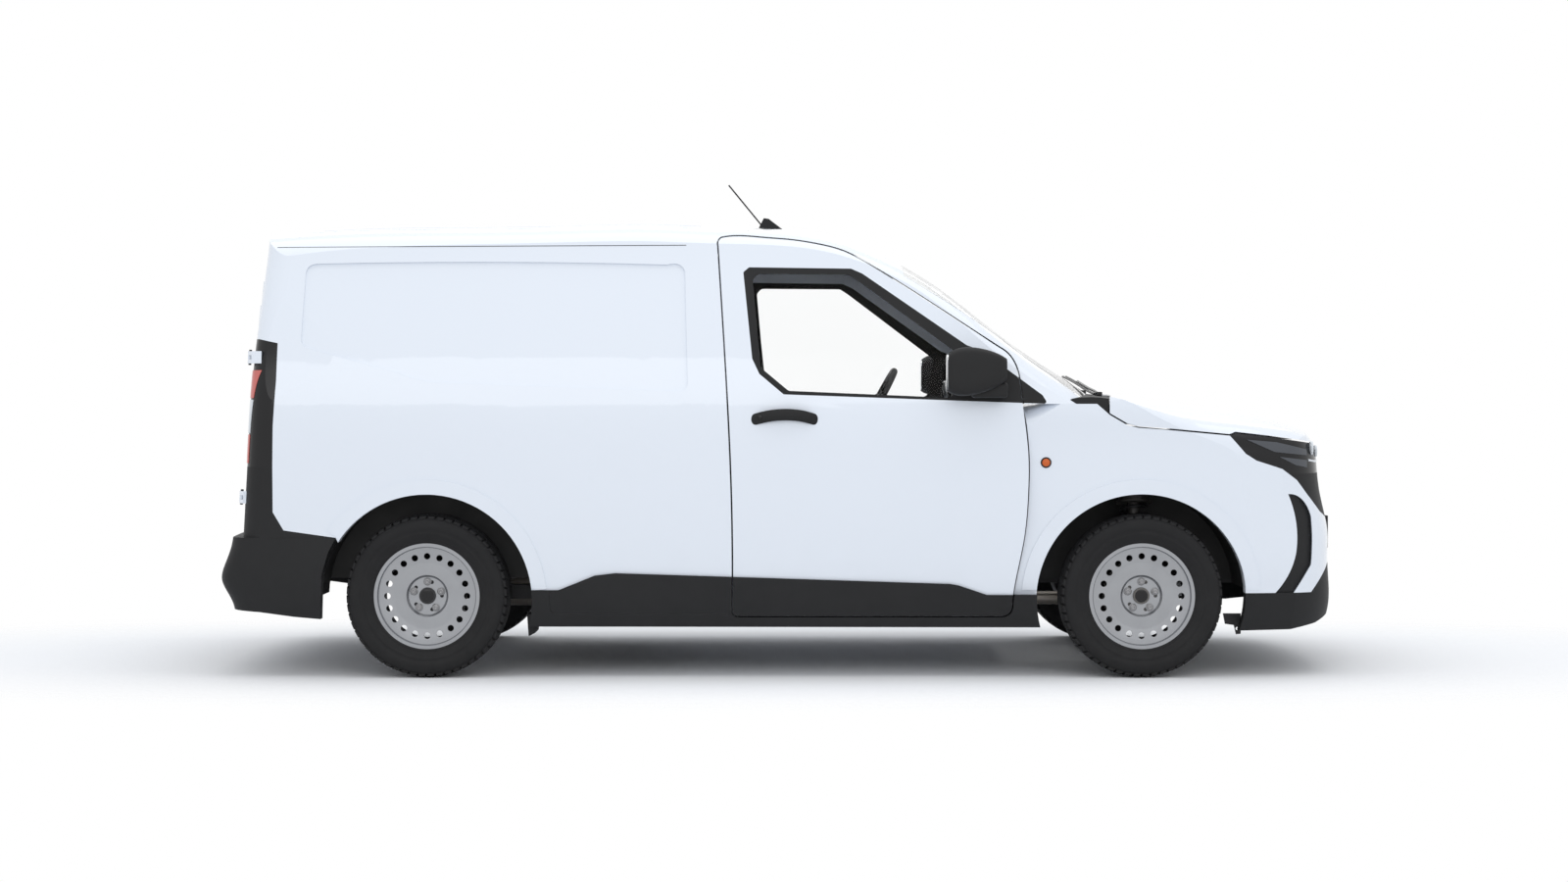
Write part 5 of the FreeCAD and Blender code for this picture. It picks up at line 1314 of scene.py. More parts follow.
@dataclass(frozen=True)
class Tyres:
    """Tyres with tread blocks and sidewall rings, which stand in for the plain ones."""

    fitter: Fitter
    half_section: tuple[Spot, ...] = (
        (0.3068, 0.0), (0.3066, 0.0140), (0.2995, 0.0146), (0.2995, 0.0214), (0.3064, 0.0220),
        (0.3058, 0.0430), (0.2992, 0.0436), (0.2986, 0.0514), (0.2985, 0.0600), (0.2960, 0.0780),
        (0.2905, 0.0865), (0.2820, 0.0925), (0.2700, 0.0962), (0.2620, 0.0970), (0.2530, 0.0968),
        (0.2505, 0.0955), (0.2380, 0.0942), (0.2355, 0.0952), (0.2250, 0.0925), (0.2130, 0.0880),
        (0.2085, 0.0868), (0.2062, 0.0876), (0.2020, 0.0850), (0.1960, 0.0785), (0.1915, 0.0755),
        (0.1910, 0.0690), (0.2050, 0.0740), (0.2250, 0.0830), (0.2550, 0.0870), (0.2780, 0.0820),
        (0.2880, 0.0650), (0.2920, 0.0),
    )
    turn_steps: int = 96
    block_count: int = 56
    block_middle: Point = (0.0, 0.0692, 0.3010)
    block_span: Point = (0.0306, 0.0340, 0.0100)
    block_drop: float = 0.0050
    block_narrowing: Point = (0.8, 1.0, 1.0)
    block_skew: Point = (0.004, 0.0, -0.0002)
    block_rounding: float = 0.0009

    def carcass(self) -> Piece:
        """Turns the tyre's section about its axle.

        Returns:
            The tyre without its blocks.
        """
        half = self.half_section
        other = [(radius, -across) for radius, across in reversed(half[1:-1])]
        return Bench.spun([*half, *other, half[0]], ORIGIN, self.turn_steps)

    def shoulder_blocks(self) -> list[Piece]:
        """Shapes one shoulder block and repeats it round both shoulders.

        Returns:
            The blocks.
        """
        block = Bench.block(self.block_middle, self.block_span)
        Bench.edit(block)
        Bench.facing(block, (0.0, 1.0, 0.0))
        bpy.ops.transform.translate(value=(0.0, 0.0, -self.block_drop))
        bpy.ops.transform.resize(value=self.block_narrowing)
        Bench.select(block, "FACE", lambda middle, normal: normal.z > 0.5)
        bpy.ops.transform.translate(value=self.block_skew)
        Bench.done()
        Bench.soften(block, self.block_rounding, 1)
        half_step = Matrix.Rotation(math.pi / self.block_count, 4, "Y")
        other = Bench.copied(block, half_step @ MIRROR_Y)
        blocks = Bench.wheel_of(block, self.block_count, "Y", ORIGIN)
        return blocks + Bench.wheel_of(other, self.block_count, "Y", ORIGIN)

    def build(self) -> None:
        """Builds one tyre and stands a copy in each tyre's place."""
        tyre = Bench.joined([self.carcass(), *self.shoulder_blocks()])
        for word, _, place in wheel_places():
            twin = Bench.copied(tyre, place)
            name, body = f"tyre_detail_{word}", f"road_wheel_{word}"
            self.fitter.ride(twin, name, Finish.TYRE_RUBBER, 30.0, body)
            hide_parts(f"tyre_{word}")
        bpy.data.objects.remove(tyre)


@dataclass(frozen=True)
class WheelDress:
    """Bolts and centre cap of each road wheel."""

    fitter: Fitter
    bolt_count: int = 5
    bolt_circle: float = 0.054
    bolt_radius: float = 0.0105
    bolt_length: float = 0.012
    bolt_rims: tuple[Spot, ...] = ((0.0025, 0.0015), (0.002, -0.003))
    bolt_rounding: float = 0.0008
    collar: tuple[Spot, ...] = (
        (0.0150, -0.001), (0.0150, 0.0015), (0.0125, 0.0035), (0.0090, 0.0035), (0.0090, -0.001),
        (0.0150, -0.001),
    )
    cap: tuple[Spot, ...] = (
        (0.0, 0.0100), (0.0165, 0.0094), (0.0240, 0.0078), (0.0252, 0.0055), (0.0270, 0.0055),
        (0.0291, 0.0040), (0.0300, 0.0), (0.0282, -0.003), (0.0, -0.003),
    )
    hub_test_height: float = 0.040

    def bolts(self, face: float) -> Piece:
        """Shapes one hexagonal bolt with its collar and repeats it round the hub.

        Args:
            face: Distance of the hub's face from the wheel's middle plane.

        Returns:
            The bolts of a left wheel at the origin.
        """
        middle = (0.0, face + self.bolt_length / 2, self.bolt_circle)
        head = Bench.drum(middle, self.bolt_radius, self.bolt_length, UPRIGHT, 6)
        Bench.dish(head, (0.0, 1.0, 0.0), self.bolt_rims)
        Bench.soften(head, self.bolt_rounding)
        collar = Bench.spun(self.collar, (0.0, face, self.bolt_circle), 24)
        bolt = Bench.joined([head, collar])
        return Bench.joined(Bench.wheel_of(bolt, self.bolt_count, "Y", ORIGIN))

    def build(self) -> None:
        """Builds the hub details and copies them to the four wheels."""
        spot = (Axle.FRONT.value, AXLE_HEIGHT + self.hub_test_height)
        face = self.fitter.skin(("wheel_front_left",), *spot, Side.LEFT) - WHEEL_Y
        parts = (
            ("wheel_bolts", self.bolts(face), Finish.BOLT_STEEL),
            ("wheel_cap", Bench.spun(self.cap, (0.0, face, 0.0), 48), Finish.GLOSS_BLACK),
        )
        for word, side, place in wheel_places():
            matrix = place @ MIRROR_Y if side is Side.RIGHT else place
            for name, part, finish in parts:
                twin = Bench.copied(part, matrix)
                self.fitter.ride(twin, f"{name}_{word}", finish, 30.0, f"road_wheel_{word}")
        for _, part, _ in parts:
            bpy.data.objects.remove(part)


# Body


@dataclass(frozen=True)
class ArchFlares:
    """Soft flare round each wheel arch."""

    fitter: Fitter
    centre_z: float = 0.2955
    inner_radius: float = 0.3965
    outer_radius: float = 0.452
    band_steps: int = 6
    low_z: float = 0.330
    lift: float = 0.0010
    thickness: float = 0.007
    rear_end: Point = (-1.6800, 0.0, 0.530)
    rear_end_normal: Point = (-0.62, 0.0, -0.78)

    def band(self, side: Side, axle: Axle) -> Piece:
        """Draws the flat ring of a wheel arch, cut off above the sill.

        Args:
            side: Side of the van.
            axle: Axle of the arch.

        Returns:
            The flat ring, beside the van.
        """
        Bench.deselect()
        middle = (axle.value, side.value * 1.3, self.centre_z)
        bpy.ops.mesh.primitive_circle_add(vertices=144, radius=self.outer_radius, location=middle)
        band = Bench.placed(UNSCALED, (-side.value * math.pi / 2, 0.0, 0.0))
        Bench.edit(band)
        narrowing = (self.inner_radius / self.outer_radius - 1.0) / self.band_steps
        for index in range(self.band_steps):
            share = (1.0 + narrowing * (index + 1)) / (1.0 + narrowing * index)
            bpy.ops.mesh.extrude_region_move()
            bpy.ops.transform.resize(value=(share, 1.0, share))
        Bench.done()
        Bench.trim(band, (0.0, 0.0, self.low_z), DOWNWARD, fill=False)
        if axle is Axle.REAR:
            Bench.trim(band, self.rear_end, self.rear_end_normal, fill=False)
        return band

    def build(self) -> None:
        """Lays the four flares over the panels that carry them."""
        for side in Side:
            panels = {
                Axle.FRONT: (f"fender_{side.word}", "front_bumper"),
                Axle.REAR: (f"body_side_{side.word}", "rear_bumper"),
            }
            for axle, names in panels.items():
                nodes = [self.fitter.nodes[name] for name in names]
                form = Bench.joined([Bench.copied(node, Matrix.Identity(4)) for node in nodes])
                band = self.band(side, axle)
                self.fitter.laid(band, form, "Y", self.lift, self.thickness)
                bpy.data.objects.remove(form)
                name = f"arch_flare_{axle.word}_{side.word}"
                self.fitter.ride(band, name, Finish.WHITE_PAINT, 60.0)


@dataclass(frozen=True)
class DoorDress:
    """Grip, lock, mirror glass and inner fittings of the front doors.

    Places on a door are X, distance out from its skin or its inner face, and Z.
    """

    fitter: Fitter
    grip_test: Spot = (0.004, 1.030)
    grip_line: tuple[Point, ...] = (
        (-0.121, -0.006, 0.976), (-0.098, 0.012, 0.979), (-0.050, 0.028, 0.984),
        (0.010, 0.034, 0.986), (0.066, 0.028, 0.984), (0.108, 0.012, 0.979),
        (0.129, -0.006, 0.976),
    )
    grip_radius: float = 0.0095
    grip_scale: Point = (1.0, 0.8, 2.3)
    grip_z: float = 0.981
    lock_place: Point = (-0.088, 0.012, 0.981)
    lock_radius: float = 0.0085
    lock_length: float = 0.024
    mirror_test: Point = (0.30, 0.955, 1.150)
    mirror_span: Point = (0.0045, 0.096, 0.132)
    mirror_corner: float = 0.022
    card_tests: tuple[Spot, ...] = ((-0.12, 0.52), (0.28, 0.52), (-0.12, 0.90), (0.28, 0.90))
    card_outline: tuple[Spot, ...] = (
        (-0.140, 0.485), (0.300, 0.485), (0.335, 0.540), (0.335, 0.900), (0.300, 0.960),
        (-0.140, 0.960),
    )
    card_gap: float = 0.004
    card_thickness: float = 0.014
    armrest: Moulding = Moulding(
        (0.080, -0.034, 0.735), (0.330, 0.058, 0.046), 0.008, rims=((0.010, 0.004),)
    )
    release: Moulding = Moulding(
        (0.290, -0.012, 0.860),
        (0.060, 0.012, 0.024),
        0.002,
        2,
        way=(0.0, -1.0, 0.0),
        rims=((0.005, -0.004),),
    )
    pocket: Moulding = Moulding(
        (-0.010, -0.030, 0.545), (0.230, 0.050, 0.100), 0.003, 2, rims=((0.008, -0.080),)
    )
    pull_line: tuple[Point, ...] = (
        (0.190, -0.004, 0.800), (0.200, -0.040, 0.805), (0.215, -0.044, 0.845),
        (0.230, -0.040, 0.885), (0.235, -0.004, 0.890),
    )
    pull_radius: float = 0.0085
    speaker_middle: Point = (0.225, -0.010, 0.590)
    speaker_hub: float = 0.012
    speaker_rings: int = 6
    speaker_pitch: float = 0.009
    speaker_radius: float = 0.076

    def build(self) -> None:
        """Fits out both doors."""
        for side in Side:
            self.grip(side)
            self.mirror_glass(side)
            self.inner_fittings(side)

    def ride(
        self, piece: Piece, name: str, side: Side, finish: Finish, angle: float = 40.0
    ) -> None:
        """Rides a piece on one front door."""
        self.fitter.ride(piece, f"{name}_{side.word}", finish, angle, f"door_{side.word}")

    def grip(self, side: Side) -> None:
        """Bows the grip over its dish and sets the lock beside it.

        Args:
            side: Side of the van.
        """
        out = side.value
        skin = self.fitter.skin((f"door_panel_{side.word}",), *self.grip_test, side)
        line = [(x, skin + out * y, z) for x, y, z in self.grip_line]
        bar = Bench.tube(line, self.grip_radius, 6)
        Bench.edit(bar)
        bpy.ops.transform.resize(value=self.grip_scale, center_override=(0.0, skin, self.grip_z))
        Bench.done()
        self.ride(bar, "door_grip", side, Finish.DARK_TRIM, 50.0)
        x, y, z = self.lock_place
        lock = Bench.drum((x, skin + out * y, z), self.lock_radius, self.lock_length, UPRIGHT, 24)
        Bench.dish(lock, (0.0, out, 0.0), ((0.0025, 0.0015),))
        Bench.soften(lock, 0.0008)
        self.ride(lock, "door_lock", side, Finish.GLOSS_BLACK)

    def mirror_glass(self, side: Side) -> None:
        """Sets silvered glass on the rear face of the mirror housing.

        Args:
            side: Side of the van.
        """
        x, y, z = self.mirror_test
        face = self.fitter.reach(f"door_trim_{side.word}", (x, side.value * y, z), FORWARD)
        glass = Bench.block((face.x + 0.0010, face.y, z), self.mirror_span)
        Bench.edit(glass)
        Bench.select(glass, "EDGE", lambda middle, run: abs(run.x) > 0.004)
        bpy.ops.mesh.bevel(offset=self.mirror_corner, segments=5)
        Bench.done()
        Bench.soften(glass, 0.0012)
        self.ride(glass, "mirror_glass", side, Finish.MIRROR_SILVER)

    def inner_fittings(self, side: Side) -> None:
        """Fits the trim card with its armrest, pull, release, pocket and speaker.

        Args:
            side: Side of the van.
        """
        out = side.value
        panel = f"door_panel_{side.word}"
        tests = [
            self.fitter.reach(panel, (x, out * 0.2, z), (0.0, out, 0.0)) for x, z in self.card_tests
        ]
        face = out * min(abs(place.y) for place in tests)
        card = Bench.slab(self.card_outline, face + out * self.card_gap, -out * self.card_thickness)
        Bench.soften(card, 0.004, 3)
        self.ride(card, "door_card", side, Finish.CAB_PLASTIC)
        for name, moulding, finish in (
            ("door_armrest", self.armrest, Finish.CAB_PLASTIC),
            ("door_release", self.release, Finish.MIRROR_SILVER),
            ("door_pocket", self.pocket, Finish.CAB_PLASTIC),
        ):
            self.ride(moulding.build((0.0, face, 0.0), out), name, side, finish)
        pull = Bench.tube(((x, face + out * y, z) for x, y, z in self.pull_line), self.pull_radius)
        self.ride(pull, "door_pull", side, Finish.GLOSS_BLACK, 50.0)
        x, y, z = self.speaker_middle
        speaker = Bench.spun(
            [(radius, -out * rise) for radius, rise in self.speaker_section()],
            (x, face + out * y, z),
            48,
        )
        self.ride(speaker, "door_speaker", side, Finish.CAB_PLASTIC, 30.0)

    def speaker_section(self) -> list[Spot]:
        """Draws half of the section through the speaker's ringed cover.

        Returns:
            Its points, as radius and rise.
        """
        section = [(0.0, 0.010), (self.speaker_hub, 0.010)]
        for index in range(self.speaker_rings):
            start = self.speaker_hub + 0.004 + index * self.speaker_pitch
            section += [(start, 0.006), (start + 0.004, 0.006), (start + 0.005, 0.010)]
        rim = self.speaker_radius
        return section + [(rim - 0.004, 0.012), (rim, 0.008), (rim, -0.004), (0.0, -0.004)]


@dataclass(frozen=True)
class LampDress:
    """Side lamps, and what shows inside the headlamps and tail lamps."""

    fitter: Fitter
    side_lamp: Spot = (0.987, 0.811)
    side_lamp_bezel: tuple[Spot, ...] = (
        (0.0205, -0.004), (0.0205, 0.001), (0.0180, 0.0040), (0.0150, 0.0038), (0.0145, -0.004),
        (0.0205, -0.004),
    )
    side_lamp_lens: tuple[Spot, ...] = (
        (0.0, 0.0085), (0.006, 0.0082), (0.011, 0.0068), (0.0148, 0.0036), (0.0148, -0.003),
        (0.0, -0.003),
    )
    tail_across: Spot = (0.762, 0.836)
    upper_facet: tuple[Spot, ...] = (
        (1.745, 0.896), (1.860, 0.886), (1.985, 0.858), (1.985, 0.836), (1.850, 0.850),
    )
    lower_facet: tuple[Spot, ...] = ((1.868, 0.832), (1.985, 0.818), (1.985, 0.790), (1.935, 0.800))
    lenses: tuple[Point, ...] = ((0.720, 0.862, 0.024), (0.655, 0.850, 0.020))
    lens_shares: tuple[Spot, ...] = (
        (0.0, -0.008), (0.5, -0.007), (0.8, -0.004), (0.9, 0.0), (1.0, -0.003), (1.12, 0.0),
        (1.12, 0.006), (0.0, 0.006),
    )
    strip_line: tuple[Spot, ...] = ((0.610, 0.815), (0.660, 0.812), (0.710, 0.812), (0.755, 0.818))

    def build(self) -> None:
        """Dresses the lamps of both sides."""
        for side in Side:
            self.side_lamps(side)
            self.tail_lamp(side)
            self.headlamp(side)

    def side_lamps(self, side: Side) -> None:
        """Sets the round side lamp and its bezel in the wing.

        Args:
            side: Side of the van.
        """
        x, z = self.side_lamp
        skin = self.fitter.skin((f"fender_{side.word}",), x, z, side)
        for name, section, finish in (
            ("side_lamp_bezel", self.side_lamp_bezel, Finish.DARK_TRIM),
            ("side_lamp_lens", self.side_lamp_lens, Finish.AMBER_LENS),
        ):
            section = [(radius, side.value * rise) for radius, rise in section]
            piece = Bench.spun(section, (x, skin, z), 40)
            self.fitter.ride(piece, f"{name}_{side.word}", finish, 30.0)

    def tail_lamp(self, side: Side) -> None:
        """Lays red and clear sections into the smoked tail lamp.

        Args:
            side: Side of the van.
        """
        for name, height, finish in (
            ("tail_lamp_upper", (1.053, 1.158), Finish.RED_LENS),
            ("tail_lamp_middle", (0.922, 1.047), Finish.CLEAR_LENS),
            ("tail_lamp_lower", (0.808, 0.916), Finish.RED_LENS),
        ):
            sheet = Bench.rear_sheet(side, self.tail_across, height, 0.008)
            self.fitter.laid(sheet, self.fitter.nodes["tail_lamps"], "X", 0.001, 0.004)
            self.fitter.ride(sheet, f"{name}_{side.word}", finish, 50.0)

    def front(self, side: Side, y: float, z: float) -> Vector:
        """Point of the headlamp's face at a place seen from the front."""
        return self.fitter.reach("headlamps", (3.0, side.value * y, z), BACKWARD)

    def headlamp(self, side: Side) -> None:
        """Lays the facets, the two lenses and the light strip on a headlamp.

        Args:
            side: Side of the van.
        """
        word = side.word
        for name, corners in (("upper", self.upper_facet), ("lower", self.lower_facet)):
            sheet = Bench.side_sheet(side, list(corners), 0.012)
            self.fitter.laid(sheet, self.fitter.nodes["headlamps"], "Y", 0.0008, 0.003)
            self.fitter.ride(sheet, f"lamp_facet_{name}_{word}", Finish.LENS_GREY, 50.0)
        for index, (y, z, radius) in enumerate(self.lenses):
            section = [(radius * share, depth) for share, depth in self.lens_shares]
            lens = Bench.spun(section, ORIGIN, 40)
            Bench.turned(lens, math.pi / 2, "Z")
            lens.location = self.front(side, y, z)
            self.fitter.ride(lens, f"lamp_lens_{index}_{word}", Finish.CLEAR_LENS, 30.0)
        strip = Bench.tube((tuple(self.front(side, y, z)) for y, z in self.strip_line), 0.0045)
        self.fitter.ride(strip, f"lamp_strip_{word}", Finish.CLEAR_LENS, 50.0)


@dataclass(frozen=True)
class ShellDress:
    """Seams, ribs, pressings, hinge pins and fittings on the outside of the shell."""

    fitter: Fitter
    gutter_start: Spot = (-1.930, 1.627)
    gutter_step: Spot = (0.12, 0.0006)
    gutter_count: int = 14
    hinge_pins: tuple[tuple[str, float, float], ...] = (
        ("low", -2.0506, 0.679),
        ("high", -2.0170, 1.207),
    )
    hinge_y: float = 0.787
    pin_radius: float = 0.0055
    pin_length: float = 0.058
    pin_lean: float = 0.0637
    pressing_across: Spot = (0.190, 0.690)
    pressings: tuple[tuple[str, Spot], ...] = (
        ("upper", (1.130, 1.500)),
        ("lower", (0.640, 0.790)),
    )
    slide_line: tuple[Spot, ...] = (
        (-0.881, 0.322), (-0.881, 0.262), (-0.874, 0.247), (-0.860, 0.240), (-0.700, 0.239),
        (-0.500, 0.239), (-0.350, 0.239), (-0.215, 0.239),
    )
    flap_middle: Spot = (-0.760, 0.820)
    flap_half: float = 0.078
    flap_squareness: float = 0.75
    rib_ys: tuple[float, ...] = (-0.48, -0.24, 0.0, 0.24, 0.48)
    rib_x: float = -1.080
    rib_span: Spot = (1.500, 0.060)
    wiper_ends: tuple[tuple[Spot, Spot], ...] = (
        ((1.215, -0.600), (1.140, -0.060)),
        ((1.230, 0.080), (1.120, 0.600)),
    )
    arm: tuple[Spot, ...] = ((0.0, 0.004), (0.08, 0.014), (0.3, 0.018), (0.6, 0.014))
    blade: tuple[float, ...] = (0.12, 0.35, 0.6, 0.85, 1.05)
    spine: tuple[float, ...] = (0.25, 0.45, 0.6, 0.75, 0.95)
    handle: Moulding = Moulding(
        (-0.010, 0.215, 1.020),
        (0.024, 0.190, 0.060),
        0.005,
        way=BACKWARD,
        rims=((0.010, -0.010),),
    )
    plate_lamp: Moulding = Moulding((-0.006, 0.400, 0.978), (0.020, 0.240, 0.022), 0.005)
    brake_lamp: Moulding = Moulding((0.002, 0.0, 1.700), (0.012, 0.300, 0.018), 0.004)
    bracket_outline: tuple[Spot, ...] = (
        (1.680, 0.230), (1.748, 0.230), (1.748, 0.152), (1.730, 0.150), (1.722, 0.185),
        (1.688, 0.190),
    )
    bracket_y: float = -0.700
    bracket_thickness: float = 0.006
    bracket_hole: Point = (1.734, -0.697, 0.172)
    bracket_hole_radius: float = 0.006
    mud_flap_outline: tuple[Spot, ...] = (
        (-0.972, 0.235), (-0.930, 0.235), (-0.938, 0.165), (-0.966, 0.150),
    )
    mud_flap_y: float = 0.790
    mud_flap_width: float = 0.120

    def build(self) -> None:
        """Adds every small piece of the shell."""
        for side in Side:
            self.gutter(side)
            self.rear_door(side)
        self.seams()
        self.roof_ribs()
        self.wipers()
        self.rear_fittings()
        self.low_fittings()

    def gutter(self, side: Side) -> None:
        """Lays the line where the roof meets the side, from the tail to the door.

        Args:
            side: Side of the van.
        """
        (x, z), (step_x, step_z) = self.gutter_start, self.gutter_step
        spots = [(x + step_x * index, z + step_z * index) for index in range(self.gutter_count)]
        line = self.fitter.seam((f"body_side_{side.word}", "roof_panel"), spots, side)
        self.fitter.ride(line, f"roof_line_{side.word}", Finish.DARK_TRIM)

    def rear_door(self, side: Side) -> None:
        """Adds the hinge pins and the raised pressings of one rear door.

        Args:
            side: Side of the van.
        """
        word = side.word
        for name, x, z in self.hinge_pins:
            middle = (x, side.value * self.hinge_y, z)
            turn = (0.0, self.pin_lean, 0.0)
            pin = Bench.drum(middle, self.pin_radius, self.pin_length, turn, 20)
            Bench.soften(pin, 0.0012)
            self.fitter.ride(pin, f"hinge_pin_{name}_{word}", Finish.DARK_TRIM)
        for name, height in self.pressings:
            sheet = Bench.rear_sheet(side, self.pressing_across, height, 0.03)
            panel = self.fitter.nodes[f"rear_door_panel_{word}"]
            self.fitter.laid(sheet, panel, "X", 0.001, 0.006, 0.002)
            name = f"rear_pressing_{name}_{word}"
            self.fitter.ride(sheet, name, Finish.WHITE_PAINT, 50.0, f"rear_door_{word}")

    def seams(self) -> None:
        """Lays the sliding door's lower line, on the right, and the filler flap's, on the left."""
        line = self.fitter.seam(("sill_trims", "body_side_right"), self.slide_line, Side.RIGHT)
        self.fitter.ride(line, "sliding_door_line", Finish.GLOSS_BLACK)
        spots = []
        for index in range(33):
            along, up = math.cos(math.tau * index / 32), math.sin(math.tau * index / 32)
            reach = self.flap_half / max(abs(along), abs(up)) ** self.flap_squareness
            spots.append((self.flap_middle[0] + reach * along, self.flap_middle[1] + reach * up))
        line = self.fitter.seam(("body_side_left",), spots, Side.LEFT)
        self.fitter.ride(line, "fuel_flap_line", Finish.DARK_TRIM)

    def roof_ribs(self) -> None:
        """Lays the long stiffening ribs on the roof."""
        for index, y in enumerate(self.rib_ys):
            rib = Bench.grid((self.rib_x, y, 2.2), self.rib_span, (40, 4))
            self.fitter.laid(rib, self.fitter.nodes["roof_panel"], "Z", 0.0003, 0.003, 0.0010)
            self.fitter.ride(rib, f"roof_rib_{index}", Finish.WHITE_PAINT, 50.0)

    def height_over(self, x: float, y: float) -> float:
        """Finds the highest point of the windscreen, cowl and bonnet near a place.

        Args:
            x: X of the place.
            y: Y of the place.

        Returns:
            Its height.
        """
        names = ("windscreen", "cowl_panel", "bonnet")
        starts = [(x + step, y, 2.5) for step in (-0.02, 0.0, 0.02)]
        return max(place.z for start in starts for place in self.fitter.met(names, start, DOWNWARD))

    def wiper(self, pivot: Spot, tip: Spot) -> Piece:
        """Builds one wiper over the foot of the windscreen.

        Args:
            pivot: X and Y of its hub.
            tip: X and Y of its blade's end.

        Returns:
            Its hub, arm, blade and spine in one.
        """

        def over(share: float, lift: float) -> Point:
            """Point at a share of the way to the tip, lifted off the glass."""
            x, y = (start + (end - start) * share for start, end in zip(pivot, tip))
            return (x, y, self.height_over(x, y) + lift)

        hub = Bench.drum(over(*self.arm[0]), 0.014, 0.020, sides=28)
        Bench.soften(hub, 0.004, 3)
        arm = Bench.tube((over(share, lift) for share, lift in self.arm), 0.0055, 3)
        blade = Bench.tube((over(share, 0.003) for share in self.blade), 0.0048, 3)
        spine = Bench.tube((over(share, 0.009) for share in self.spine), 0.0036, 3)
        return Bench.joined([hub, arm, blade, spine])

    def wipers(self) -> None:
        """Parks two wipers at the foot of the windscreen."""
        for index, (pivot, tip) in enumerate(self.wiper_ends):
            wiper = self.wiper(pivot, tip)
            self.fitter.ride(wiper, f"wiper_{index}", Finish.GLOSS_BLACK, 50.0)

    def rear_fittings(self) -> None:
        """Adds the rear doors' handle and lamp and the high brake lamp."""
        door = self.fitter.reach("rear_door_panel_left", (-3.0, 0.180, 1.020), FORWARD)
        roof = self.fitter.reach("roof_panel", (-3.0, 0.0, 1.700), FORWARD)
        for name, moulding, face, body, finish in (
            ("rear_door_handle", self.handle, door, "rear_door_left", Finish.DARK_TRIM),
            ("plate_lamp", self.plate_lamp, door, "rear_door_left", Finish.DARK_TRIM),
            ("high_brake_lamp", self.brake_lamp, roof, "van_body", Finish.RED_LENS),
        ):
            self.fitter.ride(moulding.build((face.x, 0.0, 0.0)), name, finish, body=body)

    def low_fittings(self) -> None:
        """Adds the lifting bracket under the bumper and a flap before each rear wheel."""
        bracket = Bench.slab(self.bracket_outline, self.bracket_y, self.bracket_thickness)
        hole = Bench.drum(self.bracket_hole, self.bracket_hole_radius, 0.03, UPRIGHT, 20)
        Bench.modify(bracket, "BOOLEAN", operation="DIFFERENCE", object=hole, solver="EXACT")
        bpy.data.objects.remove(hole)
        self.fitter.ride(bracket, "lifting_bracket", Finish.CHASSIS_BLACK)
        for side in Side:
            y, width = side.value * self.mud_flap_y, -side.value * self.mud_flap_width
            flap = Bench.slab(self.mud_flap_outline, y, width)
            Bench.soften(flap, 0.003)
            self.fitter.ride(flap, f"wheel_flap_{side.word}", Finish.DARK_TRIM)


# Cab


@dataclass(frozen=True)
class Cushion:
    """Sizes of one stuffed pad of a seat."""

    name: str
    middle: Point
    span: Point
    lean: float
    crown: float
    cuts: int = 15
    seam_place: float = 0.62
    seam_width: float = 0.07
    seam_depth: float = 0.005
    edge_pinch: float = 0.28
    side_pull: float = 0.010

    def channel(self, across: float, along: float) -> float:
        """Depth of the two sewn channels that run one way over the pad.

        Args:
            across: Place across the channels, from -1 to 1.
            along: Place along the channels, from -1 to 1.

        Returns:
            The depth, which fades out at the channels' ends.
        """
        off = (abs(across) - self.seam_place) / self.seam_width
        return self.seam_depth * math.exp(-(off**2)) * (1.0 - along**4)

    def build(self, y: float) -> Piece:
        """Shapes the pad: crowned faces, sides drawn in between the corners, sewn channels.

        Args:
            y: Y of its middle.

        Returns:
            The pad.
        """
        pad = Bench.block(ORIGIN, self.span)
        Bench.edit(pad)
        bpy.ops.mesh.subdivide(number_cuts=self.cuts)
        mesh = bmesh.from_edit_mesh(pad.data)
        thin = min(range(3), key=lambda way: self.span[way])
        first, second = (way for way in range(3) if way != thin)
        for corner in mesh.verts:
            share = [corner.co[way] / (self.span[way] / 2) for way in range(3)]
            u, v = share[first], share[second]
            rise = self.crown * (1.0 - u * u) * (1.0 - v * v)
            rise -= self.channel(u, v) + self.channel(v, u)
            pinch = 1.0 - self.edge_pinch * max(abs(u), abs(v)) ** 8
            corner.co[thin] = corner.co[thin] * pinch + share[thin] * rise
            corner.co[first] -= u * self.side_pull * (1.0 - v * v)
            corner.co[second] -= v * self.side_pull * (1.0 - u * u)
        bmesh.update_edit_mesh(pad.data)
        Bench.done()
        Bench.modify(pad, "SUBSURF", levels=1)
        place = Matrix.Translation((self.middle[0], y, self.middle[2]))
        pad.data.transform(place @ Matrix.Rotation(math.radians(self.lean), 4, "Y"))
        return pad


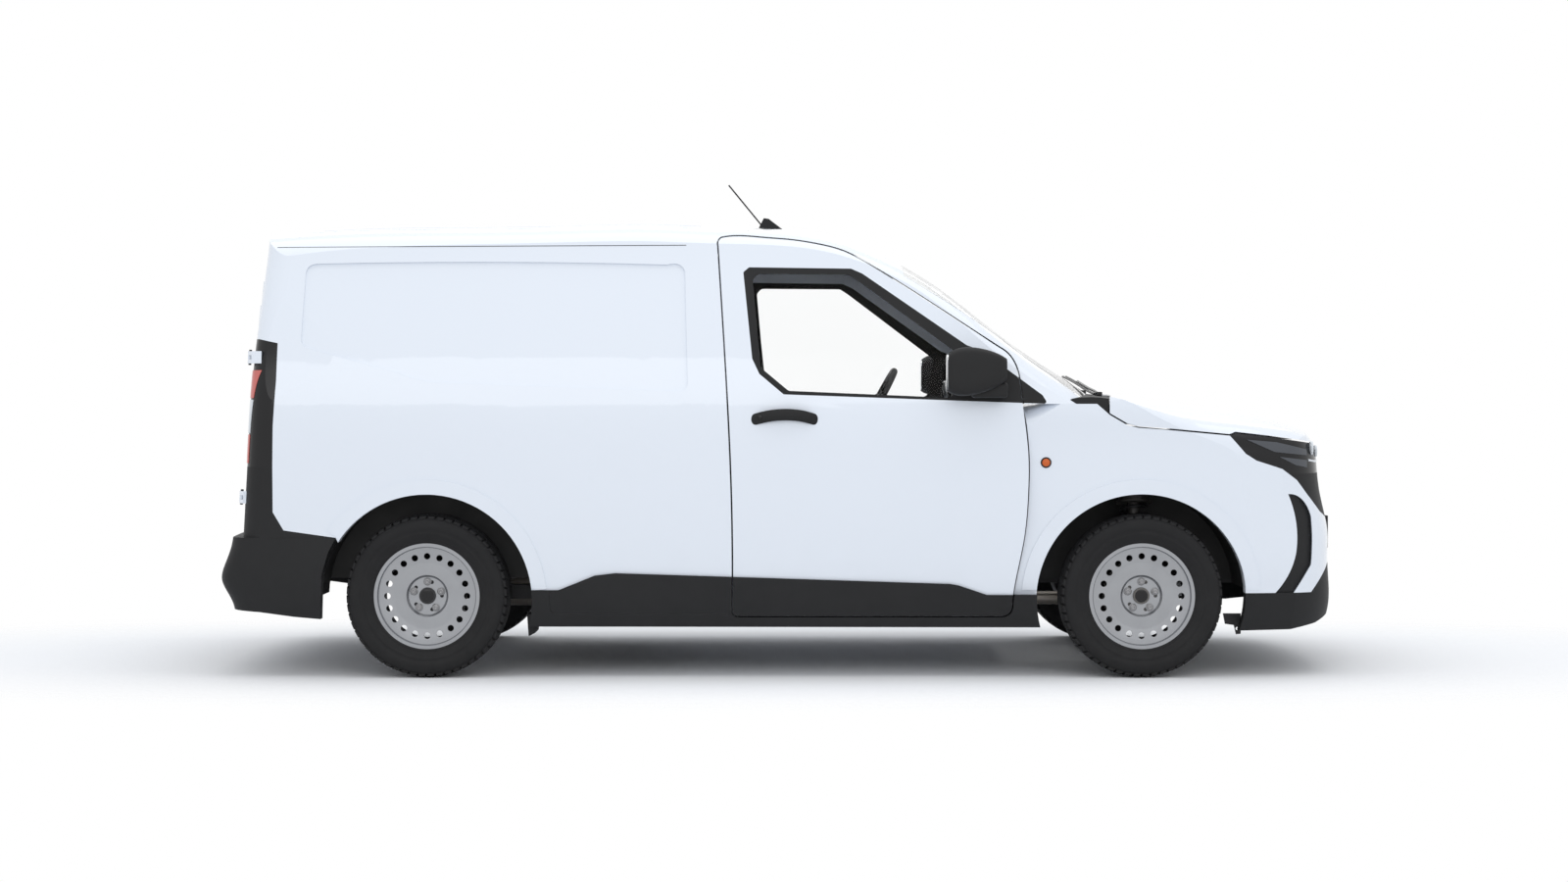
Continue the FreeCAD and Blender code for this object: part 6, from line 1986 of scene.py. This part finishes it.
@dataclass(frozen=True)
class SeatDress:
    """Two padded seats on their bases and rails."""

    fitter: Fitter
    seat_y: float = 0.37
    pads: tuple[Cushion, ...] = (
        Cushion("seat_cushion", (0.005, 0.0, 0.520), (0.480, 0.350, 0.100), -4.0, 0.012),
        Cushion("seat_back", (-0.215, 0.0, 0.830), (0.090, 0.320, 0.540), -15.0, 0.012),
        Cushion("seat_headrest", (-0.306, 0.0, 1.210), (0.075, 0.225, 0.160), -15.0, 0.008),
    )
    bolsters: tuple[Cushion, ...] = (
        Cushion("seat_bolster", (0.005, 0.202, 0.535), (0.470, 0.080, 0.125), -4.0, 0.006),
        Cushion("back_bolster", (-0.195, 0.190, 0.800), (0.120, 0.075, 0.470), -15.0, 0.006),
    )
    post_ends: tuple[Spot, ...] = ((-0.272, 1.060), (-0.305, 1.180))
    post_y: float = 0.055
    post_radius: float = 0.006
    base_middle: Point = (0.0, 0.0, 0.425)
    base_span: Point = (0.420, 0.400, 0.080)
    base_narrowing: Point = (0.9, 0.92, 1.0)
    rail: Moulding = Moulding((0.0, 0.170, 0.368), (0.480, 0.036, 0.030), 0.004, 2)
    cover_middle: Point = (-0.200, 0.232, 0.500)
    cover_radii: Point = (0.075, 0.018, 0.055)

    def build(self) -> None:
        """Builds both seats."""
        for side in Side:
            self.padding(side)
            self.frame(side)

    def pad(self, cushion: Cushion, y: float, name: str) -> None:
        """Builds one pad, rides it and has it stand for the plain seats.

        Args:
            cushion: The cushion that it follows.
            y: Y of its middle.
            name: Name of the piece.
        """
        piece = cushion.build(y)
        self.fitter.ride(piece, name, Finish.SEAT_CLOTH, 60.0)
        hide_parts("seats")

    def padding(self, side: Side) -> None:
        """Builds the cushion, back, headrest and bolsters of one seat.

        Args:
            side: Side of the van.
        """
        y = side.value * self.seat_y
        for cushion in self.pads:
            self.pad(cushion, y, f"{cushion.name}_{side.word}")
        for turn in (-1.0, 1.0):
            tag = "inner" if turn * side.value < 0 else "outer"
            for cushion in self.bolsters:
                name = f"{cushion.name}_{tag}_{side.word}"
                self.pad(cushion, y + turn * cushion.middle[1], name)

    def frame(self, side: Side) -> None:
        """Builds the headrest posts, base, rails and recliner cover of one seat.

        Args:
            side: Side of the van.
        """
        y = side.value * self.seat_y
        posts = []
        rails = []
        for turn in (-1.0, 1.0):
            line = [(x, y + turn * self.post_y, z) for x, z in self.post_ends]
            posts.append(Bench.tube(line, self.post_radius))
            rails.append(self.rail.build((0.0, y, 0.0), turn))
        base = Bench.block((self.base_middle[0], y, self.base_middle[2]), self.base_span)
        Bench.taper(base, DOWNWARD, self.base_narrowing)
        Bench.soften(base, 0.012, 3)
        x, out, z = self.cover_middle
        cover = Bench.dome((x, y + side.value * out, z), self.cover_radii, 28)
        for name, piece, finish, angle in (
            ("headrest_posts", Bench.joined(posts), Finish.MIRROR_SILVER, 50.0),
            ("seat_base", base, Finish.CAB_PLASTIC, 40.0),
            ("seat_rails", Bench.joined(rails), Finish.CHASSIS_BLACK, 40.0),
            ("seat_recliner", cover, Finish.CAB_PLASTIC, 60.0),
        ):
            self.fitter.ride(piece, f"{name}_{side.word}", finish, angle)


@dataclass(frozen=True)
class CabDress:
    """Fittings of the steering wheel, the dashboard and the footwell."""

    fitter: Fitter
    hub: Point = (0.380, 0.370, 1.001)
    column_axis: Point = (-0.882948, 0.0, 0.469472)
    column_lean: float = 62.0
    cover_radii: Point = (0.070, 0.085, 0.024)
    cover_lift: float = 0.012
    pod: Moulding = Moulding(ORIGIN, (0.034, 0.046, 0.012), 0.004, lean=-62.0)
    pod_lift: float = 0.014
    pod_y: float = 0.105
    stalk_drop: float = 0.050
    stalk_line: tuple[Point, ...] = (
        (0.0, 0.030, 0.010), (0.0, 0.090, 0.028), (-0.010, 0.165, 0.040),
    )
    stalk_radius: float = 0.0075
    hood_x: float = 0.745
    hood_radius: float = 0.105
    hood_length: float = 0.150
    screen: Moulding = Moulding(
        (0.672, 0.0, 0.045),
        (0.014, 0.235, 0.150),
        0.0025,
        2,
        -6.0,
        BACKWARD,
        ((0.008, -0.002),),
    )
    vent_ys: tuple[float, ...] = (-0.640, -0.110, 0.110, 0.640)
    vent_z: float = 0.900
    vent: Moulding = Moulding(
        (-0.002, 0.0, 0.0), (0.018, 0.120, 0.062), 0.002, 2, way=BACKWARD, rims=((0.006, -0.012),)
    )
    slat: Moulding = Moulding((-0.004, 0.0, -0.018), (0.010, 0.106, 0.0025), 0.0008, 1)
    slat_count: int = 4
    slat_pitch: float = 0.012
    lid_place: Spot = (-0.370, 0.740)
    lid: Moulding = Moulding(
        (-0.003, 0.0, 0.0), (0.014, 0.400, 0.150), 0.003, 2, way=BACKWARD, rims=((0.012, -0.003),)
    )
    console: Moulding = Moulding((0.520, 0.0, 0.640), (0.300, 0.210, 0.200), 0.020, 4, -12.0)
    gaiter_middle: Point = (0.440, 0.030, 0.742)
    lever_line: tuple[Point, ...] = (
        (0.440, 0.030, 0.735), (0.425, 0.030, 0.810), (0.405, 0.030, 0.860),
    )
    lever_radius: float = 0.008
    knob_middle: Point = (0.403, 0.030, 0.872)
    knob_radii: Point = (0.025, 0.022, 0.032)
    pedals: tuple[tuple[str, float, float], ...] = (
        ("clutch", 0.450, 0.060),
        ("brake", 0.350, 0.070),
        ("throttle", 0.265, 0.045),
    )
    pedal_x: float = 0.700
    pedal_z: float = 0.430
    pedal_arm: tuple[Spot, ...] = ((0.706, 0.440), (0.760, 0.520), (0.790, 0.640))

    def build(self) -> None:
        """Fits out the cab."""
        self.steering()
        self.instruments()
        self.vents()
        self.controls()

    def steering(self) -> None:
        """Adds the airbag cover, buttons and stalks of the steering wheel."""
        hub = Vector(self.hub)
        axis = Vector(self.column_axis)
        cover = Bench.dome(ORIGIN, self.cover_radii, 40)
        Bench.turned(cover, math.radians(self.column_lean), "Y")
        cover.location = hub + axis * self.cover_lift
        self.fitter.ride(cover, "steering_cover", Finish.CAB_PLASTIC, 60.0, "steering")
        for side in Side:
            place = hub + axis * self.pod_lift + Vector((0.0, side.value * self.pod_y, 0.0))
            pod, name = self.pod.build(place), f"steering_buttons_{side.word}"
            self.fitter.ride(pod, name, Finish.GLOSS_BLACK, body="steering")
            foot = hub - axis * self.stalk_drop
            line = [foot + Vector((x, side.value * y, z)) for x, y, z in self.stalk_line]
            stalk = Bench.tube(line, self.stalk_radius)
            self.fitter.ride(stalk, f"column_stalk_{side.word}", Finish.CAB_PLASTIC, 50.0)

    def instruments(self) -> None:
        """Adds the instrument hood and the screen on top of the dashboard."""
        y = self.hub[1]
        top = self.fitter.reach("dashboard", (0.760, y, 1.40), DOWNWARD).z
        middle = (self.hood_x, y, top - 0.010)
        hood = Bench.drum(middle, self.hood_radius, self.hood_length, LENGTHWAYS, 40)
        Bench.trim(hood, (self.hood_x, y, top - 0.012), DOWNWARD)
        Bench.dish(hood, BACKWARD, ((0.007, -0.060),))
        Bench.soften(hood, 0.003)
        self.fitter.ride(hood, "instrument_hood", Finish.CAB_PLASTIC)
        screen = self.screen.build((0.0, 0.0, top))
        self.fitter.ride(screen, "centre_screen", Finish.GLOSS_BLACK)

    def vents(self) -> None:
        """Sets four vents with their slats, and the glovebox lid, on the dashboard's face."""
        for index, y in enumerate(self.vent_ys):
            place = self.fitter.reach("dashboard", (0.0, y, self.vent_z), FORWARD)
            parts = [self.vent.build(place)]
            for step in range(self.slat_count):
                lift = Vector((0.0, 0.0, step * self.slat_pitch))
                parts.append(self.slat.build(place + lift))
            self.fitter.ride(Bench.joined(parts), f"dash_vent_{index}", Finish.GLOSS_BLACK)
        place = self.fitter.reach("dashboard", (0.0, *self.lid_place), FORWARD)
        self.fitter.ride(self.lid.build(place), "glovebox_lid", Finish.CAB_PLASTIC)

    def controls(self) -> None:
        """Adds the console, the gear lever and the three pedals."""
        console = self.console.build()
        self.fitter.ride(console, "centre_console", Finish.CAB_PLASTIC)
        turn = (0.0, math.radians(self.console.lean), 0.0)
        gaiter = Bench.ring(self.gaiter_middle, 0.030, 0.012, turn, 40)
        stick = Bench.tube(self.lever_line, self.lever_radius)
        knob = Bench.dome(self.knob_middle, self.knob_radii, 28)
        lever = Bench.joined([gaiter, stick, knob])
        self.fitter.ride(lever, "gear_lever", Finish.GRIP_LEATHER, 50.0)
        for name, y, width in self.pedals:
            middle = (self.pedal_x, y, self.pedal_z)
            face = Moulding(middle, (0.014, width, 0.075), 0.004, lean=-25.0).build()
            arm = Bench.tube(((x, y, z) for x, z in self.pedal_arm), 0.007, 3)
            pedal = Bench.joined([face, arm])
            self.fitter.ride(pedal, f"{name}_pedal", Finish.CAB_PLASTIC, 50.0)


# Load space, engine bay and suspension


@dataclass(frozen=True)
class LoadDress:
    """Ribbed mat and lashing rings of the load space."""

    fitter: Fitter
    rib_middle: Point = (-1.180, -0.470, 0.549)
    rib_span: Point = (1.300, 0.030, 0.008)
    rib_narrowing: Point = (0.99, 0.6, 1.0)
    rib_count: int = 17
    rib_pitch: float = 0.0585
    ring_xs: tuple[float, ...] = (-1.7825, -0.6825)
    ring_y: float = 0.432
    ring_z: float = 0.572
    ring_radius: float = 0.022
    ring_thickness: float = 0.0035
    foot_z: float = 0.546
    foot_section: tuple[Spot, ...] = (
        (0.0, 0.010), (0.012, 0.010), (0.016, 0.007), (0.030, 0.004), (0.033, 0.0),
        (0.033, -0.001), (0.0, -0.001),
    )

    def build(self) -> None:
        """Lays the mat and sets the rings."""
        rib = Bench.block(self.rib_middle, self.rib_span)
        Bench.taper(rib, UPWARD, self.rib_narrowing)
        Bench.soften(rib, 0.002)
        Bench.modify(
            rib,
            "ARRAY",
            count=self.rib_count,
            use_relative_offset=False,
            use_constant_offset=True,
            constant_offset_displace=(0.0, self.rib_pitch, 0.0),
        )
        self.fitter.ride(rib, "load_floor_ribs", Finish.DARK_TRIM)
        for index, x in enumerate(self.ring_xs):
            for side in Side:
                piece = self.lashing_ring(x, side.value * self.ring_y)
                self.fitter.ride(piece, f"lashing_ring_{index}_{side.word}", Finish.BOLT_STEEL)

    def lashing_ring(self, x: float, y: float) -> Piece:
        """Builds a folding ring on its round foot.

        Args:
            x: X of the lashing point.
            y: Y of the lashing point.

        Returns:
            The ring and its foot.
        """
        foot = Bench.spun(self.foot_section, ORIGIN, 36)
        Bench.turned(foot, -math.pi / 2, "X")
        foot.location = (x, y, self.foot_z)
        Bench.settle(foot)
        middle = (x, y, self.ring_z)
        ring = Bench.ring(middle, self.ring_radius, self.ring_thickness, UPRIGHT, 40)
        return Bench.joined([foot, ring])


@dataclass(frozen=True)
class EngineBayDress:
    """What lies round the engine block, and the front springs."""

    fitter: Fitter
    engine_test: Point = (1.430, 0.0, 2.0)
    cover: Moulding = Moulding(
        (1.430, 0.0, 0.012),
        (0.300, 0.420, 0.050),
        0.008,
        rims=((0.030, 0.012), (0.040, -0.008)),
    )
    battery: Moulding = Moulding(
        (1.300, 0.520, 0.740), (0.175, 0.240, 0.170), 0.003, 2, rims=((0.008, 0.010),)
    )
    terminals: tuple[Point, ...] = ((1.250, 0.440, 0.838), (1.250, 0.600, 0.838))
    terminal_radius: float = 0.009
    terminal_height: float = 0.022
    tank: Moulding = Moulding((1.300, -0.540, 0.760), (0.150, 0.170, 0.130), 0.025, 5)
    tank_cap: Point = (1.300, -0.540, 0.835)
    tank_cap_radius: float = 0.028
    tank_cap_height: float = 0.030
    fan_middle: Point = (1.912, 0.0, 0.500)
    fan_radius: float = 0.165
    shroud_thickness: float = 0.009
    blade_count: int = 7
    blade_lift: float = 0.090
    blade_span: Point = (0.006, 0.050, 0.130)
    blade_pitch: float = 0.5
    fan_hub_x: float = 1.908
    fan_hub_radius: float = 0.040
    fan_hub_length: float = 0.026
    strut_foot: Point = (1.3495, 0.695, 0.2155)
    strut_axis: Point = (0.0, -0.214735, 0.976672)
    spring_start: float = 0.330
    spring_rise: float = 0.170
    spring_radius: float = 0.050
    spring_turns: int = 5
    spring_steps: int = 10
    wire_radius: float = 0.0055

    def build(self) -> None:
        """Fits out the engine bay and both front struts."""
        top = self.fitter.reach("engine_block", self.engine_test, DOWNWARD).z
        parts = (
            ("engine_cover", self.cover.build((0.0, 0.0, top)), Finish.CAB_PLASTIC, 40.0),
            ("battery", self.battery_box(), Finish.DARK_TRIM, 40.0),
            ("coolant_tank", self.coolant_tank(), Finish.PALE_PLASTIC, 40.0),
            ("cooling_fan", self.fan(), Finish.CAB_PLASTIC, 50.0),
        )
        for name, piece, finish, angle in parts:
            self.fitter.ride(piece, name, finish, angle)
        for side in Side:
            self.spring(side)

    def battery_box(self) -> Piece:
        """Builds the battery with its two terminals.

        Returns:
            The battery.
        """
        parts = [self.battery.build()]
        for middle in self.terminals:
            post = Bench.drum(middle, self.terminal_radius, self.terminal_height, sides=24)
            parts.append(Bench.soften(post, 0.002))
        return Bench.joined(parts)

    def coolant_tank(self) -> Piece:
        """Builds the coolant tank with its cap.

        Returns:
            The tank.
        """
        tank = self.tank.build()
        cap = Bench.drum(self.tank_cap, self.tank_cap_radius, self.tank_cap_height, sides=28)
        return Bench.joined([tank, Bench.soften(cap, 0.004, 3)])

    def fan(self) -> Piece:
        """Builds the cooling fan: shroud ring, blades and hub.

        Returns:
            The fan.
        """
        x, y, z = self.fan_middle
        turn = LENGTHWAYS
        shroud = Bench.ring(self.fan_middle, self.fan_radius, self.shroud_thickness, turn, 56)
        middle = (x, y, z + self.blade_lift)
        blade = Bench.block(middle, self.blade_span, (0.0, 0.0, self.blade_pitch))
        Bench.soften(blade, 0.002)
        blades = Bench.wheel_of(blade, self.blade_count, "X", self.fan_middle)
        hub_middle = (self.fan_hub_x, y, z)
        hub = Bench.drum(hub_middle, self.fan_hub_radius, self.fan_hub_length, turn, 32)
        return Bench.joined([shroud, *blades, Bench.soften(hub, 0.004, 3)])

    def spring(self, side: Side) -> None:
        """Winds the coil spring round one front strut, to turn with the knuckle.

        Args:
            side: Side of the van.
        """
        out = side.value
        axis = Vector((self.strut_axis[0], out * self.strut_axis[1], self.strut_axis[2]))
        foot = Vector((self.strut_foot[0], out * self.strut_foot[1], self.strut_foot[2]))
        across = Vector(FORWARD)
        other = axis.cross(across)
        count = self.spring_turns * self.spring_steps
        points = []
        for index in range(count + 1):
            angle = math.tau * index / self.spring_steps
            along = self.spring_start + self.spring_rise * index / count
            arm = (across * math.cos(angle) + other * math.sin(angle)) * self.spring_radius
            points.append(foot + axis * along + arm)
        coil = Bench.tube(points, self.wire_radius, 3)
        body = f"steer_knuckle_{side.word}"
        self.fitter.ride(coil, f"front_spring_{side.word}", Finish.CHASSIS_BLACK, 50.0, body)


# Studio


@dataclass(frozen=True)
class Studio:
    """Floor, lamps, background and camera."""

    floor_radius: float = 9.0
    floor_colour: Colour = (0.96, 0.96, 0.965)
    fade_squeeze: Point = (0.385, 1.0, 0.0)
    fade_start: float = 1.05
    fade_end: float = 2.10
    lamps: tuple[tuple[str, Point, float, Spot, float], ...] = (
        ("overhead", (0.0, -0.5, 6.0), 0.0, (8.0, 5.0), 110.0),
        ("front_panel", (0.5, -9.5, 4.2), 66.0, (10.0, 3.0), 132.0),
        ("back_panel", (0.0, 8.0, 4.5), -60.0, (9.0, 3.0), 66.0),
    )
    sky_strength: float = 0.82
    sky_colour: Colour = (0.93, 0.96, 1.0)
    camera_place: Point = (0.002, -10.8, 1.083)
    camera_tilt: float = 1.10
    focal_length: float = 60.75
    sensor_width: float = 36.0

    def build(self) -> None:
        """Builds the whole studio."""
        self.floor()
        for lamp in self.lamps:
            self.lamp(*lamp)
        self.world()
        self.camera()
        bpy.context.scene.view_settings.view_transform = "Standard"

    def floor(self) -> None:
        """Adds a wide, plain pale floor that fades into the white background."""
        Bench.deselect()
        bpy.ops.mesh.primitive_circle_add(vertices=96, radius=self.floor_radius, fill_type="NGON")
        floor = bpy.context.active_object
        sheet = MaterialSheet("studio_floor")
        sheet.set(Base_Color=self.floor_colour, Roughness=0.9, Specular_IOR_Level=0.0)
        squeezed = sheet.vector("MULTIPLY", sheet.place, self.fade_squeeze)
        fade = sheet.nodes.new("ShaderNodeMapRange")
        fade.interpolation_type = "SMOOTHSTEP"
        fade.inputs["From Min"].default_value = self.fade_start
        fade.inputs["From Max"].default_value = self.fade_end
        fade.inputs["To Min"].default_value = 1.0
        fade.inputs["To Max"].default_value = 0.0
        sheet.links.new(sheet.vector("LENGTH", squeezed), fade.inputs["Value"])
        sheet.links.new(fade.outputs["Result"], sheet.shader.inputs["Alpha"])
        floor.name = "studio_floor"
        floor.data.materials.append(sheet.material)

    def lamp(self, name: str, place: Point, tilt: float, size: Spot, power: float) -> None:
        """Adds one soft panel lamp.

        Args:
            name: Its name.
            place: Its place.
            tilt: Its tilt about X from straight down, in degrees.
            size: Its width and depth.
            power: Its power in watts.
        """
        light = bpy.data.lights.new(name, "AREA")
        light.shape = "RECTANGLE"
        light.size, light.size_y = size
        light.energy = power
        lamp = bpy.data.objects.new(name, light)
        lamp.location = place
        lamp.rotation_euler = (math.radians(tilt), 0.0, 0.0)
        bpy.context.scene.collection.objects.link(lamp)

    def world(self) -> None:
        """Lights the van evenly, with a white background for the camera, gloss and glass."""
        world = bpy.data.worlds.new("studio_world")
        world.use_nodes = True
        bpy.context.scene.world = world
        nodes, links = world.node_tree.nodes, world.node_tree.links
        path = nodes.new("ShaderNodeLightPath")
        white = path.outputs["Is Camera Ray"]
        for ray in ("Is Transmission Ray", "Is Glossy Ray"):
            either = nodes.new("ShaderNodeMath")
            either.operation = "MAXIMUM"
            links.new(white, either.inputs[0])
            links.new(path.outputs[ray], either.inputs[1])
            white = either.outputs[0]
        strength = nodes.new("ShaderNodeMapRange")
        strength.inputs["To Min"].default_value = self.sky_strength
        strength.inputs["To Max"].default_value = 1.0
        blend = nodes.new("ShaderNodeMix")
        blend.data_type = "RGBA"
        blend.inputs["A"].default_value = (*self.sky_colour, 1.0)
        blend.inputs["B"].default_value = (1.0, 1.0, 1.0, 1.0)
        links.new(white, strength.inputs["Value"])
        links.new(white, blend.inputs["Factor"])
        links.new(strength.outputs["Result"], nodes["Background"].inputs["Strength"])
        links.new(blend.outputs["Result"], nodes["Background"].inputs["Color"])

    def camera(self) -> None:
        """Adds the camera at the photograph's viewing angle."""
        data = bpy.data.cameras.new("view_camera")
        data.sensor_width = self.sensor_width
        data.lens = self.focal_length
        camera = bpy.data.objects.new("view_camera", data)
        camera.location = self.camera_place
        camera.rotation_euler = (math.radians(90.0 - self.camera_tilt), 0.0, 0.0)
        bpy.context.scene.collection.objects.link(camera)
        bpy.context.scene.camera = camera


def main() -> None:
    """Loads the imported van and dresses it."""
    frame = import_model()
    Bench.deselect()
    nodes = frame["nodes"]
    shop = FinishShop()
    for finish, names in NODE_FINISHES.items():
        for name in names:
            shop.dress(nodes[name], finish)
            log.info("dressed %s in %s", name, finish.value.name)
    fitter = Fitter(nodes, shop)
    Tyres(fitter).build()
    WheelDress(fitter).build()
    ArchFlares(fitter).build()
    LampDress(fitter).build()
    ShellDress(fitter).build()
    DoorDress(fitter).build()
    SeatDress(fitter).build()
    CabDress(fitter).build()
    LoadDress(fitter).build()
    EngineBayDress(fitter).build()
    log.info("%d pieces", fitter.count)
    Studio().build()


if __name__ == "__main__":
    main()
